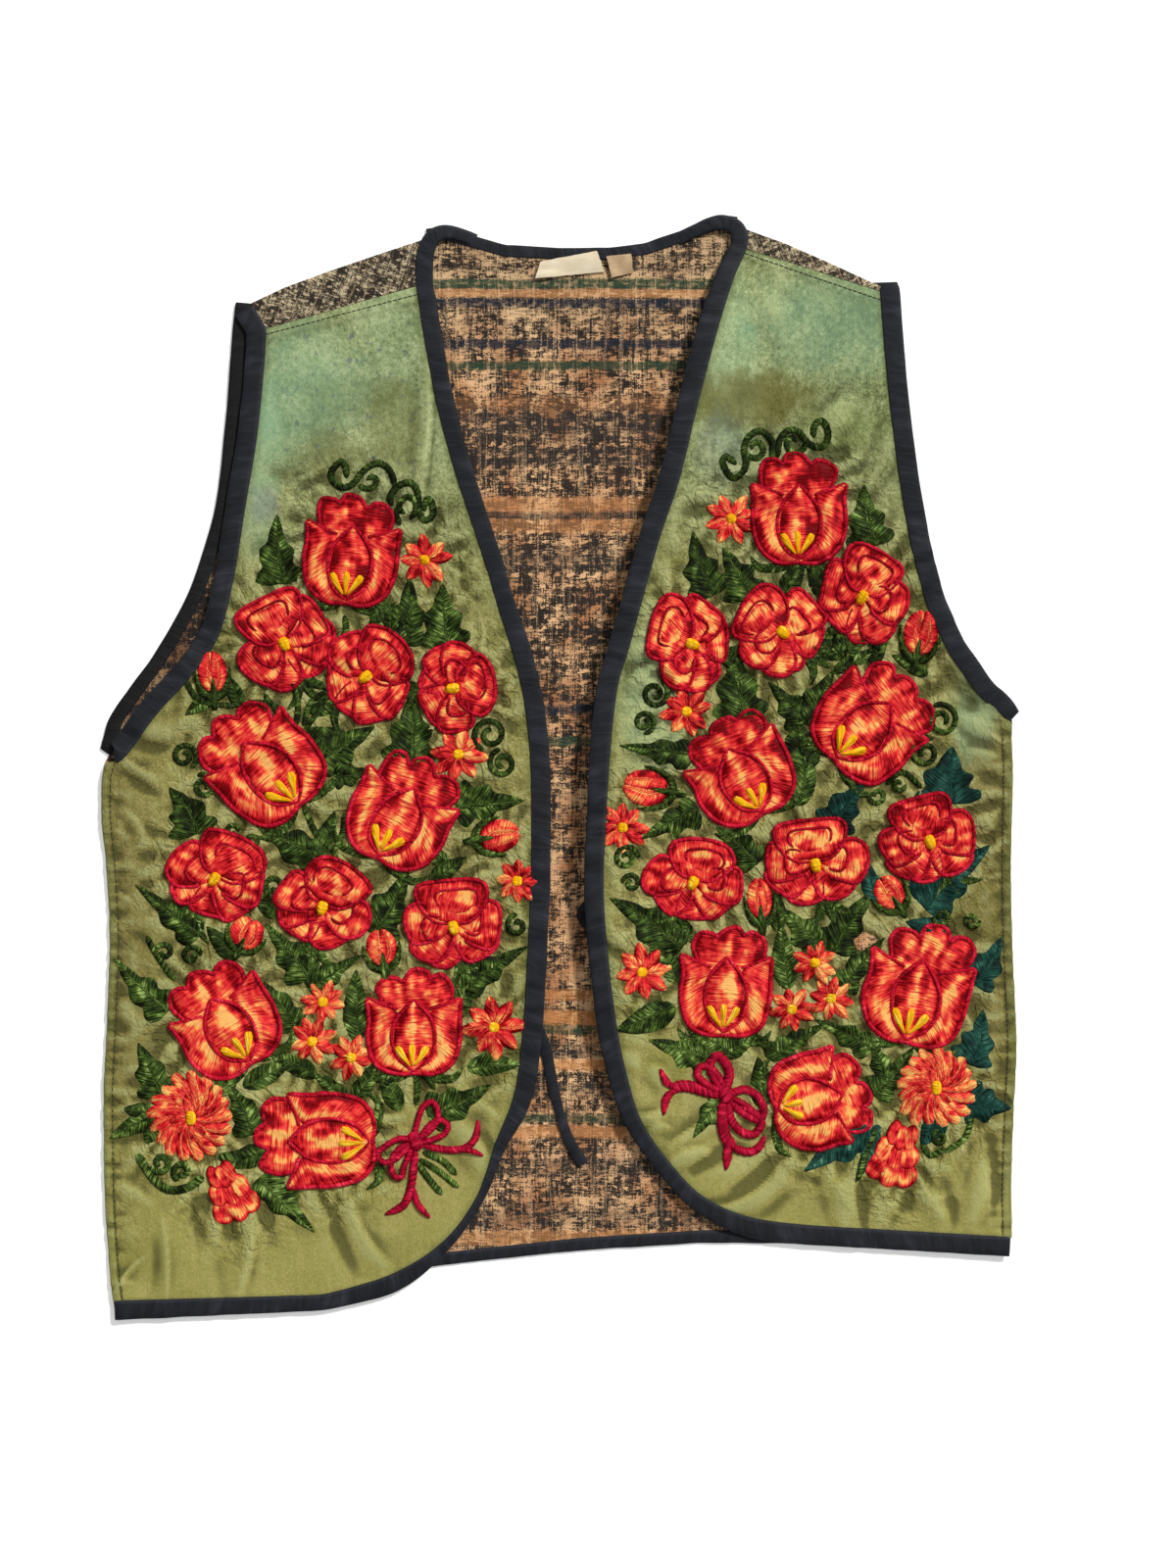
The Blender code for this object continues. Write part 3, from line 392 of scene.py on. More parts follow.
class Value:
    """A socket that stands in sums; each operation adds one Math node."""

    def __init__(self, shader: "Shader", socket: bpy.types.NodeSocket) -> None:
        """Keeps the socket and its shader."""
        self.shader = shader
        self.socket = socket

    def math(self, operation: str, *values: "Input") -> "Value":
        """Adds a Math node with these values in order."""
        return self.shader.node("ShaderNodeMath", {"operation": operation}, dict(enumerate(values)))

    __add__ = __radd__ = sums("ADD")
    __sub__, __rsub__ = sums("SUBTRACT"), sums("SUBTRACT", True)
    __mul__ = __rmul__ = sums("MULTIPLY")
    __truediv__ = sums("DIVIDE")
    __pow__ = sums("POWER")

    def __abs__(self) -> "Value":
        """The size of self."""
        return self.math("ABSOLUTE", self)

    def wave(self) -> "Value":
        """The sine of self."""
        return self.math("SINE", self)

    def between(self, low: float, high: float) -> "Value":
        """0 at low to 1 at high, with level ends; low may be the larger."""
        settings = {"interpolation_type": "SMOOTHSTEP"}
        if low < high:
            return self.shader.node("ShaderNodeMapRange", settings, {0: self, 1: low, 2: high})
        return 1.0 - self.between(high, low)

    def other(self, output: int) -> "Value":
        """Another output of the node that this one comes from."""
        return Value(self.shader, self.socket.node.outputs[output])


Input = Union[Value, float, tuple]
Colour = Union[Value, str]
Stops = Sequence[tuple[float, Union[str, float]]]


class Shader:
    """A material, whose nodes are added round its principled shader."""

    def __init__(self, name: str) -> None:
        """Makes the material."""
        self.material = bpy.data.materials.new(name)
        self.material.use_nodes = True
        self.tree = self.material.node_tree
        self.surface = self.tree.nodes["Principled BSDF"]

    def node(self, kind: str, settings: dict, values: dict, output: int = 0) -> Value:
        """Adds a node.

        Args:
            kind: Its type.
            settings: Its settings, which are set first; "stops" fills a ramp.
            values: The values or links of its sockets, by number or name.
            output: The output that stands for it.

        Returns:
            That output.
        """
        made = self.tree.nodes.new(kind)
        for key, value in settings.items():
            if key == "stops":
                self.fill(made.color_ramp, value)
            else:
                setattr(made, key, value)
        for key, value in values.items():
            self.put(made.inputs[key], value)
        return Value(self, made.outputs[output])

    def put(self, socket: bpy.types.NodeSocket, value: Input) -> None:
        """Links a value to a socket, or sets it there."""
        if isinstance(value, Value):
            self.tree.links.new(value.socket, socket)
        else:
            socket.default_value = value

    @staticmethod
    def fill(ramp: bpy.types.ColorRamp, stops: Stops) -> None:
        """Gives a ramp its places and its dyes or greys."""
        for k, (place, code) in enumerate(stops):
            stop = ramp.elements[k] if k < 2 else ramp.elements.new(place)
            stop.position = place
            stop.color = ink(code) if isinstance(code, str) else (code, code, code, 1.0)

    def layer(self, name: str) -> tuple[Value, Value]:
        """The two figures of a named layer."""
        place = self.node("ShaderNodeUVMap", {"uv_map": name}, {})
        found = self.node("ShaderNodeSeparateXYZ", {}, {0: place})
        return found, found.other(1)

    def at(self, x: Input, y: Input, grain: tuple[float, float], seed: float = 0.0) -> Value:
        """A place from its figures, each divided by its own grain."""
        return self.node("ShaderNodeCombineXYZ", {}, {0: x / grain[0], 1: y / grain[1], 2: seed})

    def grain(
        self, x: Input, y: Input, grain: tuple[float, float], seed: float = 0.0, detail: float = 2.0,
        roughness: float = 0.5,
    ) -> Value:
        """Noise about 0.5.

        Args:
            x: The place across.
            y: The place along.
            grain: How wide and how long its grain is.
            seed: Which noise it is.
            detail: How many finer noises are added.
            roughness: How strong they are.

        Returns:
            The noise.
        """
        place = self.at(x, y, grain, seed)
        values = {"Vector": place, "Scale": 1.0, "Detail": detail, "Roughness": roughness}
        return self.node("ShaderNodeTexNoise", {}, values)

    def spots(self, x: Value, y: Value, apart: float) -> Value:
        """How far a place is from the nearest of scattered points, about one of them apart."""
        return self.node("ShaderNodeTexVoronoi", {}, {"Vector": self.at(x, y, (apart, apart)), "Scale": 1.0})

    def ramp(self, value: Input, stops: Stops) -> Value:
        """Dyes or greys along a value."""
        return self.node("ShaderNodeValToRGB", {"stops": stops}, {0: value})

    def blend(self, share: Input, first: Colour, second: Colour) -> Value:
        """Two colours or dyes mixed, with share of the second."""
        colours = [ink(c) if isinstance(c, str) else c for c in (first, second)]
        return self.node("ShaderNodeMix", {"data_type": "RGBA"}, {0: share, 6: colours[0], 7: colours[1]}, 2)

    def relief(self, height: Value, deep: float) -> None:
        """Raises the surface by a height from 0 to 1, deep millimetres in all."""
        values = {"Strength": 1.0, "Distance": deep * MM, "Height": height}
        self.put(self.surface.inputs["Normal"], self.node("ShaderNodeBump", {}, values))

    def dress(self, **sockets: Input) -> bpy.types.Material:
        """Sets the principled shader's sockets, and returns the material."""
        for name, value in sockets.items():
            self.put(self.surface.inputs[name.replace("_", " ")], value)
        return self.material


@dataclass(frozen=True)
class Finish:
    """What a piece is made of; follows names the layer of figures in millimetres that its pattern follows."""

    name: str
    follows: ClassVar[str] = "stitch"

    @functools.cached_property
    def material(self) -> bpy.types.Material:
        """The finished material."""
        shader = Shader(self.name)
        return self.dye(shader, *shader.layer(self.follows))

    def dye(self, shader: Shader, x: Value, y: Value) -> bpy.types.Material:
        """Gives a shader this finish and returns its material; x and y are the layer's figures."""
        raise NotImplementedError


class Spot(NamedTuple):
    """A soft-edged round of dye: its middle, half width, half length, strength and dye."""

    x: float
    y: float
    wide: float
    long: float
    strength: float
    code: str = ""

    def far(self, x: Value, y: Value) -> Value:
        """How far off a place is, squared, in its half width and half length."""
        return ((x - self.x) / self.wide) ** 2.0 + ((y - self.y) / self.long) ** 2.0


@dataclass(frozen=True)
class OliveCotton(Finish):
    """The fronts' faded plain-weave cotton, minty towards the shoulders and browner low down.

    Its layer runs across and up the waistcoat. Its first table of spots is where it is mintiest, one of them
    partly a painted highlight; its second holds stains and one spot of painted shade; specks is where it is
    flecked with blue.
    """

    bloom_and_highlight: tuple[Spot, ...]
    stains_and_shade: tuple[Spot, ...]
    specks: Spot
    thread: float = 0.42
    follows: ClassVar[str] = "weave"

    def dye(self, shader: Shader, x: Value, y: Value) -> bpy.types.Material:
        """Gives a shader this finish.

        Args:
            shader: The shader.
            x: The place across the waistcoat.
            y: The place up the waistcoat.

        Returns:
            Its material.
        """
        fold, rim = shader.layer("tone")
        near, strip = shader.layer("near")
        broad = shader.grain(x, y, (70.0, 70.0), 0.0, 4.0, 0.6)
        cloudy = shader.grain(x, y, (16.0, 22.0), 4.0, 4.0, 0.65)
        streak = shader.grain(x, y, (3.0, 40.0), 9.0, 3.0, 0.6)
        fibre = shader.grain(x, y, (0.9, 1.4), 2.0, 3.0, 0.7)
        mottle = shader.grain(x, y, (2.8, 3.4), 7.0, 3.0, 0.7)
        up = (y + (broad - 0.5) * 120.0).between(40.0, 215.0)
        tone = 0.5 + (broad - 0.5) * 0.8 + (cloudy - 0.5) * (up * 0.9 + 0.35) + (streak - 0.5) * 0.35
        tone = tone + (fibre - 0.5) * 1.3 + (mottle - 0.5) * (0.6 + up * 0.9)
        base = shader.ramp(tone, ((0.12, "625C2F"), (0.38, "878346"), (0.6, "A39B5D"), (0.9, "C1B87E")))
        fresh = shader.ramp(tone, ((0.1, "566240"), (0.48, "84966A"), (0.9, "AEC292")))
        base = shader.blend(up * 0.72, base, fresh)
        mint: Input = 0.0
        # Faded mint, in one spot partly a painted highlight
        for spot in self.bloom_and_highlight:
            mint = (spot.far(x, y) + (cloudy - 0.5) * 1.4).between(1.1, 0.0) * spot.strength + mint
        base = shader.blend(mint * 0.62, base, "93C09A")
        low = y.between(-90.0, -250.0) * (1.0 - cloudy.between(0.4, 0.8) * 0.3)
        base = shader.blend(low * 0.5, base, "A39D54")
        # Painted shade with a browner tint in a band beside the side seam, below the armhole
        base = shader.blend(strip * y.between(60.0, 0.0) * y.between(-250.0, -170.0) * 0.5, base, "6C5E30")
        # Stains, and one spot of painted shade in the left armhole's hollow foot
        for spot in self.stains_and_shade:
            far = spot.far(x, y) + (cloudy - 0.5) * 1.6
            base = shader.blend(far.between(1.0, 0.1) * spot.strength, base, spot.code)
        speck = shader.spots(x, y, 7.5).between(0.24, 0.08)
        speck = speck * shader.grain(x, y, (12.0, 12.0), 6.0).between(0.52, 0.7)
        splash = shader.grain(x, y, (5.0, 8.0), 8.0, 3.0, 0.65).between(0.58, 0.7)
        place = self.specks.far(x, y).between(1.3, 0.4) * self.specks.strength
        base = shader.blend((speck * 0.95 + splash * 0.55) * place, base, self.specks.code)
        # Painted shade near the embroidery and the side seam's gathers, and along the fine creases
        furrow = self.furrows(shader, x, y, (broad - 0.5) * 40.0) * (0.08 + near * 0.92)
        base = shader.blend(near * 0.1 + furrow * 0.22, base, "46421C")
        # Painted shade in the hollows and a painted highlight on the ridges of the folds and puckers
        base = shader.blend(fold.between(0.5, 0.0) * 0.7, base, "38381A")
        base = shader.blend(fold.between(0.5, 1.0) * 0.3, base, "C2C88C")
        base = shader.blend(rim * (0.25 + cloudy * 0.5), base, "55602F")
        over, under = ((place * (math.pi / self.thread)).wave() for place in (x, y))
        weave = over * under * 0.05 + fibre * 0.16 + streak * 0.08
        shader.relief(weave - furrow, 1.25)
        return shader.dress(Base_Color=base, Roughness=0.88 + (fibre - 0.5) * 0.2, Specular_IOR_Level=0.12)

    def furrows(self, shader: Shader, x: Value, y: Value, bend: Value) -> Value:
        """Fine creases.

        Args:
            shader: The shader.
            x: The place across.
            y: The place up.
            bend: How far the creases wander.

        Returns:
            1 along their lines and 0 away from them.
        """
        long = shader.grain(x + bend, y - bend, (12.0, 17.0), 11.0, 1.5)
        short = shader.grain(x - bend, y - bend, (8.0, 6.0), 14.0, 1.5)
        fine = shader.grain(x + bend, y - bend, (4.5, 6.5), 17.0, 1.0)
        most = abs(long - 0.5).between(0.07, 0.0) * 0.55 + abs(short - 0.5).between(0.09, 0.0) * 0.35
        return most + abs(fine - 0.5).between(0.09, 0.0) * 0.25


RIGHT_OLIVE = OliveCotton(
    "right_olive",
    table_of(
        Spot,
        (-146.0, 212.0, 42.0, 46.0, 0.62), (-170.0, 172.0, 16.0, 60.0, 0.6), (-96.0, 236.0, 26.0, 60.0, 0.2),
    ),
    table_of(
        Spot,
        (-118.0, 208.0, 34.0, 16.0, 0.35, "5F7048"), (-166.0, 148.0, 12.0, 14.0, 0.35, "6A6680"),
        (-128.0, 176.0, 24.0, 20.0, 0.55, "6C6C3A"), (-92.0, 190.0, 22.0, 34.0, 0.45, "74743C"),
        (-230.0, -276.0, 26.0, 16.0, 0.4, "7C7A38"),
    ),
    Spot(-112.0, 206.0, 50.0, 62.0, 1.0, "46466E"),
)
LEFT_OLIVE = OliveCotton(
    "left_olive",
    # Faded mint; the spot at (233, 25) is partly a painted highlight where the cloth slopes up at the
    # armhole's foot
    table_of(
        Spot,
        (160.0, 250.0, 66.0, 36.0, 0.55), (96.0, 226.0, 18.0, 60.0, 0.4), (52.0, 40.0, 26.0, 60.0, 0.6),
        (233.0, 25.0, 16.0, 30.0, 0.75),
    ),
    # Stains, except the dark spot at (228, 52), which is painted shade in the hollow at the armhole's foot
    table_of(
        Spot,
        (106.0, 206.0, 50.0, 22.0, 0.74, "666028"), (90.0, 178.0, 18.0, 26.0, 0.3, "5C6A72"),
        (156.0, 190.0, 30.0, 22.0, 0.4, "7E8A4A"), (228.0, 52.0, 16.0, 22.0, 0.7, "3F4A2A"),
        (60.0, -170.0, 16.0, 22.0, 0.45, "77772F"),
    ),
    Spot(96.0, 176.0, 26.0, 56.0, 0.5, "46466E"),
)


class Stripe(NamedTuple):
    """A stripe of one weft colour across the back: its middle, half its height, dye and strength."""

    y: float
    half: float
    code: str
    strength: float


@dataclass(frozen=True)
class IkatWeave(Finish):
    """The back's cloth, resist-dyed in broken dashes of orange on charcoal with plain stripes.

    light gives how orange the cloth is at shares of the way up the back.
    """

    name: str = "ikat_cotton"
    row: float = 6.05
    column: float = 7.6
    light: tuple[tuple[float, float], ...] = (
        (0.02, 0.58), (0.1, 0.54), (0.16, 0.53), (0.2, 0.5), (0.27, 0.66), (0.3, 0.65), (0.34, 0.64),
        (0.42, 0.62), (0.5, 0.53), (0.58, 0.45), (0.66, 0.39), (0.71, 0.53), (0.74, 0.58), (0.77, 0.37),
        (0.81, 0.38), (0.84, 0.57), (0.9, 0.54), (0.96, 0.58),
    )
    stripes: tuple[Stripe, ...] = table_of(
        Stripe,
        (272.5, 2.6, "2E4A34", 0.85), (267.0, 2.4, "DD9B62", 0.55), (261.5, 2.7, "1A2434", 0.88),
        (238.5, 2.9, "1A2433", 0.9), (226.5, 2.7, "2B4531", 0.85), (205.0, 4.0, "DB965C", 0.15),
        (193.0, 9.0, "3B3431", 0.45), (175.0, 6.0, "3A3331", 0.4), (148.0, 4.5, "D8945B", 0.4),
        (136.5, 4.0, "D8945B", 0.34), (142.5, 2.2, "3A3430", 0.6), (118.0, 6.0, "37322F", 0.45),
        (33.0, 3.0, "1B2533", 0.75), (15.0, 3.0, "2D4734", 0.75), (-127.5, 3.2, "D28A4C", 0.55),
        (-140.0, 4.2, "D28A4C", 0.6), (-146.5, 2.8, "2E4630", 0.72), (-158.0, 4.0, "33302F", 0.5),
        (-166.0, 3.2, "D28A4C", 0.6), (-180.0, 3.5, "302E2F", 0.5), (-196.5, 2.8, "2C4431", 0.7),
        (-204.0, 3.4, "D9935A", 0.6), (-224.0, 6.0, "33302F", 0.4), (-252.0, 5.0, "34312F", 0.4),
        (-264.0, 4.0, "D9965B", 0.45),
    )
    follows: ClassVar[str] = "weave"

    def dye(self, shader: Shader, x: Value, y: Value) -> bpy.types.Material:
        """Gives a shader this finish.

        Args:
            shader: The shader.
            x: The place across the waistcoat.
            y: The place up the waistcoat.

        Returns:
            Its material.
        """
        fold, outside = shader.layer("tone")
        drift = (shader.grain(x, y, (45.0, 30.0), 3.0) - 0.5) * 3.0
        v = y + drift
        u = x + drift * 0.6
        fine = shader.grain(u, v, (0.8, 0.8), 4.0, 2.0, 0.8).between(0.3, 0.7)
        weft = shader.grain(u, v, (6.0, 1.1), 5.0, 2.0, 0.6).between(0.3, 0.7)
        warp = shader.grain(u, v, (1.2, 14.0), 1.0, 2.0, 0.6).between(0.3, 0.7)
        blocks = shader.grain(u, v, (13.0, 10.0), 7.0, 3.0, 0.6).between(0.3, 0.7)
        rows = (v * (2 * math.pi / self.row) + blocks * 3.0).wave()
        columns = (u * (2 * math.pi / self.column) + blocks * 5.0 + rows * 0.4).wave()
        dashes = rows.between(0.15, 0.9) * columns.between(-0.1, 0.7)
        light = shader.ramp((y + 310.0) / 620.0, self.light)
        light = light + (outside * (0.43 - light))
        dye = light - 0.175 + (blocks - 0.5) * 0.62 + dashes * 0.52
        dye = (dye + (warp - 0.5) * 0.45 + (weft - 0.5) * 0.5 + (fine - 0.5) * 0.6).between(0.28, 0.72)
        warm = shader.blend(shader.grain(u, v, (20.0, 26.0), 6.0).between(0.35, 0.65), "C4875A", "FCCA96")
        warm = shader.blend(y.between(225.0, 265.0) * 0.5, warm, "D8BE93")
        warm = shader.blend(outside * 0.75, warm, "CFC4A2")
        ground = shader.blend(fine * 0.6 + blocks * 0.4, "1B1817", "463A32")
        base = shader.blend(dye * 0.94, ground, warm)
        threads = shader.grain(u, v, (2.2, 70.0), 8.0, 2.0, 0.6).between(0.55, 0.66)
        through = threads * fine.between(0.3, 0.7)
        base = shader.blend(through * 0.6, base, "D8B48C")
        for stripe in self.stripes:
            share = abs(v - stripe.y + (fine - 0.5) * 1.4).between(stripe.half * 1.2, stripe.half * 0.7)
            share = share * (1.0 - through * 0.8) * (1.0 - dashes * 0.25) * stripe.strength
            base = shader.blend(share * (1.0 - outside), base, stripe.code)
        # Painted shade where the back lies low and beside the armholes
        base = shader.blend(fold.between(0.46, 0.1) * 0.6, base, "1A1616")
        shader.relief(fine * 0.6 + (warp + weft) * 0.5, 0.3)
        return shader.dress(Base_Color=base, Roughness=0.84 + (fine - 0.5) * 0.2, Specular_IOR_Level=0.2)


@dataclass(frozen=True)
class BindingCloth(Finish):
    """A narrow folded strip of closely woven cotton; its layer runs along it and across."""

    name: str = "navy_binding"
    dark: str = "090A0E"
    middle: str = "171920"
    light: str = "33363F"
    wide: float = 11.0
    deep: float = 0.595

    def dye(self, shader: Shader, x: Value, y: Value) -> bpy.types.Material:
        """Gives a shader this finish.

        Args:
            shader: The shader.
            x: The place along the strip.
            y: The place across it.

        Returns:
            Its material.
        """
        ruck = shader.grain(x / 7.0 + y / 16.0, y, (1.0, 26.0), 0.0, 3.0, 0.55)
        wave = shader.grain(x, y, (22.0, 30.0), 5.0)
        thread = shader.grain(x, y, (0.8, 0.8), 2.0, 2.0, 0.8)
        lint = shader.grain(x, y, (2.6, 2.6), 7.0, 3.0, 0.7).between(0.66, 0.8)
        crease = abs(shader.grain(x / 8.0 + y / 40.0, y, (1.0, 40.0), 9.0, 1.0) - 0.5).between(0.07, 0.0)
        worn = abs(y - 0.5 * self.wide).between(3.8, 5.4) * 0.3 + crease * 0.1
        tone = 0.45 + (ruck - 0.5) * 1.1 + (wave - 0.5) * 0.8 + (thread - 0.5) * 0.35
        base = shader.ramp(tone, ((0.1, self.dark), (0.5, self.middle), (1.0, self.light)))
        base = shader.blend(worn + lint * 0.25, base, self.light)
        shader.relief(ruck * 0.6 + wave * 0.5 + thread * 0.18 - crease * 0.2, self.deep)
        return shader.dress(Base_Color=base, Roughness=0.72 + (thread - 0.5) * 0.2, Specular_IOR_Level=0.25)


@dataclass(frozen=True)
class SatinThread(Finish):
    """Space-dyed floss; its layer runs across its threads and along them.

    stops are its dyes from dark to light, middle and spread say which of them show, jitter how much they
    differ from thread to thread, run how long each dye lasts, and rim how much darker it is at the edge of a
    form, partly its dye and partly painted shade.
    """

    stops: tuple[tuple[float, str], ...]
    middle: float = 0.5
    spread: float = 0.6
    jitter: float = 0.3
    run: float = 9.0
    rim: float = 0.3
    glossy: float = 0.55
    sheen: float = 0.07

    def dye(self, shader: Shader, x: Value, y: Value) -> bpy.types.Material:
        """Gives a shader this finish.

        Args:
            shader: The shader.
            x: The place across the threads.
            y: The place along them.

        Returns:
            Its material.
        """
        tone, edge = shader.layer("tone")
        dip = shader.grain(x, y, (self.run, 0.6 * self.run), 1.0, 1.5, 0.45).between(0.3, 0.7)
        fleck = shader.grain(x, y, (2.6, 3.4), 5.0, 2.0, 0.6).between(0.3, 0.7)
        strand = shader.grain(x, y, (0.8, 9.0), 3.0, 1.0).between(0.3, 0.7)
        clump = shader.grain(x, y, (2.0, 12.0), 6.0, 2.0, 0.6).between(0.3, 0.7)
        dye = self.middle + tone + (dip - 0.5) * self.spread
        dye = dye + ((strand - 0.5) * 0.9 + (clump - 0.5) * 0.5 + (fleck - 0.5) * 0.5) * self.jitter
        # Darker towards the rim of each padded form: partly the dye, partly painted shade
        base = shader.ramp(dye - edge * self.rim, self.stops)
        # Painted shade in the gaps between strands, in the darkest dye
        gap = (strand * 0.6 + clump * 0.4).between(0.42, 0.12)
        base = shader.blend(gap * 0.3, base, self.stops[0][1])
        shader.relief(strand * 0.45 + clump * 0.4 + fleck * 0.15, 0.5)
        rough_at = self.glossy + (clump - 0.5) * 0.2
        return shader.dress(Base_Color=base, Roughness=rough_at, Specular_IOR_Level=self.sheen)


@dataclass(frozen=True)
class LabelTape(Finish):
    """Plain woven tape for a bare label."""

    dark: str
    light: str

    def dye(self, shader: Shader, x: Value, y: Value) -> bpy.types.Material:
        """Gives a shader this finish; x and y run along its two sides."""
        ribs = shader.grain(x, y, (14.0, 0.7), 0.0, 2.0, 0.6)
        cloudy = shader.grain(x, y, (9.0, 7.0), 3.0, 3.0, 0.6)
        base = shader.blend(0.35 + (cloudy - 0.5) * 1.4 + (ribs - 0.5) * 0.5, self.dark, self.light)
        shader.relief(ribs * 0.7 + cloudy * 0.6, 0.3)
        return shader.dress(Base_Color=base, Roughness=0.7 + (ribs - 0.5) * 0.2, Specular_IOR_Level=0.3)


@dataclass(frozen=True)
class SewingThread(Finish):
    """The dark machine thread of the topstitching."""

    name: str = "sewing_thread"

    def dye(self, shader: Shader, x: Value, y: Value) -> bpy.types.Material:
        """Gives a shader this finish; x runs along the thread and y round it."""
        twist = shader.grain(x / 0.25 + y / 0.3, 0.0, (1.0, 1.0), detail=1.0)
        base = shader.blend(twist, "14180F", "2C3322")
        shader.relief(twist, 0.1)
        return shader.dress(Base_Color=base, Roughness=0.6 + (twist - 0.5) * 0.2)


PETAL_THREAD = SatinThread(
    "petal_thread",
    (
        (0.0, "6C0008"), (0.18, "A80C16"), (0.38, "D4222A"), (0.58, "E84038"), (0.75, "F26844"),
        (0.89, "F8944E"), (1.0, "FCBA68"),
    ),
    middle=0.48, spread=0.78, jitter=0.38, run=12.0, rim=0.62,
)
OUTLINE_THREAD = SatinThread(
    "outline_thread",
    ((0.0, "5A020C"), (0.45, "AE0A24"), (0.8, "D01C38"), (1.0, "E64456")),
    spread=0.35, jitter=0.45, rim=0.12,
)
LEAF_THREAD = SatinThread(
    "leaf_thread",
    ((0.0, "080D03"), (0.33, "202C0D"), (0.62, "3A501C"), (0.85, "5E7632"), (1.0, "90A85C")),
    middle=0.42, spread=0.5, jitter=0.56, run=12.0, rim=0.1, glossy=0.6,
)
TEAL_THREAD = SatinThread(
    "teal_thread",
    ((0.0, "050F0D"), (0.33, "0F2A24"), (0.62, "1C463B"), (0.85, "346454"), (1.0, "5F8A76")),
    middle=0.42, spread=0.4, jitter=0.42, run=12.0, rim=0.1,
)
STAMEN_THREAD = SatinThread(
    "stamen_thread",
    ((0.0, "A85E00"), (0.35, "E89A00"), (0.7, "FABE08"), (1.0, "FFE050")),
    middle=0.58, spread=0.3, jitter=0.35, rim=0.25,
)
BOW_THREAD = SatinThread(
    "bow_thread",
    ((0.0, "46020F"), (0.4, "900424"), (0.7, "B80C32"), (1.0, "DC3052")),
    spread=0.3, jitter=0.45, rim=0.25,
)


class Ruck(NamedTuple):
    """Small waves beside an edge: their height, grain along it and away from it, seed and reach."""

    high: float
    along: float
    away: float
    seed: float
    reach: float

    def lift(self, walked: np.ndarray, off: np.ndarray) -> np.ndarray:
        """How far they lift the cloth at distances along the edge and from it."""
        waves = rough(walked / self.along, off / self.away, self.seed)
        return self.high * waves * soft_step(1.0 - off / self.reach)


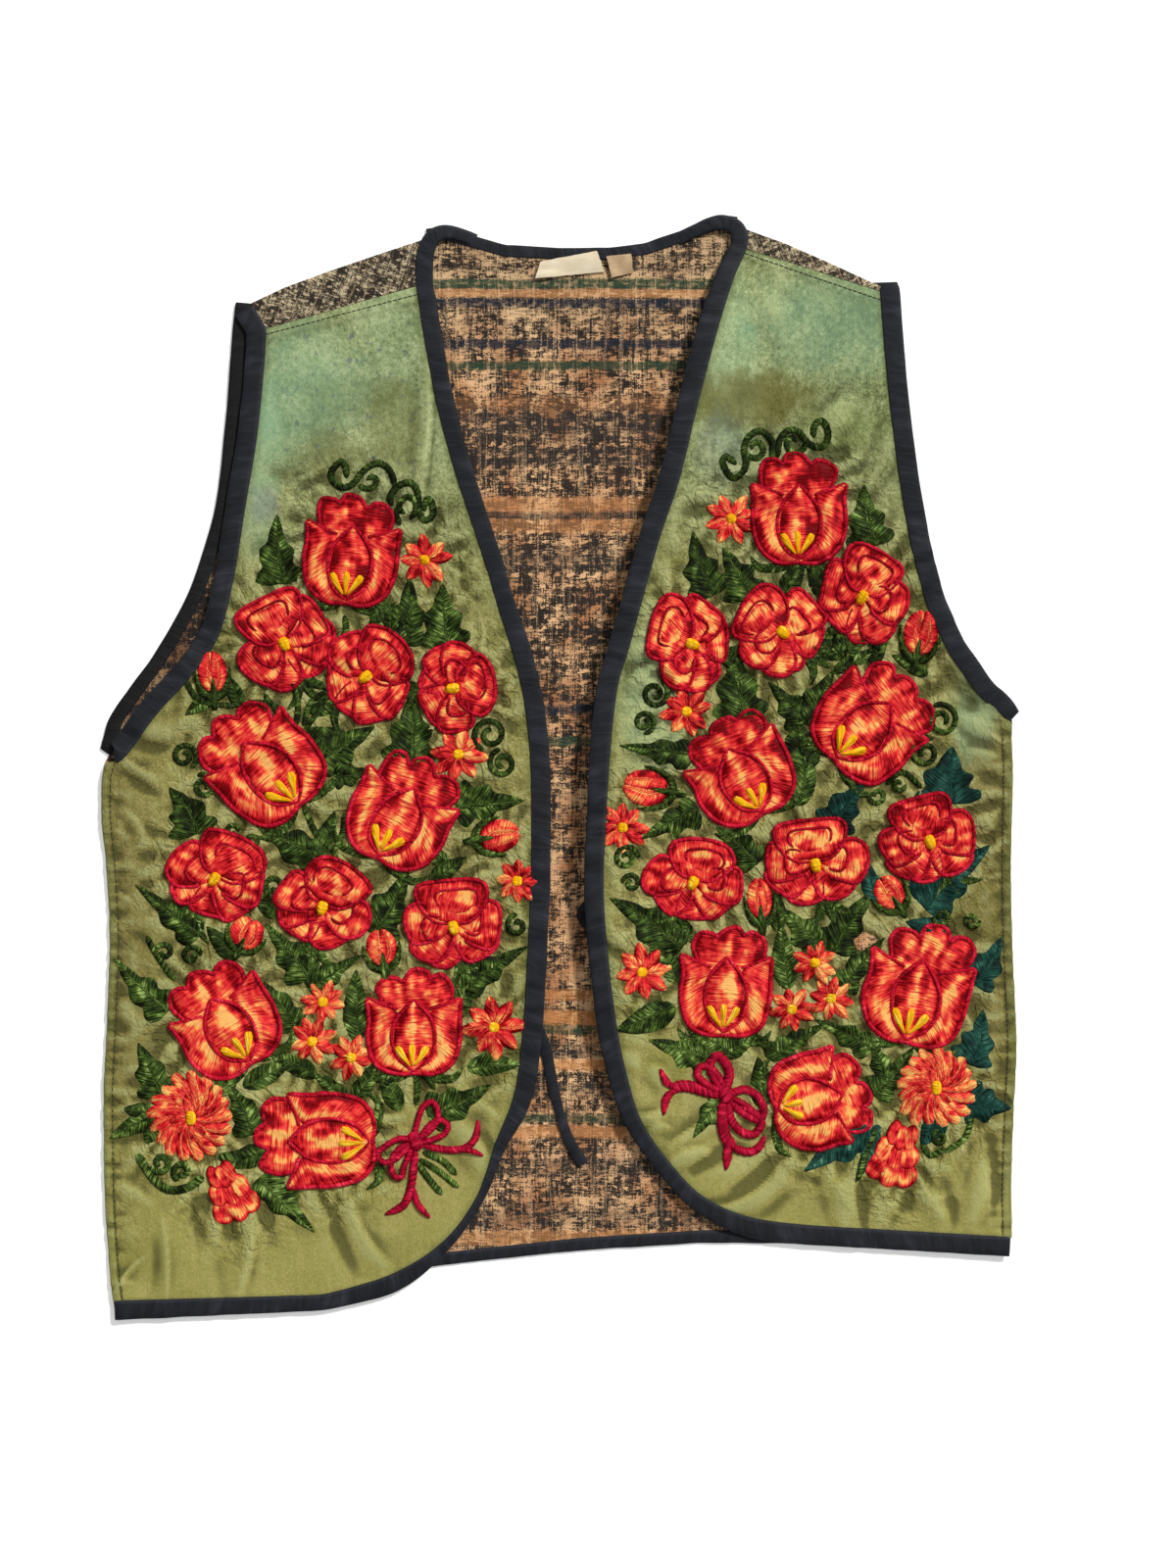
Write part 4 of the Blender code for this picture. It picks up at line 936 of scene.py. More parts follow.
@dataclass
class FrontPanel:
    """One front: a thin cotton wall with its folds, puckers and seam gathers.

    armhole_line is the place in its lines from which its side is the armhole's edge. The armhole's binding
    starts foot_rows below that, or at the x, y and width of each row of foot.
    """

    name: str
    lines: tuple[Line, ...]
    folds: tuple[Fold, ...]
    flowers: tuple["Motif", ...]
    finish: OliveCotton
    armhole_line: float
    foot_rows: int = 2
    foot: tuple[tuple[float, float, float], ...] = ()
    across: int = 134
    along: int = 316
    long: float = 560.0
    line_apart: float = 26.0
    wall: float = 1.0
    lies_at: float = 2.4
    lowest: float = 1.6
    side_reach: float = 16.0
    edge_reach: float = 46.0
    pucker: float = 2.2
    crease: float = 0.75
    turn_reach: int = 9
    turn_rounds: int = 14
    seam_ruck: Ruck = Ruck(0.9, 4.4, 22.0, 2.9, 20.0)
    edge_ruck: Ruck = Ruck(0.35, 9.0, 26.0, 5.5, 16.0)
    armhole_ruck: Ruck = Ruck(0.3, 9.0, 26.0, 6.5, 14.0)
    hem_ruck: Ruck = Ruck(0.3, 8.0, 30.0, 7.5, 16.0)

    def __post_init__(self) -> None:
        """Works out the places and heights of the upper skin."""
        self.places = even_places(self.lines, self.along)
        rows = smooth_rows(self.lines, self.places)
        share = np.linspace(0.0, 1.0, self.across)[None, :]
        self.x = rows[:, 0:1] * (1 - share) + rows[:, 2:3] * share
        self.y = rows[:, 1:2] * (1 - share) + rows[:, 3:4] * share
        self.bands = rows[:, 4]
        wide = np.hypot(rows[:, 2] - rows[:, 0], rows[:, 3] - rows[:, 1])[:, None]
        from_side, from_edge = share * wide, (1 - share) * wide
        from_hem = (np.linspace(0.0, 1.0, self.along) * self.long)[:, None]
        from_top = self.long - from_hem
        self.sewn = self.places < self.armhole_line
        seam = self.sewn[:, None] * 1.0
        height = sum(self.fold_height(fold) for fold in self.folds)
        height += rows[:, 5:6] * soft_step(1.0 - from_side / self.side_reach)
        height += rows[:, 6:7] * soft_step(1.0 - from_edge / self.edge_reach)
        pucker, busy = self.puckers()
        busy = np.maximum(busy, 0.4 * seam * soft_step(1.3 - from_side / 22.0) * soft_step(from_hem / 90.0))
        height += self.pucker * pucker + self.crease * (0.06 + 0.94 * busy) * self.creases()
        height += 0.5 * rough(self.x / 34.0, self.y / 30.0, 1.7)
        height += (0.06 + 0.16 * busy) * rough(self.x / 11.0, self.y / 12.0, 4.1)
        height += seam * self.seam_ruck.lift(self.y, from_side)
        groove = 0.9 * soft_step(1.0 - abs(from_side - 4.4) / 1.7)
        height += seam * 0.5 * (soft_step(1.0 - from_side / 9.0) - groove)
        walked = self.places[:, None] * self.line_apart
        height += self.edge_ruck.lift(walked, from_edge)
        height += (1 - seam) * self.armhole_ruck.lift(walked, from_side)
        height += self.hem_ruck.lift(self.x, from_hem)
        height += 0.45 * soft_step((7.0 - from_top) / 1.6) - 0.25 * soft_step(1.0 - abs(from_top - 5.6) / 1.4)
        self.tone = self.shade(height, np.minimum(np.minimum(from_edge, from_hem), from_side))
        # How near the embroidery and its gathers each point is, and how near the side seam; the cotton takes
        # painted shade from both
        self.near = np.stack([busy, soft_step(1.3 - from_side / 30.0)], axis=2)
        self.z = np.maximum(self.lies_at + self.wall + height, self.lowest)
        self.upper = as_points(self.x, self.y, self.z)
        self.tree = BVHTree.FromPolygons(self.upper.tolist(), grid_faces(self.along, self.across).tolist())

    def fold_height(self, fold: Fold) -> np.ndarray:
        """How far a fold lifts the cloth.

        Args:
            fold: The fold.

        Returns:
            The height at every point of the panel.
        """
        start, end = np.array([fold.from_x, fold.from_y]), np.array([fold.to_x, fold.to_y])
        run = end - start
        left = np.array([-run[1], run[0]]) / np.hypot(*run)
        share = np.linspace(0.0, 1.0, 11)
        spine = start + share[:, None] * run + (fold.bow * 4 * share * (1 - share))[:, None] * left
        away = np.full(self.x.shape, 1e9)
        side, walked = np.zeros(self.x.shape), np.zeros(self.x.shape)
        for k, (place, step) in enumerate(zip(spine, np.diff(spine, axis=0))):
            off_x, off_y = self.x - place[0], self.y - place[1]
            part = np.clip((off_x * step[0] + off_y * step[1]) / (step @ step), 0.0, 1.0)
            far = np.hypot(off_x - part * step[0], off_y - part * step[1])
            nearer = far < away
            away = np.where(nearer, far, away)
            side = np.where(nearer, step[0] * off_y - step[1] * off_x, side)
            walked = np.where(nearer, (k + part) / 10, walked)
        swell = 0.25 + 0.75 * np.sin(np.pi * walked)
        if fold.kind is PLEAT:
            near = 1.0 - away / (fold.width * np.where(side > 0, 0.35, 1.0))
            return fold.height * swell * np.clip(near, 0.0, 1.0) ** 1.5
        near = 1.0 - away / (fold.width * (0.55 + 0.45 * swell))
        sign = -1.0 if fold.kind is TROUGH else 1.0
        return sign * fold.height * swell * soft_step(near)

    def puckers(self) -> tuple[np.ndarray, np.ndarray]:
        """Creases that run out from the embroidery.

        Returns:
            Their height at every point, and how near it is to the embroidery, from 0 to 1.
        """
        total, busy = np.zeros(self.x.shape), np.zeros(self.x.shape)
        for k, flower in enumerate(self.flowers):
            turn = math.radians(flower.turn)
            off_x, off_y = self.x - flower.x, self.y - flower.y
            near = np.hypot(off_x, off_y) < 0.5 * max(flower.length, flower.width) + 34.0
            along = off_y[near] * math.cos(turn) - off_x[near] * math.sin(turn)
            over = off_x[near] * math.cos(turn) + off_y[near] * math.sin(turn)
            mean = 0.25 * (flower.length + flower.width)
            out = (np.hypot(along / (0.5 * flower.length), over / (0.5 * flower.width)) - 1.0) * mean
            fade = np.exp(-((np.maximum(out - 2.0, 0.0) / 14.0) ** 2)) * soft_step((out + 5.0) / 6.0)
            angle = np.arctan2(over, along)
            grain = mean / 9.0
            found = rough(np.cos(angle) * grain + out / 40.0, np.sin(angle) * grain, 3.3 * k + 0.4)
            total[near] += fade * (0.45 - 2.2 * np.abs(found))
            busy[near] = np.maximum(busy[near], np.exp(-((np.maximum(out, 0.0) / 20.0) ** 2)))
        return np.clip(total, -1.3, 1.0), busy

    def creases(self) -> np.ndarray:
        """Narrow ridges that wander over the whole panel."""
        bend = 9.0 * rough(self.x / 24.0, self.y / 24.0, 12.0)
        keen = 1.0 - 3.4 * np.abs(rough((self.x + bend) / 22.0, (self.y - bend) / 17.0, 21.0))
        fine = 1.0 - 3.4 * np.abs(rough((self.x - bend) / 12.0, (self.y + bend) / 14.0, 31.0))
        return np.clip(keen, -0.5, 1.0) + 0.5 * np.clip(fine, -0.5, 1.0)

    def shade(self, height: np.ndarray, from_rim: np.ndarray) -> np.ndarray:
        """What the cotton's painted shade and painted highlight follow.

        Args:
            height: How far each point is lifted.
            from_rim: How far it is from the nearest edge.

        Returns:
            Two figures a point: how hollow or proud it is about 0.5, which paints shade into hollows and a
                highlight
            onto ridges, and how near the rim it is, where the cotton is darker.
        """
        calm = height.copy()
        for _ in range(14):
            spread = np.pad(calm, 1, mode="edge")
            calm = (spread[:-2, 1:-1] + spread[2:, 1:-1] + spread[1:-1, :-2] + spread[1:-1, 2:]) / 4
        proud = np.clip(0.5 + 1.3 * (height - calm), 0.0, 1.0)
        return np.stack([proud, np.clip(1.0 - from_rim / 5.0, 0.0, 1.0)], axis=2)

    def drop(self, x: np.ndarray, y: np.ndarray) -> np.ndarray:
        """The upper skin's height at places in plan."""
        found = []
        down = Vector((0.0, 0.0, -1.0))
        for a, b in zip(x.ravel().tolist(), y.ravel().tolist()):
            hit = self.tree.ray_cast(Vector((a, b, 60.0)), down)[0]
            found.append(hit.z if hit else self.lies_at + self.wall)
        return np.array(found).reshape(x.shape)

    def build(self) -> bpy.types.Object:
        """Makes the panel's cloth, which stands for its solid."""
        lower = self.upper - np.array([0.0, 0.0, self.wall])
        points, faces = two_skins(self.upper, lower, grid_faces(self.along, self.across))
        found = {"weave": self.upper[:, :2], "tone": self.tone, "near": self.near}
        layers = {layer: np.tile(figures.reshape(-1, 2), (2, 1)) for layer, figures in found.items()}
        piece = make_piece(f"{self.name}_cloth", points, faces, layers, self.finish)
        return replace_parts(piece, f"{self.name}_panel")

    def edge(self, band: float) -> list[Station]:
        """Stations of the binding from the side corner along the hem and up the front edge.

        Args:
            band: Its width at the side corner.

        Returns:
            The stations, smoothed where the hem turns up into the front edge.
        """
        low = self.z - self.wall
        columns = range(0, self.across - 1, 2)
        widths = np.linspace(band, self.bands[0], len(columns))
        hem = [(self.x[0, i], self.y[0, i], low[0, i], wide) for i, wide in zip(columns, widths)]
        front = [(self.x[j, -1], self.y[j, -1], low[j, -1], self.bands[j]) for j in range(self.along)]
        line = np.array(hem + front)
        first, last = len(hem) - self.turn_reach, len(hem) + self.turn_reach + 1
        for _ in range(self.turn_rounds):
            bend = line[first - 1 : last - 1] + line[first + 1 : last + 1] - 2 * line[first:last]
            line[first:last] += 0.25 * bend
        return [tuple(station) for station in line.tolist()]

    def armhole(self, band: float) -> list[Station]:
        """Stations of the binding from the armhole's foot up to the shoulder seam.

        Args:
            band: Its width.

        Returns:
            The stations.
        """
        first = int(np.argmin(self.sewn)) - self.foot_rows
        stations = []
        for k, j in enumerate(range(first, self.along)):
            wide = band if self.foot else band * min(1.0, 0.42 + 0.16 * k)
            stations.append((self.x[j, 0], self.y[j, 0], self.z[j, 0] - self.wall, wide))
        if not self.foot:
            return stations
        kept = [station for station in stations if abs(station[0]) < abs(self.foot[-1][0]) - 3.0]
        return [(x, y, stations[0][2], wide) for x, y, wide in self.foot] + kept

    def inside(self, off: float, rows: slice) -> np.ndarray:
        """Places in plan along a line up the panel, off millimetres in from its side."""
        share = off / np.hypot(self.x[rows, -1] - self.x[rows, 0], self.y[rows, -1] - self.y[rows, 0])
        x = self.x[rows, 0] * (1 - share) + self.x[rows, -1] * share
        y = self.y[rows, 0] * (1 - share) + self.y[rows, -1] * share
        return np.stack([x, y], axis=1)


@dataclass
class BackPanel:
    """The back: one layer of ikat on the floor, its shoulders turned over to the fronts' seams.

    columns are those of the right shoulder, the neck and the left shoulder, and neck_from and neck_to the
    neck's shares across. The pattern is turned by turn degrees on the folded shoulders.
    """

    finish: IkatWeave
    right_seam: Line
    left_seam: Line
    wall: float = 1.1
    fold_high: float = 3.0
    columns: tuple[int, int, int] = (26, 66, 26)
    along: int = 176
    fold_steps: int = 8
    flap_steps: int = 9
    neck_from: float = 0.272
    neck_to: float = 0.779
    hem_fade: float = 0.25
    top_fade: float = 0.35
    seam_gap: float = 0.3
    turn: float = 21.0
    wide: float = 500.0
    long: float = 560.0

    def __post_init__(self) -> None:
        """Works out the flat panel."""
        left, neck, right = self.columns
        self.shares = np.concatenate([
            np.linspace(0.0, self.neck_from, left, endpoint=False),
            np.linspace(self.neck_from, self.neck_to, neck, endpoint=False),
            np.linspace(self.neck_to, 1.0, right + 1),
        ])
        self.places = even_places(BACK_ENDS, self.along)
        rows = smooth_rows(BACK_ENDS, self.places)
        up = np.linspace(0.0, 1.0, self.along)[:, None]
        share = self.shares[None, :]
        x = rows[:, 0:1] * (1 - share) + rows[:, 2:3] * share
        y = rows[:, 1:2] * (1 - share) + rows[:, 3:4] * share
        y += self.rise(HEM_RISE) * soft_step(1.0 - up / self.hem_fade)
        y += self.rise(TOP_RISE) * soft_step(1.0 - (1.0 - up) / self.top_fade)
        edge = np.minimum(np.minimum(share, 1 - share) * self.wide, np.minimum(up, 1 - up) * self.long)
        wave = 0.4 * rough(x / 46.0, y / 60.0, 3.1) + 0.3 * rough(x / 15.0, y / 24.0, 6.2)
        wave += 0.09 * rough(x / 5.0, y / 5.0, 9.4)
        hem_ruck = 0.35 * rough(x / 6.0, y / 30.0, 2.2) * soft_step(1.0 - up * self.long / 18.0)
        self.z = 0.5 * self.wall + np.clip((0.32 + wave) * soft_step(edge / 40.0) + abs(hem_ruck), 0.0, 1.3)
        self.x, self.y = x, y
        self.flaps: list[np.ndarray] = []

    def rise(self, table: Sequence[tuple[float, float]]) -> np.ndarray:
        """How far a cut edge stands above its line, at each share."""
        figures = np.array(table)
        return np.interp(self.shares, figures[:, 0], figures[:, 1])[None, :]

    def flap(self, first: int, last: int, seam: Line, from_side: bool) -> tuple[np.ndarray, np.ndarray]:
        """One shoulder turned over its crease and down to its front's seam.

        Args:
            first: The first column of the shoulder.
            last: Its last column.
            seam: The front's line at the seam.
            from_side: Whether the first column is the armhole's.

        Returns:
            The middle skin's points, row by row from the crease, and the way each looks inwards.
        """
        crease = np.stack([self.x[-1, first : last + 1], self.y[-1, first : last + 1]], axis=1)
        run = crease[-1] - crease[0]
        ahead = np.array([-run[1], run[0]]) / np.hypot(*run)
        radius = 0.5 * (self.fold_high - 0.5 * self.wall)
        foot = crease - ahead * (radius + 0.5 * self.wall)
        share = np.linspace(0.0, 1.0, last - first + 1)[:, None]
        side, front = np.array(seam[0:2]), np.array(seam[2:4])
        goal = side + (front - side) * (share if from_side else 1 - share) + ahead * self.seam_gap
        rows, looks = [], []
        for k in range(self.fold_steps + 1):
            angle = math.pi * k / self.fold_steps - 0.5 * math.pi
            out, rise = math.cos(angle), math.sin(angle)
            height = np.full((len(foot), 1), 0.5 * self.wall + radius + radius * rise)
            rows.append(np.hstack([foot + ahead * radius * out, height]))
            looks.append(np.tile([-ahead[0] * out, -ahead[1] * out, -rise], (len(foot), 1)))
        for k in range(1, self.flap_steps + 1):
            place = foot + (goal - foot) * k / self.flap_steps
            swell = 0.25 * rough(place[:, 0:1] / 9.0, place[:, 1:2] / 9.0, 5.1)
            rows.append(np.hstack([place, self.fold_high + swell * math.sin(math.pi * k / self.flap_steps)]))
            looks.append(np.tile([0.0, 0.0, -1.0], (len(foot), 1)))
        return np.stack(rows), np.stack(looks)

    def build(self) -> bpy.types.Object:
        """Makes the back's cloth with its shoulders turned over, which stands for its solid."""
        left, neck, _ = self.columns
        wide, last = len(self.shares), len(self.shares) - 1
        points = as_points(self.x, self.y, self.z)
        looks = np.tile([0.0, 0.0, 1.0], (len(points), 1))
        quads = [grid_faces(self.along, wide)]
        weave = points[:, :2].copy()
        turn = math.radians(self.turn)
        shoulders = ((0, left, self.right_seam, True), (left + neck, last, self.left_seam, False))
        for first, end, seam, from_side in shoulders:
            rows, ways = self.flap(first, end, seam, from_side)
            self.flaps.append(rows)
            top, span, count = (self.along - 1) * wide + first, end - first + 1, len(points)
            points[top : top + span] = rows[0]
            fresh = rows[1:].reshape(-1, 3)
            points = np.concatenate([points, fresh])
            looks = np.concatenate([looks, ways[1:].reshape(-1, 3)])
            sign = -1.0 if from_side else 1.0
            u = fresh[:, 0] * math.cos(turn) + sign * fresh[:, 1] * math.sin(turn)
            v = -sign * fresh[:, 0] * math.sin(turn) + fresh[:, 1] * math.cos(turn)
            weave = np.concatenate([weave, np.stack([1.5 * u + 37.0, 1.5 * v + 61.0], axis=1)])
            numbers = np.concatenate([np.arange(top, top + span), np.arange(count, count + len(fresh))])
            quads.append(numbers[grid_faces(len(rows), span)])
        half = 0.5 * self.wall
        inner, outer = points + half * looks, points - half * looks
        outer[:, 2] = np.where(looks[:, 2] > 0, np.maximum(outer[:, 2], 0.0), outer[:, 2])
        # Painted shade where the back lies lowest at its edges and beside the armholes, under the fronts
        calm = soft_step((self.z - half) / 1.2)
        from_side = np.minimum(self.shares, 1.0 - self.shares)[None, :] * self.wide
        calm = calm - 0.9 * soft_step(1.7 - from_side / 20.0) * soft_step(self.y / 12.0)
        outside = (np.arange(len(points)) >= self.z.size) * 1.0
        proud = np.concatenate([0.35 + 0.3 * calm.ravel(), np.full(len(points) - self.z.size, 0.5)])
        made, faces = two_skins(inner, outer, np.concatenate(quads))
        tone = np.stack([proud, outside], axis=1)
        layers = {"weave": np.tile(weave, (2, 1)), "tone": np.tile(tone, (2, 1))}
        piece = make_piece("back_cloth", made, faces, layers, self.finish)
        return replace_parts(piece, "back_panel")

    def on_floor(self, rows: slice, columns: slice, bands: Sequence[tuple[float, float]]) -> list[Station]:
        """Stations of a binding on the floor, along part of the panel's edge.

        Args:
            rows: The rows of that part.
            columns: Its columns.
            bands: Heights up the back, and the binding's width at each.

        Returns:
            The stations.
        """
        x, y = self.x[rows, columns].ravel(), self.y[rows, columns].ravel()
        return [(a, b, 0.0, band) for a, b, band in zip(x, y, np.interp(y, *zip(*bands)))]

    def flap_edge(self, shoulder: int, column: int, band: float) -> list[Station]:
        """Stations up a folded shoulder's side edge and over its crease.

        Args:
            shoulder: 0 for the right shoulder or 1 for the left.
            column: The edge's column.
            band: The binding's width.

        Returns:
            The stations.
        """
        rows = self.flaps[shoulder][::-1, column]
        flat = [(a, b, self.fold_high - 0.5 * self.wall, band) for a, b, _ in rows[: self.flap_steps + 1]]
        return flat + [(a, b, max(c - 1.6, 0.0), band) for a, b, c in rows[self.flap_steps + 1 :]]


@dataclass
class Strip:
    """A folded strip of binding cloth that runs through stations; its rings have points_round corners."""

    name: str
    stations: Sequence[Station]
    finish: BindingCloth
    stands_for: str
    points_round: ClassVar[int] = 12
    first_angle: ClassVar[float] = 0.26

    def ring(self) -> tuple[np.ndarray, np.ndarray]:
        """How far across and up the corners of a ring are, from -1 to 1."""
        angle = np.linspace(0.0, 2 * math.pi, self.points_round, endpoint=False) + self.first_angle
        across, up = np.cos(angle)[None, :], np.sin(angle)[None, :]
        return np.sign(across) * np.abs(across) ** 0.5, np.sign(up) * np.abs(up) ** 0.75

    def sweep(
        self, path: np.ndarray, out: np.ndarray, reach: np.ndarray, z: np.ndarray, flipped: bool,
        middle: float,
    ) -> bpy.types.Object:
        """Makes the strip from its rings and lets it stand for its solid.

        Args:
            path: The points along it.
            out: The way across it at each of them.
            reach: How far out the corners of each ring are.
            z: How high they are.
            flipped: Whether the rings run the other way round.
            middle: How far across the cloth its path is.

        Returns:
            The piece.
        """
        x, y = beside(path, out, reach)
        count, size = reach.shape
        faces = grid_faces(count, size, ring=True).tolist()
        faces += [list(range(size)), list(range((count - 1) * size, count * size))[::-1]]
        if flipped:
            faces = [face[::-1] for face in faces]
        layers = {"stitch": as_points(walk(path)[:, None], reach + middle)}
        piece = make_piece(self.name, as_points(x, y, z), faces, layers, self.finish, 80.0)
        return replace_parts(piece, self.stands_for)


@dataclass
class Binding(Strip):
    """A strip swept beside a cut edge; side is 1 where it lies to the left of its path, else -1."""

    side: int
    thick: float = 2.1
    laps: float = 0.7
    step: float = 2.2
    ruck: float = 0.28

    def build(self) -> bpy.types.Object:
        """Makes the strip."""
        path = along_path(self.stations, self.step)
        walked = walk(path)
        across, up = self.ring()
        own = len(self.name)
        worn, puff = (rough(walked / grain, 0.0, seed + own) for grain, seed in ((16.0, 3.7), (7.0, 8.7)))
        wide = (path[:, 3] + self.laps + 0.35 * worn)[:, None]
        ends = np.minimum(walked, walked[-1] - walked)
        high = (self.thick * (1.0 + 0.16 * puff) * (0.55 + 0.45 * soft_step(ends / 1.5)))[:, None]
        reach = 0.5 * wide * (1 + across) - self.laps
        wrinkle = self.ruck * rough(walked[:, None] / 5.0, reach / 7.0, 1.3 + len(self.name))
        z = np.maximum(path[:, 2:3] + (0.5 * high * (1 + up) + wrinkle * (up > 0)), 0.0)
        return self.sweep(path, self.side * sideways(path), reach, z, self.side > 0, 0.0)


@dataclass
class Tie(Strip):
    """A narrow flat strip with a free end."""

    thick: float = 1.3
    step: float = 1.6
    points_round: ClassVar[int] = 10
    first_angle: ClassVar[float] = 0.31

    def build(self) -> bpy.types.Object:
        """Makes the strip."""
        path = along_path(self.stations, self.step)
        walked = walk(path)[:, None]
        across, up = (0.5 * figure for figure in self.ring())
        reach = path[:, 3:4] * (1.0 + 0.05 * rough(walked / 9.0, 0.0, 4.4)) * across
        tilt = 0.25 * rough(walked / 14.0, 0.0, 2.4)
        z = path[:, 2:3] + self.thick * (0.5 + up) * (1 + 0.2 * tilt) + tilt * across * (up > 0)
        return self.sweep(path, sideways(path), reach, np.maximum(z, 0.3), True, 5.5)


@dataclass
class Label:
    """A bare piece of tape caught in the neck binding.

    Its corners are the upper left and right, then the lower left and right. lies is its height at its top,
    near its middle and at its foot.
    """

    name: str
    corners: tuple[tuple[float, float], ...]
    finish: LabelTape
    slot: str
    lies: tuple[float, float, float] = (2.5, 2.3, 1.9)
    across: int = 22
    along: int = 16
    wall: float = 0.5
    curl: float = 0.9

    def build(self) -> bpy.types.Object:
        """Makes the tape, which stands for its solid."""
        s, t = np.meshgrid(np.linspace(0, 1, self.across), np.linspace(0, 1, self.along))
        a, b, c, d = (np.array(corner, float) for corner in self.corners)
        x, y = ((a[k] * (1 - s) + b[k] * s) * (1 - t) + (c[k] * (1 - s) + d[k] * s) * t for k in (0, 1))
        rim = 0.25 * rough(x / 2.5, y / 2.5, 5.0)
        low = np.interp(t, (0.0, 0.45, 1.0), self.lies)
        swell = self.curl * (0.5 + 0.5 * rough(s * 2.6, t * 1.6, 2.6))
        swell = swell * np.sin(np.pi * np.clip(t * 0.8 + 0.2, 0, 1))
        corner = 1.3 * self.curl * soft_step(1.25 - np.hypot(s, 1 - t) * 2.2)
        lower = as_points(x + rim, y + rim, low + swell + corner)
        upper = lower + np.array([0.0, 0.0, self.wall])
        points, faces = two_skins(upper, lower, grid_faces(self.along, self.across)[:, ::-1])
        layers = {"stitch": np.tile(upper[:, :2], (2, 1))}
        piece = make_piece(f"{self.name}_tape", points, faces, layers, self.finish)
        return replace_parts(piece, self.name)


@dataclass
class Topstitch:
    """Rows of machine stitches, each a small capsule half sunk in the cloth.

    ring gives the corners round a stitch, to its side and up, and waist the places along it and how thick it
    is there.
    """

    name: str
    finish: SewingThread
    long: float = 2.5
    pitch: float = 3.0
    wide: float = 0.62
    high: float = 0.35
    stands: float = 0.12
    ring: ClassVar[tuple] = ((0.0, 1.0), (0.87, 0.5), (0.87, -0.5), (0.0, -1.0), (-0.87, -0.5), (-0.87, 0.5))
    waist: ClassVar[tuple] = ((-0.5, 0.3), (-0.38, 0.9), (0.0, 1.0), (0.38, 0.9), (0.5, 0.3))
    points: list[np.ndarray] = field(default_factory=list)
    faces: list[np.ndarray] = field(default_factory=list)
    layer: list[np.ndarray] = field(default_factory=list)

    def sew(self, path: np.ndarray, panel: FrontPanel) -> None:
        """Adds a row of stitches.

        Args:
            path: Its path in plan.
            panel: The panel that it is sewn on.
        """
        line = along_path(path, self.pitch)
        rings, corners = len(self.waist), len(self.ring)
        heights = panel.drop(line[:, 0], line[:, 1]) + self.stands
        for k, (place, left, z) in enumerate(zip(line, sideways(line), heights)):
            lean = 0.06 * math.sin(7.0 * k)
            left = left - lean * np.array([left[1], -left[0]])
            found = []
            for (share, fat), (side, up) in itertools.product(self.waist, self.ring):
                off, away = share * self.long, 0.5 * self.wide * side * fat
                x, y = place[0] + left[1] * off + left[0] * away, place[1] - left[0] * off + left[1] * away
                found.append((x, y, z + 0.5 * self.high * up * fat))
            self.faces.append(grid_faces(rings, corners, rings * corners * len(self.points), True))
            self.points.append(np.array(found))
            along = k * self.pitch + 0.5 * np.arange(rings)[:, None]
            self.layer.append(as_points(along, 0.3 * np.arange(corners)[None, :]))

    def build(self) -> bpy.types.Object:
        """Makes all the rows one piece."""
        points, faces = np.concatenate(self.points), np.concatenate(self.faces)[:, ::-1]
        layers = {"stitch": np.concatenate(self.layer)}
        return make_piece(self.name, points, faces, layers, self.finish, 180.0)




class Thread(Enum):
    """The colours of floss, each of which becomes one piece on a front."""

    LEAF = "leaves"
    TEAL = "teal_leaves"
    PETAL = "petals"
    OUTLINE = "outlines"
    STAMEN = "stamens"
    BOW = "bow"


@dataclass(frozen=True)
class Motif:
    """An embroidered form: its middle, size, and turn in degrees anticlockwise from upright."""

    x: float
    y: float
    length: float
    width: float
    turn: float = 0.0

    @property
    def chance(self) -> random.Random:
        """Its own run of random numbers."""
        return random.Random(int(1000 + self.x * 31 + self.y * 17))

    def sew(self, hoop: "Hoop") -> None:
        """Adds its stitching to a hoop."""

    def sized(self, points: Points) -> Points:
        """Points given as shares of its half width and half length, in millimetres."""
        return [(0.5 * self.width * x, 0.5 * self.length * y) for x, y in points]


PLAIN = Motif(0.0, 0.0, 1.0, 1.0)



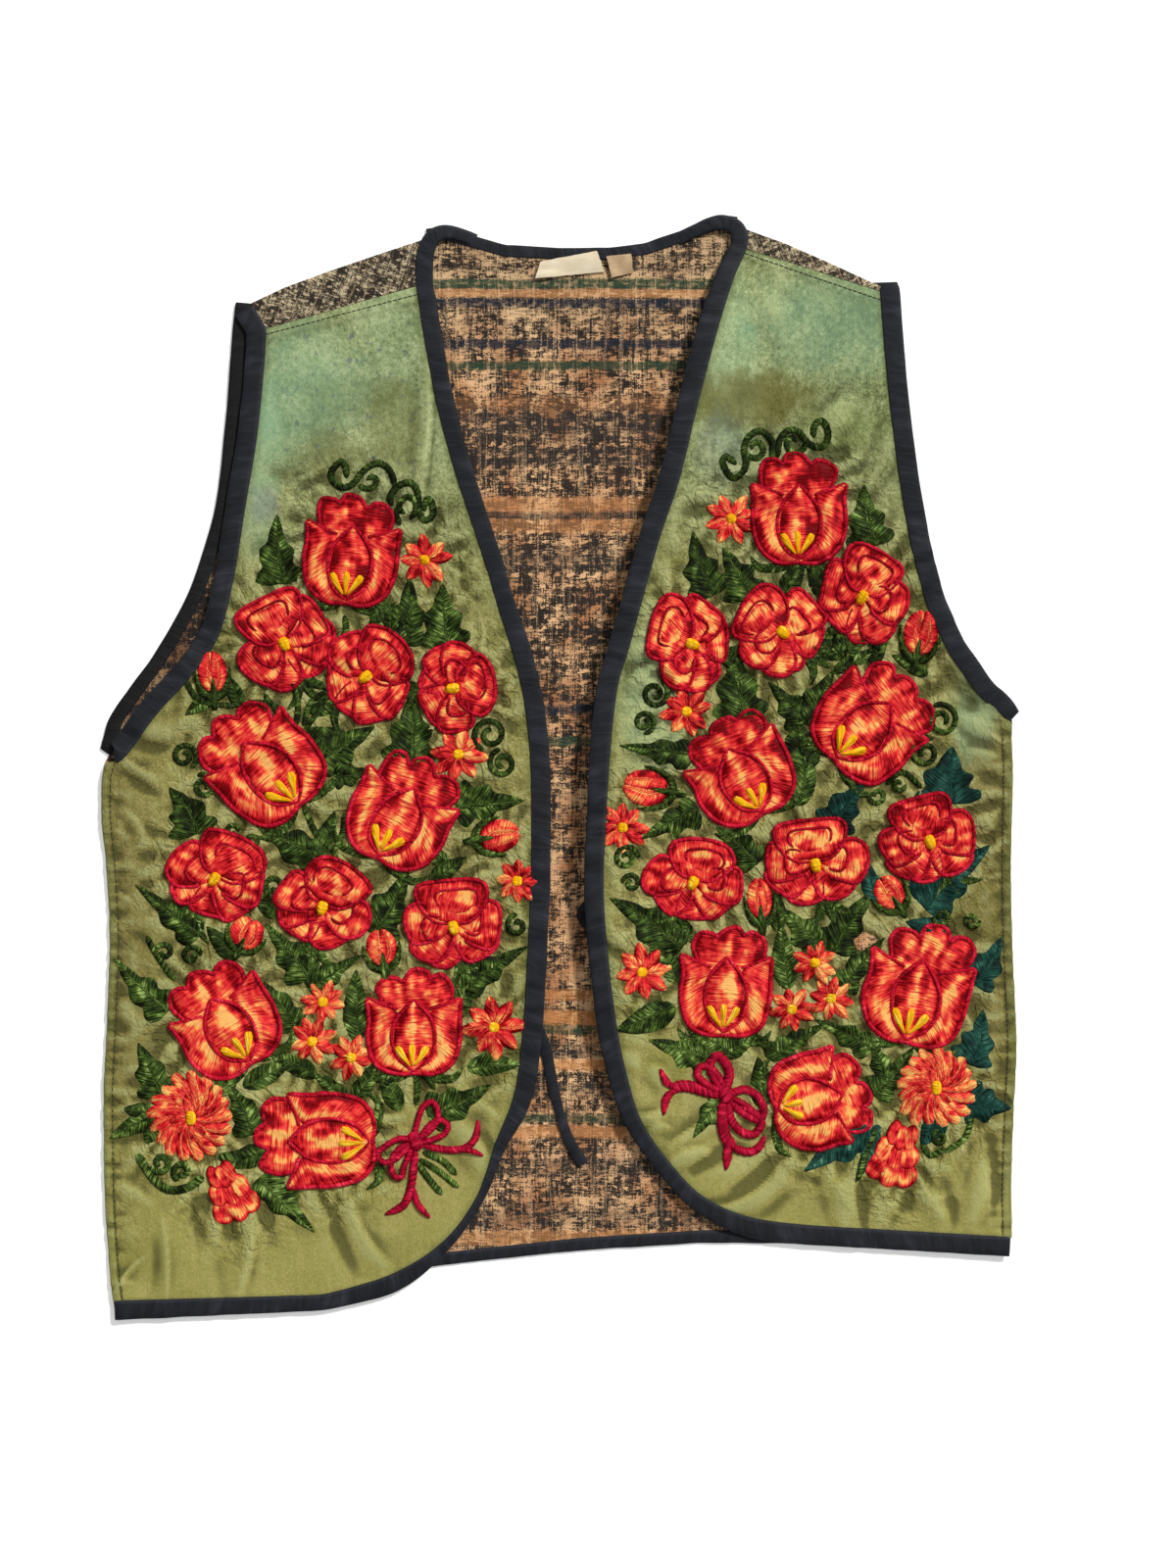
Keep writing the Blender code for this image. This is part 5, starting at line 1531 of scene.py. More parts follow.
@dataclass
class Hoop:
    """The embroidery of one front, gathered thread by thread and laid on its cloth."""

    panel: FrontPanel
    fade: float = 2400.0
    sunk: float = 0.3
    gathered: dict[Thread, list[tuple]] = field(default_factory=lambda: {thread: [] for thread in Thread})

    def lay(
        self, thread: Thread, motif: Motif, x: np.ndarray, y: np.ndarray, rise: np.ndarray,
        stitch: tuple[np.ndarray, np.ndarray], tone: tuple[NUMBER, np.ndarray],
    ) -> None:
        """Lays a grid of stitching on the cloth.

        Args:
            thread: Its floss.
            motif: What its figures are measured from.
            x: Each point's place across, in the motif's own frame.
            y: Each point's place along.
            rise: Its height above the cloth.
            stitch: How far it is across and along the threads.
            tone: How far its dye is shifted, partly by a painted highlight, and how near it is to the rim,
                where it takes painted shade.
        """
        turn = math.radians(motif.turn)
        place_x = motif.x + x * math.cos(turn) - y * math.sin(turn)
        place_y = motif.y + x * math.sin(turn) + y * math.cos(turn)
        z = self.panel.drop(place_x, place_y) + rise
        shift = 37.0 * (len(self.gathered[thread]) % 97)
        figures = (
            as_points(place_x, place_y, z),
            grid_faces(*x.shape),
            as_points(stitch[0] + shift, stitch[1] + 0.7 * shift),
            as_points(tone[0] - (place_y + 30.0) / self.fade, tone[1]),
        )
        self.gathered[thread].append(figures)

    def patch(
        self, thread: Thread, motif: Motif, left: Points, right: Points, rise: float, level: float = 0.0,
        slant: float = 90.0, dye: float = 0.0, glow: tuple[float, float, float] = (0.5, 0.0, 0.0),
        groove: float = 0.0, along: int = 18, across: int = 12,
    ) -> np.ndarray:
        """A padded patch between two edges that both run from its root to its tip.

        Args:
            thread: Its floss.
            motif: What its figures are measured from.
            left: Points of its left edge.
            right: Points of its right edge.
            rise: How far its middle stands above its rim.
            level: How far all of it stands above the cloth.
            slant: The angle of its threads from its middle line.
            dye: How far its dye is shifted.
            glow: A lighter band, partly the floss's dye and partly a painted highlight on the padding: its
                share of the way up, its place across from -1 to 1, and its strength.
            groove: The depth of the line down its middle.
            along: How many steps it has from root to tip.
            across: How many steps it has from side to side.

        Returns:
            The line of its rim, a little inside it.
        """
        share = np.linspace(0.0, 1.0, along + 1)
        one, two = (smooth_rows(edge, share * (len(edge) - 1)) for edge in (left, right))
        line, half = (one + two) / 2, (two - one) / 2
        s = np.sin(0.5 * math.pi * np.linspace(-1.0, 1.0, across + 1))[None, :]
        x, y = beside(line, half, s)
        walked = walk(line)[:, None]
        ends = np.sqrt(soft_step(np.minimum(walked, walked[-1] - walked) / 1.6))
        dome = np.sqrt(1.0 - np.abs(s) ** 2.6) * ends
        off = s * np.hypot(half[:, 0:1], half[:, 1:2])
        up = share[:, None]
        valley = groove * np.exp(-((off / 0.7) ** 2)) * soft_step(4 * up) * soft_step(5 - 5 * up)
        height = (level + rise) * dome - self.sunk * (1 - dome) - valley
        lean, feathered = math.radians(slant), slant < 89
        over = np.abs(off) if feathered else off
        stitch = (
            walked * math.sin(lean) - over * math.cos(lean),
            walked * math.cos(lean) + over * math.sin(lean) + 40.0 * (s > 0) * feathered,
        )
        narrow = min(1.0, float(np.hypot(*half.T).max()) / 9.0)
        # A lighter band, partly a painted highlight on the padding; the rim figure gives the floss's painted
        # shade
        bright = glow[2] * np.exp(-(((up - glow[0]) / 0.3) ** 2))
        bright = bright * np.exp(-(((s - glow[1]) * narrow / 0.42) ** 2))
        self.lay(thread, motif, x, y, height, stitch, (dye + bright, narrow * np.abs(s) ** 2.5))
        inner = 0.94 * half
        return np.concatenate([(line - inner)[1:-1], line[-1:], (line + inner)[-2:0:-1], line[:1]])

    def blade(
        self, thread: Thread, motif: Motif, spine: Points, halves: Sequence[float], rise: float,
        level: float = 0.0, slant: float = 90.0, dye: float = 0.0, groove: float = 0.0, along: int = 16,
        across: int = 8, other: Sequence[float] = (), sweep: float = 0.0,
        glow: tuple[float, float, float] = (0.6, 0.0, 0.12),
    ) -> np.ndarray:
        """A padded patch along a spine.

        Args:
            thread: Its floss.
            motif: What its figures are measured from.
            spine: Points along its middle, from its root to its tip.
            halves: Its half widths at even shares of the spine.
            rise: How far its middle stands above its rim.
            level: How far all of it stands above the cloth.
            slant: The angle of its threads from its middle line.
            dye: How far its dye is shifted.
            groove: The depth of the line down its middle.
            along: How many steps it has from root to tip.
            across: How many steps it has from side to side.
            other: The half widths of its right side, where they differ.
            sweep: How far both sides lean towards the tip.
            glow: A lighter band, partly a painted highlight, as for a patch.

        Returns:
            The line of its rim, a little inside it.
        """
        share = np.linspace(0.0, 1.0, along + 1)
        line = smooth_rows(spine, share * (len(spine) - 1))
        left = sideways(line)
        ahead = np.stack([left[:, 1], -left[:, 0]], axis=1) * sweep * soft_step(4.0 - 4.0 * share)[:, None]
        edges = []
        for side, table in ((1.0, halves), (-1.0, other or halves)):
            half = np.maximum(smooth_rows([(h,) for h in table], share * (len(table) - 1)), 0.0)
            edges.append(line + (side * left + ahead) * half)
        return self.patch(thread, motif, *edges, rise, level, slant, dye, glow, groove, along, across)

    def dome(
        self, thread: Thread, motif: Motif, root: Sequence[float], rim: np.ndarray, rise: float,
        level: float = 0.0, dye: float = 0.0, glow: float = 0.3, lean: float = 0.0, closed: bool = False,
        rings: int = 9,
    ) -> np.ndarray:
        """A padded patch round a root, out to a rim.

        Args:
            thread: Its floss.
            motif: What its figures are measured from.
            root: The point that it opens from.
            rim: Points of its rim in order; the first comes again at the end of a closed one.
            rise: How far it stands above its rim.
            level: How far all of it stands above the cloth.
            dye: How far its dye is shifted.
            glow: How much lighter its band near the rim is, partly the floss's dye and partly a painted
                highlight.
            lean: The way of its threads in degrees.
            closed: Whether the rim goes all the way round.
            rings: How many steps it has from its root to its rim.

        Returns:
            The line of its rim, a little inside it, and of its sides.
        """
        edge = along_path(rim, 1.7)
        walked = walk(edge)
        t = 2.0 * walked / walked[-1] - 1.0
        k = (1.0 - (1.0 - np.linspace(0.0, 1.0, rings + 1)) ** 1.6)[:, None]
        x = root[0] + (edge[:, 0] - root[0]) * k
        y = root[1] + (edge[:, 1] - root[1]) * k
        far = np.hypot(edge[:, 0] - root[0], edge[:, 1] - root[1])
        body = np.sqrt(1.0 - k**12) * (1.0 if closed else np.sqrt(1.0 - np.abs(t) ** 14))
        root_low = 0.1 if closed else 0.4
        height = level + rise * (1.0 - root_low + root_low * soft_step(k / 0.6)) * np.sqrt(1.0 - 0.75 * k**7)
        height = height * body - self.sunk * (1 - body)
        way = math.radians(lean)
        stitch = (y * math.cos(way) - x * math.sin(way), x * math.cos(way) + y * math.sin(way))
        patches = 0.5 + 0.9 * rough(walked / 9.0, 0.0, 2.0 + 7.0 * motif.chance.random())
        # A lighter band near the rim, partly a painted highlight, and darker towards the root; dark gives the
        # painted shade at the rim
        bright = glow * patches * np.exp(-(((k - 0.6) / 0.25) ** 2)) - 0.12 * (1.0 - soft_step(k / 0.4))
        dark = np.maximum(k**5, 0.0 if closed else 0.8 * np.abs(t) ** 10 * np.sqrt(k))
        self.lay(thread, motif, x, y, height, stitch, (dye + bright, dark))
        middle = np.array(root[:2])
        arc = middle + (edge - middle) * (1.0 - 0.9 / np.maximum(far, 3.0))[:, None]
        if closed:
            return arc
        start, end = (middle + (p - middle) * np.array([[0.25], [0.65]]) for p in (arc[0], arc[-1]))
        return np.concatenate([start, arc, end[::-1]])

    def cord(
        self, thread: Thread, motif: Motif, points: Sequence[Sequence[float]], wide: float, high: float,
        dye: float = 0.0, taper: float = 3.0,
    ) -> None:
        """A rounded line of satin stitches.

        Args:
            thread: Its floss.
            motif: What its figures are measured from.
            points: Points along its middle.
            wide: Its width.
            high: How far its middle stands above the cloth.
            dye: How far its dye is shifted.
            taper: Over how many millimetres it narrows at each end.
        """
        path = along_path(points, 1.1)
        walked = walk(path)[:, None]
        ends = np.sqrt(np.clip(np.minimum(walked, walked[-1] - walked) / taper + 0.08, 0.0, 1.0))
        angle = np.linspace(0.0, math.pi, 7)[None, :]
        off = 0.55 * wide * ends * np.cos(angle) * (1.0 + 0.07 * np.sin(walked * 1.9))
        height = (high + self.sunk) * np.sin(angle) ** 0.8 * (0.35 + 0.65 * ends) - self.sunk
        stitch = (walked + 0.45 * off, off)
        x, y = beside(path, sideways(path), off)
        # The cord's flanks take the floss's painted shade at the rim
        self.lay(thread, motif, x, y, height, stitch, (dye, np.abs(np.cos(angle)) ** 3))

    def build(self, threads: dict[Thread, SatinThread]) -> list[bpy.types.Object]:
        """Makes one piece of each thread that is used.

        Args:
            threads: The finish of each.

        Returns:
            The pieces.
        """
        made = []
        for thread, found in self.gathered.items():
            if not found:
                continue
            starts = np.cumsum([0] + [len(figures[0]) for figures in found])
            points, stitch, tone = (np.concatenate([figures[k] for figures in found]) for k in (0, 2, 3))
            faces = np.concatenate([figures[1] + start for figures, start in zip(found, starts)])
            layers = {"stitch": stitch, "tone": tone}
            name = f"{self.panel.name}_{thread.value}"
            faces = facing_up(points, faces)
            made.append(make_piece(name, points, faces, layers, threads[thread], 180.0))
        return made


def facing_up(points: np.ndarray, faces: np.ndarray) -> np.ndarray:
    """The faces, each turned so that it looks up."""
    a, b, c = (points[faces[:, k], :2] for k in (0, 1, 2))
    area = (b[:, 0] - a[:, 0]) * (c[:, 1] - a[:, 1]) - (b[:, 1] - a[:, 1]) * (c[:, 0] - a[:, 0])
    return np.where((area < 0)[:, None], faces[:, ::-1], faces)


@dataclass(frozen=True)
class CupBlossom(Motif):
    """A blossom seen from its side: a scalloped petal behind, two side petals and a middle one."""

    back_rim: ClassVar[Points] = (
        (-0.6, 0.05), (-0.72, 0.38), (-0.78, 0.66), (-0.6, 0.88), (-0.36, 0.87), (-0.24, 0.8), (-0.1, 0.96),
        (0.12, 1.03), (0.3, 0.94), (0.36, 0.84), (0.52, 0.92), (0.72, 0.86), (0.84, 0.66), (0.78, 0.38),
        (0.62, 0.05),
    )
    side_outer: ClassVar[Points] = (
        (-0.12, -0.96), (0.4, -1.0), (0.8, -0.78), (0.96, -0.32), (0.95, 0.08), (0.98, 0.45),
    )
    side_inner: ClassVar[Points] = (
        (-0.12, -0.96), (0.2, -0.75), (0.36, -0.36), (0.3, 0.0), (0.32, 0.26), (0.98, 0.45),
    )
    sepal: ClassVar[tuple] = (2.0, 3.0, 2.8, 2.0, 0.3)
    middle_edge: ClassVar[Points] = ((-0.03, -0.95), (0.33, -0.7), (0.46, -0.28), (0.34, 0.1), (-0.02, 0.44))

    def near(self, points: Points, side: float = 1.0, far: float = 0.03) -> Points:
        """Points in millimetres, each but the first and last a little off its place in the table.

        Args:
            points: The table.
            side: -1 to have them the other way round, or 1.
            far: How far off they may be, in half widths.

        Returns:
            The points.
        """
        chance = self.chance
        found = []
        for k, (x, y) in enumerate(points):
            inner = 0 < k < len(points) - 1
            dx, dy = (chance.uniform(-far, far) if inner else 0.0 for _ in range(2))
            found.append((side * x + dx, y + dy))
        return self.sized(found)

    def sew(self, hoop: Hoop) -> None:
        """Adds the blossom from its back to its front, with two sepals under it."""
        chance = self.chance
        half_wide, half_long = 0.5 * self.width, 0.5 * self.length
        for side in (-1, 1):
            spine = self.sized([(0.0, -0.9), (side * 0.35, -1.05), (side * 0.8, -1.08), (side * 1.02, -0.86)])
            hoop.blade(Thread.LEAF, self, spine, self.sepal, 0.7, 0.2, 60.0, groove=0.2, along=14)
        hand = chance.choice((-1, 1))
        lean = chance.uniform(-0.06, 0.08) * hand
        rim = np.array(self.near([(x + lean * (y > 0.3), y) for x, y in self.back_rim], hand, 0.035))
        root = (0.1 * lean * half_wide, 0.12 * half_long)
        dye, glow, slant = chance.uniform(-0.18, 0.0), chance.uniform(0.3, 0.5), chance.uniform(-14, 14)
        line = hoop.dome(Thread.PETAL, self, root, rim, 1.1, 0.1, dye, glow, slant)
        hoop.cord(Thread.OUTLINE, self, line[2:-2], 2.5, 1.45, chance.uniform(-0.15, 0.1), 2.0)
        first = chance.choice((-1, 1))
        for side in (first, -first):
            outer, inner = (self.near(edge, side) for edge in (self.side_outer, self.side_inner))
            bright = (chance.uniform(0.35, 0.7), chance.uniform(-0.3, 0.3), chance.uniform(0.34, 0.54))
            edges = (outer, inner) if side < 0 else (inner, outer)
            level = 0.7 + 0.2 * (side == first)
            dye = chance.uniform(-0.1, 0.05)
            hoop.patch(Thread.PETAL, self, *edges, 1.2, level, 90.0, dye, bright, along=26, across=14)
            shade = chance.uniform(-0.1, 0.1)
            hoop.cord(Thread.OUTLINE, self, outer, 2.6, level + 1.4, shade, 1.4)
            lip = [outer[-1], *self.sized([(side * 0.64, 0.33), (side * 0.3, 0.24)])]
            hoop.cord(Thread.OUTLINE, self, lip, 2.3, level + 1.35, shade, 1.4)
        edges = [self.near(self.middle_edge, side, 0.02) for side in (-1, 1)]
        bright = (chance.uniform(0.45, 0.75), chance.uniform(-0.3, 0.3), chance.uniform(0.25, 0.45))
        dye = chance.uniform(-0.08, 0.08)
        hoop.patch(Thread.PETAL, self, *edges, 1.3, 1.2, 90.0, dye, bright, along=24, across=14)
        for edge in edges:
            hoop.cord(Thread.OUTLINE, self, edge, 2.3, 2.7, chance.uniform(-0.1, 0.1), 1.4)
        halves = [h * half_wide for h in (0.02, 0.045, 0.075, 0.1, 0.04)]
        for lean in (-0.34, 0.0, 0.32):
            tip = (-0.03 + lean, -0.38 - 0.18 * abs(lean))
            spine = self.sized([(-0.03 + 0.06 * lean, -0.86), (-0.03 + 0.55 * lean, -0.66), tip])
            hoop.blade(Thread.STAMEN, self, spine, halves, 0.9, 2.5, 10.0, across=6, along=8)


@dataclass(frozen=True)
class RoundBlossom(Motif):
    """An open blossom of broad petals lapped from its foot, which is at turn, up to a front one."""

    hand: int = 1
    sepal: ClassVar[tuple] = (2.0, 2.9, 2.6, 1.7, 0.3)
    # Each petal's way from the foot in degrees, its reach, its width and how round its root is
    petals: ClassVar[tuple] = (
        (30.0, 0.93, 0.54, 0.5), (-31.0, 0.95, 0.56, 0.5), (66.0, 1.0, 0.6, 0.5), (-78.0, 1.0, 0.68, 0.45),
        (106.0, 1.0, 0.62, 0.45), (186.0, 1.04, 0.86, 0.32),
    )

    def rim(self, way: float, reach: float, wide: float, root: float) -> np.ndarray:
        """Points round a petal from its root and back, in millimetres.

        Args:
            way: Its way from the middle, in radians.
            reach: How far it reaches, in half lengths.
            wide: Half its width, in half widths.
            root: How round its root is.

        Returns:
            One row a point.
        """
        start = self.chance.uniform(0, 6) + way
        shares = (0.0, 0.03, 0.1, 0.22, 0.38, 0.55, 0.7, 0.82, 0.91, 0.97)
        outline = [(-(x**root) * math.sqrt(1 - x**5), x) for x in shares]
        outline += [(0.0, 1.0)] + [(-x, y) for x, y in reversed(outline)]
        sine, cosine = math.sin(way), math.cos(way)
        found = []
        for k, (x, y) in enumerate(outline):
            swell = 1.0 + 0.035 * soft_step(2 * y - 0.6) * math.sin(start + 1.1 * k)
            across, out = wide * x * swell, reach * y * swell
            found.append((out * cosine + across * sine, out * sine - across * cosine))
        return np.array(self.sized(found))

    def sew(self, hoop: Hoop) -> None:
        """Adds the petals from the back to the front, each with its outline, then the middle."""
        chance = self.chance
        turn = math.radians(self.turn)
        flat = replace(self, turn=0.0)
        mean = 0.25 * (self.width + self.length)
        sine, cosine = math.sin(turn), math.cos(turn)
        for side in (-1, 0, 1):
            tip = (side * 0.6 + 0.1, -1.24 - 0.1 * (side == 0))
            spine = [(0.05 * side, -0.75), (side * 0.25 + 0.05, -1.08), tip]
            turned = [(mean * (x * cosine - y * sine), mean * (x * sine + y * cosine)) for x, y in spine]
            hoop.blade(Thread.LEAF, flat, turned, self.sepal, 0.7, 0.2, 60.0, groove=0.2, along=12)
        level = 0.1
        for k, (toward, reach, wide, root) in enumerate(self.petals):
            front = k == len(self.petals) - 1
            way = math.radians(270.0 + self.turn + self.hand * (toward + chance.uniform(-7, 7)))
            far, broad = reach * chance.uniform(0.96, 1.03), wide * chance.uniform(0.92, 1.08)
            rim = self.rim(way, far, broad, root)
            middle = self.sized([(0.5 * reach * math.cos(way), 0.5 * reach * math.sin(way))])[0]
            lean = math.degrees(way) + (chance.uniform(-25, 25) if front else 90.0)
            dye, glow = chance.uniform(-0.1, 0.05), chance.uniform(0.3, 0.5)
            line = hoop.dome(Thread.PETAL, flat, middle, rim, 1.0, level, dye, glow, lean, True)
            skip = max(len(line) // (40 if front else 9), 1)
            line = line[skip:-skip]
            hoop.cord(Thread.OUTLINE, flat, line, 2.4, level + 1.4, chance.uniform(-0.15, 0.1), 2.0)
            level += 0.25
            if wide > 0.6:
                drift = np.array([math.sin(way), -math.cos(way)]) * chance.uniform(-0.12, 0.12) * mean
                inner = middle + (rim - middle) * 0.62 + drift - np.array(middle) * (0.0 if front else 0.35)
                core, shade = tuple(inner.mean(axis=0)), chance.uniform(-0.16, 0.12)
                slant = lean - 20.0
                line = hoop.dome(Thread.PETAL, flat, core, inner, 0.9, level, shade, 0.4, slant, True, 7)
                line = line[len(line) // 6 : -(len(line) // 6)]
                hoop.cord(Thread.OUTLINE, flat, line, 2.1, level + 1.75, chance.uniform(-0.2, 0.0), 3.0)
                level += 0.2
        spine = [(k * sine, -k * cosine) for k in (5.8, 1.2, -3.4)]
        halves = (0.9, 2.5, 3.4, 3.3, 1.2)
        hoop.blade(Thread.STAMEN, flat, spine, halves, 0.9, level + 1.0, 80.0, along=12, across=8)


def swirl(far: float, way: float, bend: float, shares: Sequence[float]) -> Points:
    """Points at shares of far, out from a middle that way and bending round it, in radians."""
    return [(far * s * math.cos(way + bend * s), far * s * math.sin(way + bend * s)) for s in shares]


@dataclass(frozen=True)
class StarFlower(Motif):
    """A small flower of pointed petals in mixed reds."""

    petals: int = 8
    halves: ClassVar[tuple] = (0.07, 0.2, 0.25, 0.17, 0.01)

    def sew(self, hoop: Hoop) -> None:
        """Adds the petals and the yellow middle."""
        chance = self.chance
        radius = 0.25 * (self.length + self.width)
        halves = [h * radius for h in self.halves]
        first = chance.uniform(0, 45)
        for k in range(self.petals):
            way = math.radians(first + 360.0 * k / self.petals + chance.uniform(-7, 7))
            far = radius * chance.uniform(0.9, 1.1)
            spine = swirl(far, way, chance.uniform(-0.08, 0.08), (0.1, 0.55, 1.0))
            dye = chance.choice((-0.14, -0.08, 0.0, 0.05, 0.2, 0.3))
            level, glow = 0.25 + 0.3 * (k % 2), (1.0, 0.0, 0.35)
            hoop.blade(Thread.PETAL, self, spine, halves, 0.8, level, 35.0, dye, 0.15, 8, 6, glow=glow)
        middle = ((0, -3.3), (0, 0), (0, 3.3))
        hoop.blade(Thread.STAMEN, self, middle, (1.3, 2.8, 3.2, 2.8, 1.3), 0.9, 1.1, 80.0, along=8, across=6)


@dataclass(frozen=True)
class Dahlia(Motif):
    """A flat flower of many narrow swirled petals, red inside and orange at the tips."""

    petals: int = 17
    inner_petals: int = 9
    halves: ClassVar[tuple] = (0.05, 0.1, 0.14, 0.16, 0.15, 0.08)
    inner_halves: ClassVar[tuple] = (0.06, 0.11, 0.11, 0.02)

    def sew(self, hoop: Hoop) -> None:
        """Adds the petals and the yellow middle."""
        chance = self.chance
        radius = 0.25 * (self.length + self.width)
        halves, inner_halves = ([h * radius for h in table] for table in (self.halves, self.inner_halves))
        for k in range(self.petals):
            way = 2 * math.pi * k / self.petals
            spine = swirl(radius * chance.uniform(0.9, 1.08), way, 0.5, (0.14, 0.4, 0.7, 1.0))
            tip = chance.choice((-0.08, 0.0, 0.08, 0.16))
            level, glow = 0.3 + 0.3 * (k % 2), (1.05, 0.0, 0.55)
            hoop.blade(Thread.PETAL, self, spine, halves, 0.8, level, 30.0, tip, 0.1, 12, 6, glow=glow)
        for k in range(self.inner_petals):
            spine = swirl(radius, 2 * math.pi * (k + 0.5) / self.inner_petals, 0.4, (0.1, 0.3, 0.52))
            hoop.blade(Thread.PETAL, self, spine, inner_halves, 0.6, 1.0, 30.0, -0.2, 0.1, 8, 6)
        middle = ((0, -4.6), (0, 0), (0, 4.6))
        hoop.blade(Thread.STAMEN, self, middle, (1.4, 2.7, 3.1, 2.7, 1.4), 1.0, 1.7, 80.0, along=8, across=6)


@dataclass(frozen=True)
class Bud(Motif):
    """A half-open bud between two green sepals."""

    halves: ClassVar[tuple] = (0.25, 0.55, 0.62, 0.5, 0.05)

    def sew(self, hoop: Hoop) -> None:
        """Adds the petals, then the sepals over their roots."""
        halves = [h * (0.5 * self.width) for h in self.halves]
        for side, dye in ((-1, 0.12), (1, -0.02)):
            spine = self.sized([(0.0, -0.75), (side * 0.36, -0.2), (side * 0.3, 0.45), (side * 0.12, 1.0)])
            level = 0.3 + 0.3 * (side > 0)
            hoop.blade(Thread.PETAL, self, spine, halves, 1.1, level, 70.0, dye, along=14, across=8)
        for side in (-1, 1):
            spine = self.sized([(0.0, -1.15), (side * 0.7, -0.8), (side * 1.05, -0.2), (side * 1.15, 0.3)])
            halves = (1.4, 2.2, 1.9, 1.2, 0.2)
            hoop.blade(Thread.LEAF, self, spine, halves, 0.9, 0.9, 70.0, along=14, across=6)
        spine = self.sized([(0.0, -1.6), (0.0, -0.8), (0.05, -0.1)])
        hoop.blade(Thread.LEAF, self, spine, (1.6, 2.4, 2.6, 1.8, 0.3), 0.7, 1.4, 20.0, along=8, across=6)


@dataclass(frozen=True)
class BellBud(Motif):
    """A trumpet-shaped bud of three frilled tiers."""

    # How far up each tier is, its width and how high it lies
    tiers: ClassVar[tuple] = ((-0.58, 1.0, 0.1), (-0.04, 0.84, 0.5), (0.5, 0.58, 0.9))

    def sew(self, hoop: Hoop) -> None:
        """Adds the petals from the back to the front."""
        chance = self.chance
        turns = [2.0 * math.pi * k / 16 for k in range(17)]
        for up, wide, level in self.tiers:
            for side in (-0.56, 0.56, 0.0):
                low = up - 0.1 * (side == 0.0)
                rim = [(wide * (side + 0.5 * math.sin(a)), low + 0.42 * math.cos(a)) for a in turns]
                root = self.sized([(wide * side, up)])[0]
                dye, slant = chance.uniform(-0.16, 0.16), 90.0 + 30.0 * side
                edge = np.array(self.sized(rim))
                hoop.dome(Thread.PETAL, self, root, edge, 0.8, level, dye, 0.35, slant, True, 6)


class LeafShape(Enum):
    """The outline of a leaf, as half widths at even steps from its root to its tip."""

    LOBED = (0.45, 0.9, 1.0, 0.9, 0.66, 0.76, 0.8, 0.62, 0.4, 0.36, 0.3, 0.22, 0.14, 0.07, 0.0)
    BROAD = (0.6, 0.98, 1.02, 0.92, 0.66, 0.72, 0.78, 0.7, 0.46, 0.36, 0.3, 0.22, 0.14, 0.07, 0.0)
    LANCE = (0.12, 0.55, 0.82, 1.0, 1.0, 0.92, 0.8, 0.62, 0.42, 0.18, 0.0)


@dataclass(frozen=True)
class Leaf(Motif):
    """A leaf of slanted stitches with a line down its middle."""

    shape: LeafShape = LeafShape.LOBED
    thread: Thread = Thread.LEAF

    def sew(self, hoop: Hoop) -> None:
        """Adds the leaf."""
        chance = self.chance
        spine = self.sized([(0.0, -1.0), (chance.uniform(-0.16, 0.16), 0.0), (0.0, 1.0)])
        sides = []
        for _ in range(2):
            size = 0.5 * self.width * chance.uniform(0.9, 1.08)
            sides.append([h * size * chance.uniform(0.96, 1.05) for h in self.shape.value])
        lance = self.shape is LeafShape.LANCE
        along, sweep = (16, 0.1) if lance else (34, 0.22)
        dye = chance.uniform(-0.08, 0.1)
        hoop.blade(self.thread, self, spine, sides[0], 0.8, 0.1, 56.0, dye, 0.6, along, 14, sides[1], sweep)


class Vine(NamedTuple):
    """A stitched stem: its width, points in plan, floss, height and the length of its tapered ends."""

    width: float
    points: Points
    thread: Thread = Thread.LEAF
    high: float = 1.3
    taper: float = 3.0

    def sew(self, hoop: Hoop) -> None:
        """Adds the stem."""
        hoop.cord(self.thread, PLAIN, self.points, self.width, self.high, 0.0, self.taper)


class Curl(NamedTuple):
    """A stitched spiral that winds in from start, in degrees; hand is 1 where it winds anticlockwise."""

    x: float
    y: float
    radius: float
    turns: float
    start: float
    hand: int
    width: float

    def sew(self, hoop: Hoop) -> None:
        """Adds the spiral."""
        points = []
        steps = int(12 * self.turns) + 1
        for k in range(steps + 1):
            angle = math.radians(self.start + self.hand * 360.0 * self.turns * k / steps)
            far = (self.radius - 0.35 * self.width) * (1.0 - 0.78 * k / steps)
            points.append((self.x + far * math.cos(angle), self.y + far * math.sin(angle)))
        hoop.cord(Thread.LEAF, PLAIN, points, self.width, 1.4, 0.0, 2.0)


LOBED, BROAD, LANCE, TEAL, BOW = *LeafShape, Thread.TEAL, Thread.BOW
# Every form's middle, length, width and turn
RIGHT_FLOWERS = (
    *table_of(
        CupBlossom,
        (-117, 123, 62, 54, -6), (-168, 4, 67, 60, 43), (-88, -23, 62, 58, -27), (-189, -140, 60, 58, 33),
        (-82, -142, 59, 54, 0), (-138, -209, 67, 54, 90),
    ),
    *table_of(
        RoundBlossom,
        (-155, 71, 58, 57, 25, 1), (-108, 52, 55, 50, -55, 1), (-59, 45, 53, 44, -85, -1),
        (-193, -61, 51, 55, -35, 1), (-133, -77, 50, 56, -15, -1), (-60, -88, 51, 57, 15, -1),
    ),
    *table_of(
        StarFlower,
        (-76, 117, 31, 31), (-57, 8, 33, 33), (-24, -63, 27, 27), (-133, -131, 26, 26),
        (-139, -153, 28, 28), (-117, -162, 27, 27), (-37, -145, 37, 37),
    ),
    *table_of(Dahlia, (-207, -196, 50, 50)),
    *table_of(
        Bud,
        (-195, 53, 26, 17, 4), (-35, -38, 25, 19, -80), (-176, -93, 19, 20, -25), (-100, -101, 23, 18, 8),
    ),
    *table_of(BellBud, (-186, -236, 36, 27, 25)),
)
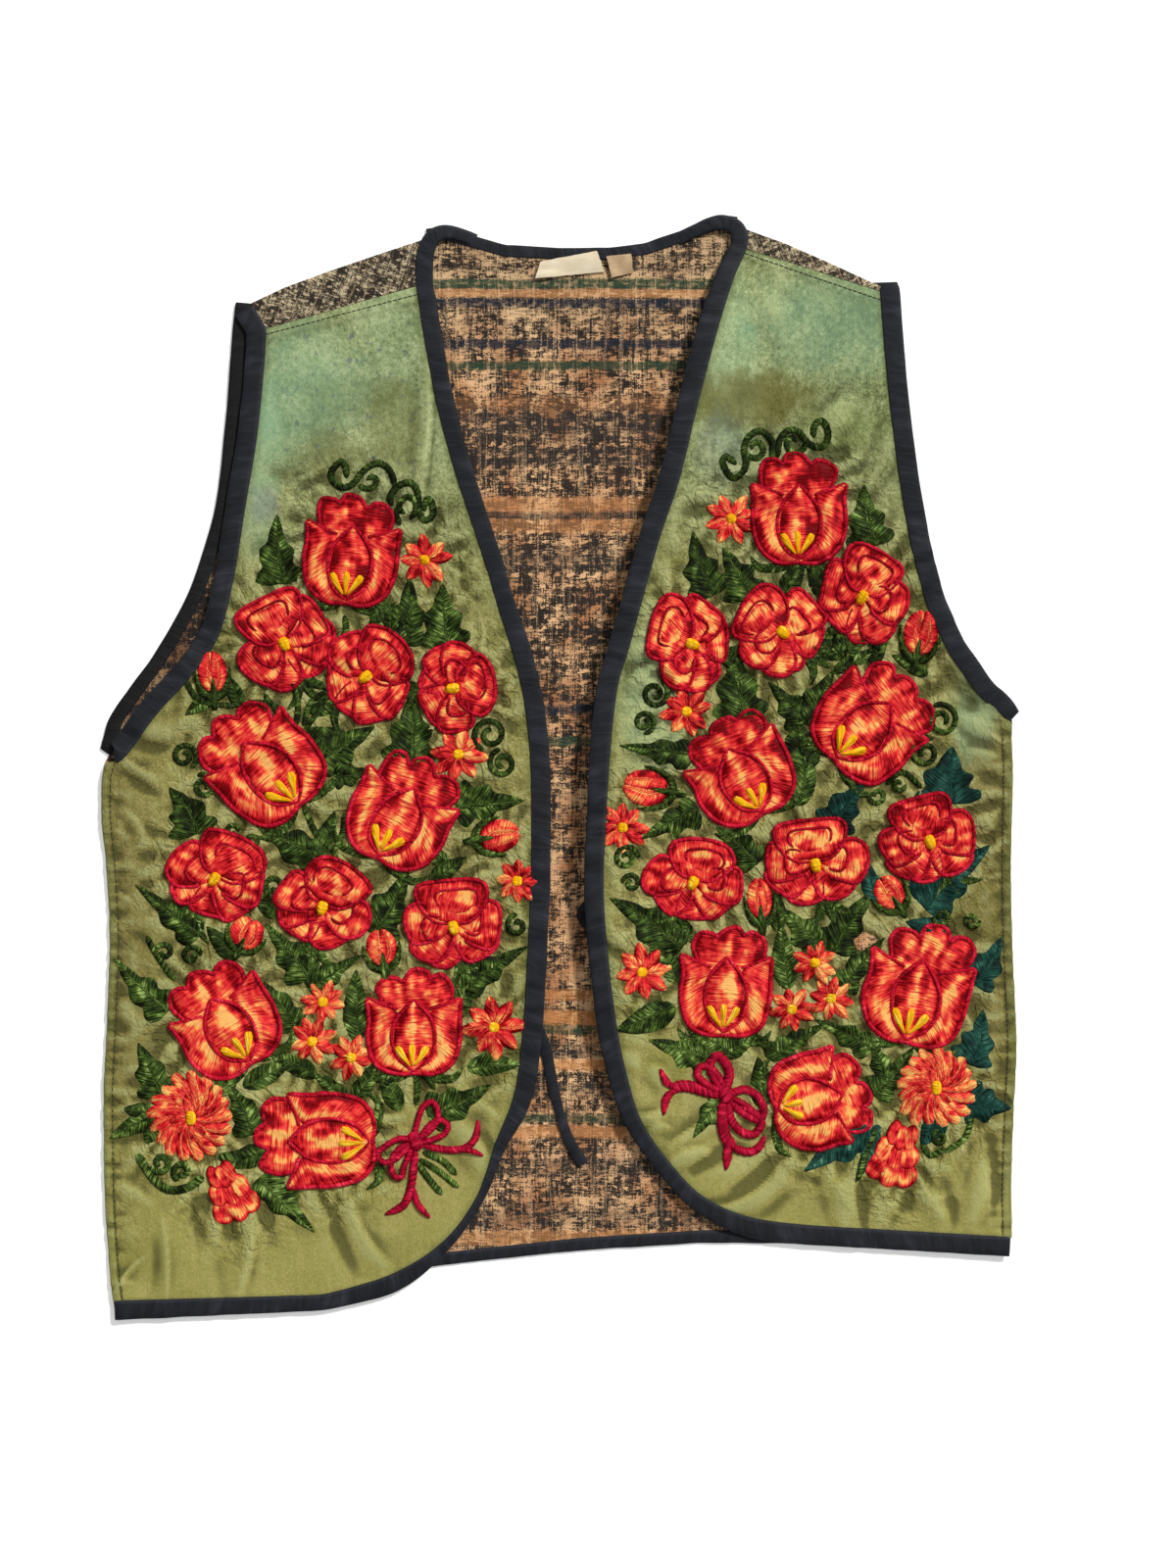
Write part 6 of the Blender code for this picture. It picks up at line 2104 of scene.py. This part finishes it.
RIGHT_LEAVES = table_of(
    Leaf,
    (-158, 122, 42, 29, 2, BROAD), (-86, 88, 42, 27, -5), (-95, 83, 25, 14, -105, LANCE),
    (-65, 85, 39, 31, 2, BROAD), (-122, 14, 42, 27, -62), (-133, 11, 29, 26, -178, BROAD),
    (-117, -2, 23, 18, -82), (-212, -25, 33, 30, 27, BROAD), (-151, -41, 49, 27, 62),
    (-84, 22, 44, 30, -2, BROAD), (-40, -19, 41, 25, -87), (-220, -80, 48, 21, 51),
    (-235, -122, 45, 24, 44), (-230, -169, 34, 24, 24, BROAD), (-153, -103, 41, 25, 37),
    (-160, -131, 41, 21, 39), (-127, -114, 37, 18, -59), (-96, -75, 44, 29, -30),
    (-114, -133, 42, 15, 1, LANCE), (-37, -112, 47, 21, -57), (-37, -167, 31, 13, -87, LANCE),
    (-153, -244, 46, 24, -136), (-57, -186, 42, 25, -65), (-180, -191, 36, 22, 25, BROAD),
    (-240, -201, 30, 12, 117, LANCE), (-236, -193, 19, 12, 75, LANCE), (-230, -204, 15, 12, 163, LANCE),
    (-98, 84, 42, 27, 12), (-163, 33, 25, 10, 62, LANCE), (-129, 36, 26, 10, -72, LANCE),
    (-183, 43, 20, 9, 20, LANCE), (-200, 37, 26, 10, 125, LANCE), (-165, -72, 27, 12, 20, LANCE),
    (-119, -72, 24, 11, -18, LANCE), (-63, -57, 27, 11, -55, LANCE), (-72, -49, 22, 10, 70, LANCE),
    (-190, -98, 26, 12, 40, LANCE), (-164, -171, 32, 13, -62, LANCE), (-150, -167, 30, 12, 66, LANCE),
    (-129, -179, 26, 11, 50, LANCE), (-110, -176, 28, 12, -30, LANCE), (-95, -180, 27, 13, 24, LANCE),
    (-176, -219, 26, 13, 110, LANCE), (-186, -172, 26, 14, -20, LANCE), (-54, -130, 26, 14, -30, LANCE),
    (-132, -37, 30, 12, -24, LANCE), (-112, -41, 22, 10, 30, LANCE),
)
LEFT_FLOWERS = (
    *table_of(
        CupBlossom,
        (134, 146, 62, 54, 0), (176, 27, 63, 60, -45), (100, 0, 58, 58, 29), (93, -119, 62, 52, -2),
        (201, -121, 68, 60, -12), (147, -185, 54, 56, -78),
    ),
    *table_of(
        RoundBlossom,
        (170, 97, 56, 50, -30, 1), (124, 77, 52, 52, 50, -1), (73, 70, 57, 46, 70, -1),
        (207, -40, 51, 55, 25, -1), (143, -53, 51, 59, 15, -1), (75, -63, 48, 56, -25, 1),
    ),
    *table_of(
        StarFlower,
        (96, 140, 30, 30), (71, 32, 31, 31), (35, -33, 30, 30), (46, -114, 33, 33), (143, -109, 26, 26),
        (152, -129, 27, 27), (130, -135, 26, 26),
    ),
    *table_of(Dahlia, (211, -179, 47, 47)),
    *table_of(
        Bud,
        (202, 75, 28, 20, -10), (49, -11, 28, 21, 80), (112, -74, 26, 15, 5), (185, -70, 21, 18, 35),
    ),
    *table_of(BellBud, (189, -215, 38, 29, -18)),
)
LEFT_LEAVES = table_of(
    Leaf,
    (80, 114, 40, 26, 17), (98, 109, 34, 27, 24), (173, 141, 38, 31, 7, BROAD),
    (100, 47, 44, 32, 8, BROAD), (54, 10, 43, 20, 82), (127, 36, 33, 20, 38),
    (146, 39, 37, 24, -26, BROAD), (62, -31, 38, 21, 117), (99, -44, 33, 22, 45), (48, -88, 52, 31, 52),
    (126, -106, 37, 15, 6, LANCE), (136, -90, 38, 25, 46), (219, -5, 36, 36, -4, BROAD, TEAL),
    (161, -21, 35, 26, -37, BROAD, TEAL), (222, -61, 54, 33, -47, LOBED, TEAL), (164, -86, 44, 26, -35),
    (170, -110, 40, 18, -39, BROAD), (239, -108, 33, 25, -33, BROAD, TEAL),
    (233, -151, 34, 27, -16, LOBED, TEAL), (240, -188, 28, 25, -101, BROAD, TEAL),
    (187, -170, 38, 21, -40), (156, -214, 46, 29, 122, LOBED, TEAL), (48, -140, 37, 16, 111, LANCE),
    (68, -158, 40, 25, 71), (172, -216, 36, 9, 159, LANCE, TEAL), (209, -203, 22, 14, 143, LANCE, TEAL),
    (131, 107, 24, 12, -32, LANCE), (144, 106, 24, 12, 26, LANCE), (155, 79, 27, 9, 10, LANCE),
    (146, 66, 27, 9, 72, LANCE), (166, 61, 31, 9, -62, LANCE), (179, 66, 22, 9, -28, LANCE),
    (196, 58, 24, 10, 60, LANCE), (134, 18, 40, 20, 8), (137, -5, 34, 15, -12, LANCE),
    (174, -62, 28, 11, 15, LANCE, TEAL), (84, -153, 30, 12, 62, LANCE), (101, -154, 28, 12, -52, LANCE),
    (118, -157, 36, 16, 52), (136, -151, 34, 15, -60), (159, -149, 38, 18, 62), (84, -196, 30, 18, 140),
    (112, -176, 30, 13, 4, LANCE), (180, -163, 32, 17, 20), (70, -45, 26, 10, 40, LANCE),
    (206, -88, 26, 12, 80, LANCE, TEAL), (122, -80, 24, 10, 0, LANCE), (60, -108, 26, 12, 20, LANCE),
)
RIGHT_VINES = (
    *table_of(
        Vine,
        (3.7, (
            (-119.6, 162.9), (-120.2, 168.4), (-122.9, 172.3), (-128.4, 166.2), (-126.8, 160.7),
            (-121.8, 157.4), (-116.3, 159.6), (-111.9, 165.1), (-107, 169.5), (-102, 171.2), (-97.1, 169),
            (-93.8, 163.5), (-93.2, 158.5),
        )),
        (3.3, (
            (-113, 159.1), (-108.6, 156.9), (-104.2, 158.5), (-103.1, 162.4), (-105.9, 163.5),
            (-108.6, 161.8),
        )),
        (3.7, (
            (-94.3, 147.5), (-95.4, 151.9), (-93.2, 156.3), (-88.8, 159.6), (-83.9, 160.2), (-80.6, 156.9),
            (-79.5, 151.4), (-79.5, 145.9), (-77.3, 140.4), (-74.5, 139.3), (-71.2, 142.6), (-71.8, 148.6),
            (-74, 151.4), (-76.2, 147.5), (-75.6, 144.2),
        )),
        (3.3, (
            (-84.4, 139.8), (-81.1, 144.2), (-81.1, 149.7), (-85.5, 152.5), (-89.4, 149.7), (-89.9, 145.3),
            (-86.6, 143.1),
        )),
        (3.3, ((-92.1, 146.4), (-91.6, 141.5), (-89.4, 136.5))),
        (3.3, ((-216, -119), (-226, -105), (-232, -94))),
        (4.6, ((-237, -216), (-229, -229), (-220, -236), (-209, -235), (-200, -229))),
        (3.2, ((-148, 24), (-158, 31), (-166, 42))), (3.2, ((-148, 24), (-147, 38), (-152, 51))),
        (3.2, ((-144, 24), (-139, 38), (-126, 45))), (3.2, ((-143, 22), (-134, 33), (-125, 34))),
        (3.3, ((-144, -20), (-137, -36), (-127, -47))), (3.3, ((-121, -25), (-122, -36), (-127, -47))),
        (3.3, ((-127, -46), (-125, -58), (-127, -66))), (3.3, ((-82, -168), (-92, -173), (-102, -180))),
        (3.3, ((-82, -168), (-80, -178), (-81, -189))), (3.3, ((-82, -168), (-75, -174), (-70, -180))),
        (3.3, ((-79, -219), (-68, -226), (-57, -235))), (3.6, ((-77, -215), (-66, -220), (-58, -228))),
        (3.6, ((-81, -220), (-73, -231), (-66, -239))), (5.0, ((-167, -213), (-180, -217), (-192, -218))),
        (3.2, ((-210, 50), (-202, 38), (-182, 35))), (3.4, ((-121, 86), (-120, 79), (-122, 71))),
        (3.4, ((-105, 90), (-97, 84), (-89, 86))),
    ),
    *table_of(
        Curl,
        (-39, 19, 11.1, 1.5, 250, -1, 3.1), (-32, 3, 9.2, 1.5, 100, 1, 3.0),
        (-211, 7, 8.6, 1.5, 300, 1, 3.0), (-200, -10, 8.1, 1.5, 120, -1, 3.0),
        (-222, -103, 6.2, 1.1, 180, -1, 3.0), (-207, -105, 6.8, 1.2, 0, 1, 3.0),
        (-160, -66, 7.4, 1.2, 270, -1, 3.0), (-224, -221, 7.2, 1.2, 200, 1, 3.6),
        (-212, -226, 6.6, 1.2, 250, -1, 3.6), (-24, -88, 7.4, 1.2, 90, 1, 3.0),
        (-184, -35, 4.9, 1.0, 0, 1, 2.7), (-172, -41, 4.9, 1.0, 180, -1, 2.7),
    ),
)
LEFT_VINES = (
    *table_of(
        Vine,
        (3.7, (
            (98.7, 170.1), (96, 172.8), (92.7, 174.5), (91, 171.2), (94.3, 164.6), (98.2, 162.9),
            (103.1, 167.3), (104.2, 172.8), (103.1, 178.3), (104.8, 184.4), (108.6, 188.2), (112.5, 189.3),
            (116.9, 186.6), (119.1, 182.2), (119.1, 177.8), (119.6, 172.8),
        )),
        (3.3, (
            (103.7, 177.2), (107, 174.5), (111.4, 174.5), (114.1, 178.3), (111.9, 182.7), (108.1, 182.2),
            (107.5, 178.9),
        )),
        (3.7, (
            (121.8, 173.9), (122.4, 181.1), (124.6, 186.6), (129, 189.9), (133.9, 188.8), (137.2, 184.4),
            (140.5, 181.6), (144.9, 180.5), (148.8, 181.6), (150.4, 187.7), (148.2, 193.7), (144.9, 194.8),
            (142.2, 190.4), (142.7, 185.5),
        )),
        (3.3, (
            (137.2, 183.8), (136.7, 179.4), (132.3, 177.2), (127.9, 179.4), (127.3, 183.8), (130.6, 186),
            (132.8, 183.3),
        )),
        (3.2, ((183, -9), (192, -2), (203, -11))), (3.2, ((203, -211), (208, -217), (216, -213))),
        (3.4, ((216, -215), (227, -207), (231, -195))), (3.3, ((137, 64), (150, 71), (160, 62))),
        (3.3, ((161, 57), (170, 71), (181, 66))), (3.3, ((138, 115), (132, 108), (128, 101))),
        (3.3, ((138, 115), (143, 108), (148, 101))), (3.4, ((178, -201), (171, -218), (167, -231))),
        (3.2, ((160, 62), (163, 52), (160, 44))), (3.2, ((150, 79), (158, 71), (160, 62))),
    ),
    *table_of(
        Curl,
        (53, 42, 9.2, 1.5, 60, -1, 3.0), (47, 26, 7.4, 1.5, 270, 1, 2.8),
        (214, 27, 10.5, 1.5, 120, -1, 3.0), (205, 9, 9.9, 1.5, 60, 1, 3.0),
        (178, -15, 6.2, 1.1, 180, 1, 2.8), (190, -9, 4.9, 1.0, 0, -1, 2.7), (37, -50, 8.1, 1.5, 0, 1, 3.0),
        (40, -64, 6.2, 1.3, 180, -1, 2.7), (214, -83, 6.2, 1.2, 180, 1, 2.8),
        (231, -85, 5.6, 1.2, 0, -1, 2.7), (213, -207, 5.6, 1.2, 90, 1, 2.8),
        (139, 13, 6.2, 1.2, 270, -1, 2.8),
    ),
)
RIGHT_BOW = table_of(
    Vine,
    (3.4, (
        (-82, -207), (-80, -198), (-77, -190), (-72, -187), (-69, -191), (-69, -198), (-74, -204),
        (-79, -208),
    ), BOW, 2.4),
    (3.4, (
        (-79, -208), (-74, -201), (-68, -197), (-63, -200), (-65, -205), (-71, -208), (-78, -210),
    ), BOW, 2.6),
    (3.4, (
        (-83, -208), (-91, -208), (-101, -214), (-102, -218), (-98, -221), (-91, -218), (-84, -211),
    ), BOW, 2.4),
    (3.4, (
        (-84, -210), (-91, -214), (-95, -222), (-93, -229), (-89, -229), (-87, -222), (-83, -213),
    ), BOW, 2.6),
    (4.0, ((-79, -211), (-69, -213), (-60, -214), (-52, -212), (-47, -206), (-46, -197)), BOW, 2.2, 9.0),
    (3.2, ((-62, -214), (-51, -214), (-43, -217)), BOW, 2.1, 6.0),
    (4.4, ((-81, -212), (-82, -223), (-84, -236), (-88, -245), (-98, -250)), BOW, 2.3, 9.0),
    (3.6, ((-83, -233), (-80, -244), (-73, -252)), BOW, 2.2, 7.0),
    (7.6, ((-84, -204), (-81, -209), (-79, -214)), BOW, 3.2, 2.0),
)
LEFT_BOW = table_of(
    Vine,
    (5.2, ((93, -180), (95, -171), (92, -164), (88, -161), (84, -166), (87, -174), (92, -181)), BOW, 2.4),
    (4.2, ((90, -181), (82, -177), (77, -172), (79, -167), (84, -168), (89, -173), (92, -180)), BOW, 2.8),
    (4.4, (
        (95, -183), (103, -180), (110, -183), (114, -190), (112, -197), (104, -194), (96, -187),
    ), BOW, 2.4),
    (3.4, ((96, -185), (101, -187), (107, -191), (111, -196)), BOW, 2.6),
    (4.6, (
        (94, -187), (96, -197), (102, -204), (109, -205), (113, -199), (110, -194), (101, -189),
    ), BOW, 2.6),
    (6.4, ((92, -183), (82, -181), (71, -178), (62, -179)), BOW, 2.2, 4.0),
    (4.6, ((66, -179), (60, -176), (56, -168)), BOW, 2.1, 9.0),
    (4.6, ((67, -179), (60, -184), (58, -194)), BOW, 2.1, 9.0),
    (6.4, ((92, -186), (91, -197), (93, -207), (98, -213)), BOW, 2.3, 4.0),
    (4.6, ((94, -211), (104, -215), (111, -213), (115, -206)), BOW, 2.2, 8.0),
    (5.0, ((94, -208), (94, -217), (93, -225)), BOW, 2.2, 8.0),
    (9.0, ((91, -178), (93, -183), (95, -188)), BOW, 3.2, 2.5),
)


# The ties, from each front's edge to their free ends
RIGHT_TIE = (
    (-13.0, -145.0, 1.5, 6.6), (-8.0, -158.0, 1.5, 6.6), (-4.5, -176.0, 1.5, 6.2),
    (0.5, -196.0, 1.5, 5.6), (5.5, -210.0, 1.5, 6.6), (13.0, -222.0, 1.5, 6.6),
)
LEFT_TIE = (
    (26.0, -73.0, 9.6, 5.5), (18.0, -74.5, 6.0, 5.5), (12.5, -80.0, 2.6, 5.5), (14.0, -87.0, 1.5, 5.5),
    (22.0, -93.0, 1.5, 5.5), (32.0, -110.0, 1.5, 5.5), (38.0, -130.0, 1.5, 5.5), (41.0, -146.0, 1.5, 5.5),
)
# Heights up the back, and the width of each armhole's binding there
RIGHT_BACK_BANDS = (
    (4.0, 5.0), (12.0, 8.0), (40.0, 7.2), (150.0, 7.6),
    (230.0, 9.0), (258.0, 9.2), (264.0, 8.5), (268.0, 6.0),
)
LEFT_BACK_BANDS = ((14.0, 1.0), (22.0, 2.4), (31.0, 6.5), (42.0, 10.5))
# Where each front edge's binding goes on past the shoulder seam and turns along the neck
RIGHT_TURN = (
    (-80.4, 280.0, 2.6, 9.3), (-79.4, 290.0, 3.1, 9.0), (-75.8, 298.6, 3.3, 8.6), (-69.5, 303.4, 3.1, 7.8),
    (-62.0, 304.2, 2.4, 7.0), (-53.5, 302.0, 1.3, 6.6), (-46.5, 299.4, 0.5, 6.4),
)
LEFT_TURN = (
    (104.9, 298.0, 2.8, 9.3), (103.2, 303.8, 3.2, 9.0), (98.5, 308.0, 3.2, 8.4), (90.5, 310.0, 2.8, 7.6),
    (82.5, 308.2, 2.0, 7.0), (74.5, 304.5, 1.2, 6.6), (64.5, 299.9, 0.5, 6.4),
)
LABEL_MAIN = ((-11.0, 284.5), (20.5, 290.5), (-14.0, 275.0), (25.0, 279.0))
LABEL_SIDE = ((26.0, 287.5), (40.0, 289.0), (29.0, 275.5), (41.0, 278.5))
# The left armhole's binding starts at these places: x, y and width
LEFT_FOOT = ((252.6, 26.6, 7.4), (248.0, 30.8, 9.4), (242.6, 35.4, 10.2))
# The back's armhole bindings start at this line of its table
BACK_ARMHOLE_LINE = 7.4


@dataclass
class SideRoll:
    """The cotton of a front rolled round its side seam, down to the back."""

    panel: FrontPanel
    steps: int = 8
    inside: float = 1.2
    bulge: float = 0.25
    above: int = 3

    def build(self) -> bpy.types.Object:
        """Makes the roll, from the hem to a little above the armhole's foot."""
        panel = self.panel
        last = int(np.argmin(panel.sewn)) + self.above
        outward = math.copysign(1.0, panel.x[0, 0] - panel.x[0, -1])
        angle = np.linspace(0.0, math.pi, self.steps + 1)[None, :]
        high = panel.z[:last, 0:1]
        bulge = np.sin(angle) * self.bulge * high * (1.0 + 0.2 * rough(panel.y[:last, 0:1] / 7.0, 0.0, 3.0))
        x = panel.x[:last, 0:1] + outward * (bulge - self.inside * (np.abs(np.cos(angle)) > 0.99))
        z = 0.5 * high * (1.0 + np.cos(angle)) + 0.02
        points = as_points(x, panel.y[:last, 0:1], z)
        faces = grid_faces(last, self.steps + 1, ring=True)
        if outward < 0:
            faces = faces[:, ::-1]
        layers = {"weave": points[:, :2] + points[:, 2:3] * [[1.0, 0.0]]}
        for layer, figures in (("tone", panel.tone), ("near", panel.near)):
            layers[layer] = np.repeat(figures[:last, 0], self.steps + 1, axis=0)
        return make_piece(f"{panel.name}_side_roll", points, faces, layers, panel.finish)


@dataclass
class Front:
    """One front with everything that is sewn on it.

    outward is 1 for the right front and -1 for the left. over is where its edge's binding goes on past the
    shoulder seam.
    """

    panel: FrontPanel
    back: BackPanel
    outward: int
    shoulder: int
    over: tuple[Station, ...]
    leaves: tuple[Leaf, ...]
    vines: tuple[Union[Vine, Curl], ...]
    bow: tuple[Vine, ...]
    tie: tuple[Station, ...]
    threads: dict[Thread, SatinThread]
    binding: BindingCloth
    sewing: SewingThread
    band: float = 10.5
    side_stitch: float = 4.4
    seam_stitch_rows: int = 2

    def bands(self) -> list[bpy.types.Object]:
        """Makes the binding of the hem and front edge and that of the armhole, carried over the shoulder."""
        name = self.panel.name
        edge = self.panel.edge(self.band)
        edge += [tuple(station) for station in along_path((edge[-1], *self.over), 2.0)[1:]]
        flap = self.back.flap_edge(self.shoulder, -self.shoulder, self.band)
        opening = self.panel.armhole(self.band) + flap[1:]
        solid = f"{name.split('_')[0]}_armhole_front_binding"
        return [
            Binding(f"{name}_edge_band", edge, self.binding, f"{name}_binding", -self.outward).build(),
            Binding(f"{name}_armhole_band", opening, self.binding, solid, self.outward).build(),
        ]

    def embroidery(self) -> list[bpy.types.Object]:
        """Lays the stems, leaves, flowers and bow on the cloth, and makes a piece of each thread."""
        hoop = Hoop(self.panel)
        for motif in (*self.vines, *self.leaves, *self.panel.flowers, *self.bow):
            motif.sew(hoop)
        return hoop.build(self.threads)

    def stitches(self) -> bpy.types.Object:
        """Sews the rows beside the side seam and below the shoulder seam."""
        panel = self.panel
        last = int(np.argmin(panel.sewn)) - 4
        rows = Topstitch(f"{panel.name}_topstitch", self.sewing)
        rows.sew(panel.inside(self.side_stitch, slice(3, last, 4)), panel)
        low = panel.along - 1 - self.seam_stitch_rows
        rows.sew(np.stack([panel.x[low, 2:-2:4], panel.y[low, 2:-2:4]], axis=1), panel)
        return rows.build()

    def build(self) -> tuple[bpy.types.Object, list[bpy.types.Object]]:
        """Makes the cloth, then the pieces on it."""
        cloth = self.panel.build()
        pieces = [SideRoll(self.panel).build(), *self.bands(), *self.embroidery(), self.stitches()]
        name = f"{self.panel.name.split('_')[0]}_tie"
        pieces.append(Tie(f"{name}_strip", self.tie, self.binding, name).build())
        return cloth, pieces


@dataclass
class Studio:
    """The floor, the lamp, the air and the camera straight above."""

    camera_at: tuple[float, float, float] = (16.695, -9.075, 1714.0)
    lens: float = 70.0
    sensor: float = 36.0
    clip: tuple[float, float] = (0.05, 20.0)
    floor_side: float = 6000.0
    floor_low: float = 0.2
    floor_glow: float = 0.3
    lamp_way: tuple[float, float, float] = (1.0, 1.15, 1.25)
    lamp_strength: float = 3.3
    lamp_spread: float = 9.0
    lamp_colour: tuple[float, float, float] = (1.0, 0.99, 0.965)
    air: float = 0.38

    def build(self) -> None:
        """Makes them all."""
        self.floor()
        self.lamp()
        world = bpy.data.worlds.new("air")
        world.use_nodes = True
        ground = world.node_tree.nodes["Background"]
        ground.inputs["Color"].default_value = (1.0, 1.0, 1.0, 1.0)
        ground.inputs["Strength"].default_value = self.air
        bpy.context.scene.world = world
        self.camera()

    def floor(self) -> None:
        """Lays the pale floor."""
        half, low = 0.5 * self.floor_side * MM, -self.floor_low * MM
        mesh = bpy.data.meshes.new("floor")
        corners = [(x * half, y * half, low) for x, y in ((-1, -1), (1, -1), (1, 1), (-1, 1))]
        mesh.from_pydata(corners, [], [(0, 1, 2, 3)])
        floor = bpy.data.objects.new("floor", mesh)
        bpy.context.scene.collection.objects.link(floor)
        shader = Shader("pale_floor")
        glow = {"Emission_Color": ink("FFFFFF"), "Emission_Strength": self.floor_glow}
        mesh.materials.append(shader.dress(Base_Color=ink("FDFDFD"), Roughness=0.9, **glow))

    def lamp(self) -> None:
        """Hangs the far, soft lamp."""
        lamp = bpy.data.lights.new("key", "SUN")
        lamp.energy = self.lamp_strength
        lamp.angle = math.radians(self.lamp_spread)
        lamp.color = self.lamp_colour
        holder = bpy.data.objects.new("key", lamp)
        holder.location = Vector(self.lamp_way)
        holder.rotation_euler = (-Vector(self.lamp_way)).to_track_quat("-Z", "Y").to_euler()
        bpy.context.scene.collection.objects.link(holder)

    def camera(self) -> None:
        """Hangs the camera and sets how its picture is shown."""
        scene = bpy.context.scene
        data = bpy.data.cameras.new("camera")
        data.lens = self.lens
        data.sensor_width = self.sensor
        data.clip_start, data.clip_end = self.clip
        camera = bpy.data.objects.new("camera", data)
        camera.location = Vector(self.camera_at) * MM
        scene.collection.objects.link(camera)
        scene.camera = camera
        scene.view_settings.view_transform = "Standard"


def report(name: str, cloth: bpy.types.Object, pieces: Sequence[bpy.types.Object]) -> None:
    """Lets a cloth and the pieces on it ride, and reports them.

    Args:
        name: What they are.
        cloth: The cloth.
        pieces: What is sewn on it.
    """
    area = 0.5 * sum(face.area for face in cloth.data.polygons)
    LOG.info("%s: cloth of %.4f m2 with %d pieces on it", name, area, len(pieces))
    for piece in (cloth, *pieces):
        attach(piece, "root")
        LOG.info("  %s: %d faces", piece.name, len(piece.data.polygons))


def back_trim(back: BackPanel, band: BindingCloth, shaded: BindingCloth) -> list[bpy.types.Object]:
    """Makes what is sewn on the back.

    Args:
        back: The back.
        band: The cloth of its neck's and hem's bindings.
        shaded: The cloth of its armholes' bindings, darker because the fronts lie over them.

    Returns:
        The pieces.
    """
    first, last = int(np.argmax(back.places >= BACK_ARMHOLE_LINE)), len(back.shares) - 1
    up, every = slice(first, None), slice(None)
    neck = slice(back.columns[0], back.columns[0] + back.columns[1] + 1)
    lines = (
        ("back_neck", back.on_floor(slice(-1, None), neck, ((0.0, 6.0),))[1:-1], 1, band),
        ("back_hem", back.on_floor(slice(0, 1), every, ((0.0, 6.5),)), -1, band),
        ("right_armhole_back", back.on_floor(up, slice(0, 1), RIGHT_BACK_BANDS), 1, shaded),
        ("left_armhole_back", back.on_floor(up, slice(last, None), LEFT_BACK_BANDS), -1, shaded),
    )
    pieces = [
        Binding(f"{name}_band", stations, cloth, f"{name}_binding", side, 2.0).build()
        for name, stations, side, cloth in lines
    ]
    cream, tan = LabelTape("cream_tape", "D8C7A6", "F1E5CC"), LabelTape("tan_tape", "A98A66", "D6BC98")
    pieces.append(Label("label_main", LABEL_MAIN, cream, "cream").build())
    pieces.append(Label("label_side", LABEL_SIDE, tan, "tan").build())
    return pieces


def main() -> None:
    """Makes the back, the two fronts and what is sewn on them, then the studio."""
    logging.basicConfig(level=logging.INFO, format="%(message)s", stream=sys.stdout)
    band, sewing = BindingCloth(), SewingThread()
    shaded = BindingCloth("shaded_binding", "040405", "0B0B0D", "1B1B1F")
    threads = {
        Thread.PETAL: PETAL_THREAD,
        Thread.OUTLINE: OUTLINE_THREAD,
        Thread.LEAF: LEAF_THREAD,
        Thread.TEAL: TEAL_THREAD,
        Thread.STAMEN: STAMEN_THREAD,
        Thread.BOW: BOW_THREAD,
    }
    back = BackPanel(IkatWeave(), RIGHT_LINES[-1], LEFT_LINES[-1])
    cloth = back.build()
    trim = back_trim(back, band, shaded)
    report("back", cloth, trim)

    right = FrontPanel("right_front", RIGHT_LINES, RIGHT_FOLDS, RIGHT_FLOWERS, RIGHT_OLIVE, 10.8)
    left = FrontPanel("left_front", LEFT_LINES, LEFT_FOLDS, LEFT_FLOWERS, LEFT_OLIVE, 12.0, -1, LEFT_FOOT)
    cloths = (threads, band, sewing)
    fronts = (
        Front(right, back, 1, 0, RIGHT_TURN, RIGHT_LEAVES, RIGHT_VINES, RIGHT_BOW, RIGHT_TIE, *cloths),
        Front(left, back, -1, 1, LEFT_TURN, LEFT_LEAVES, LEFT_VINES, LEFT_BOW, LEFT_TIE, *cloths),
    )
    for front in fronts:
        panel, sewn = front.build()
        report(front.panel.name, panel, sewn)

    Studio().build()


if __name__ == "__main__":
    main()
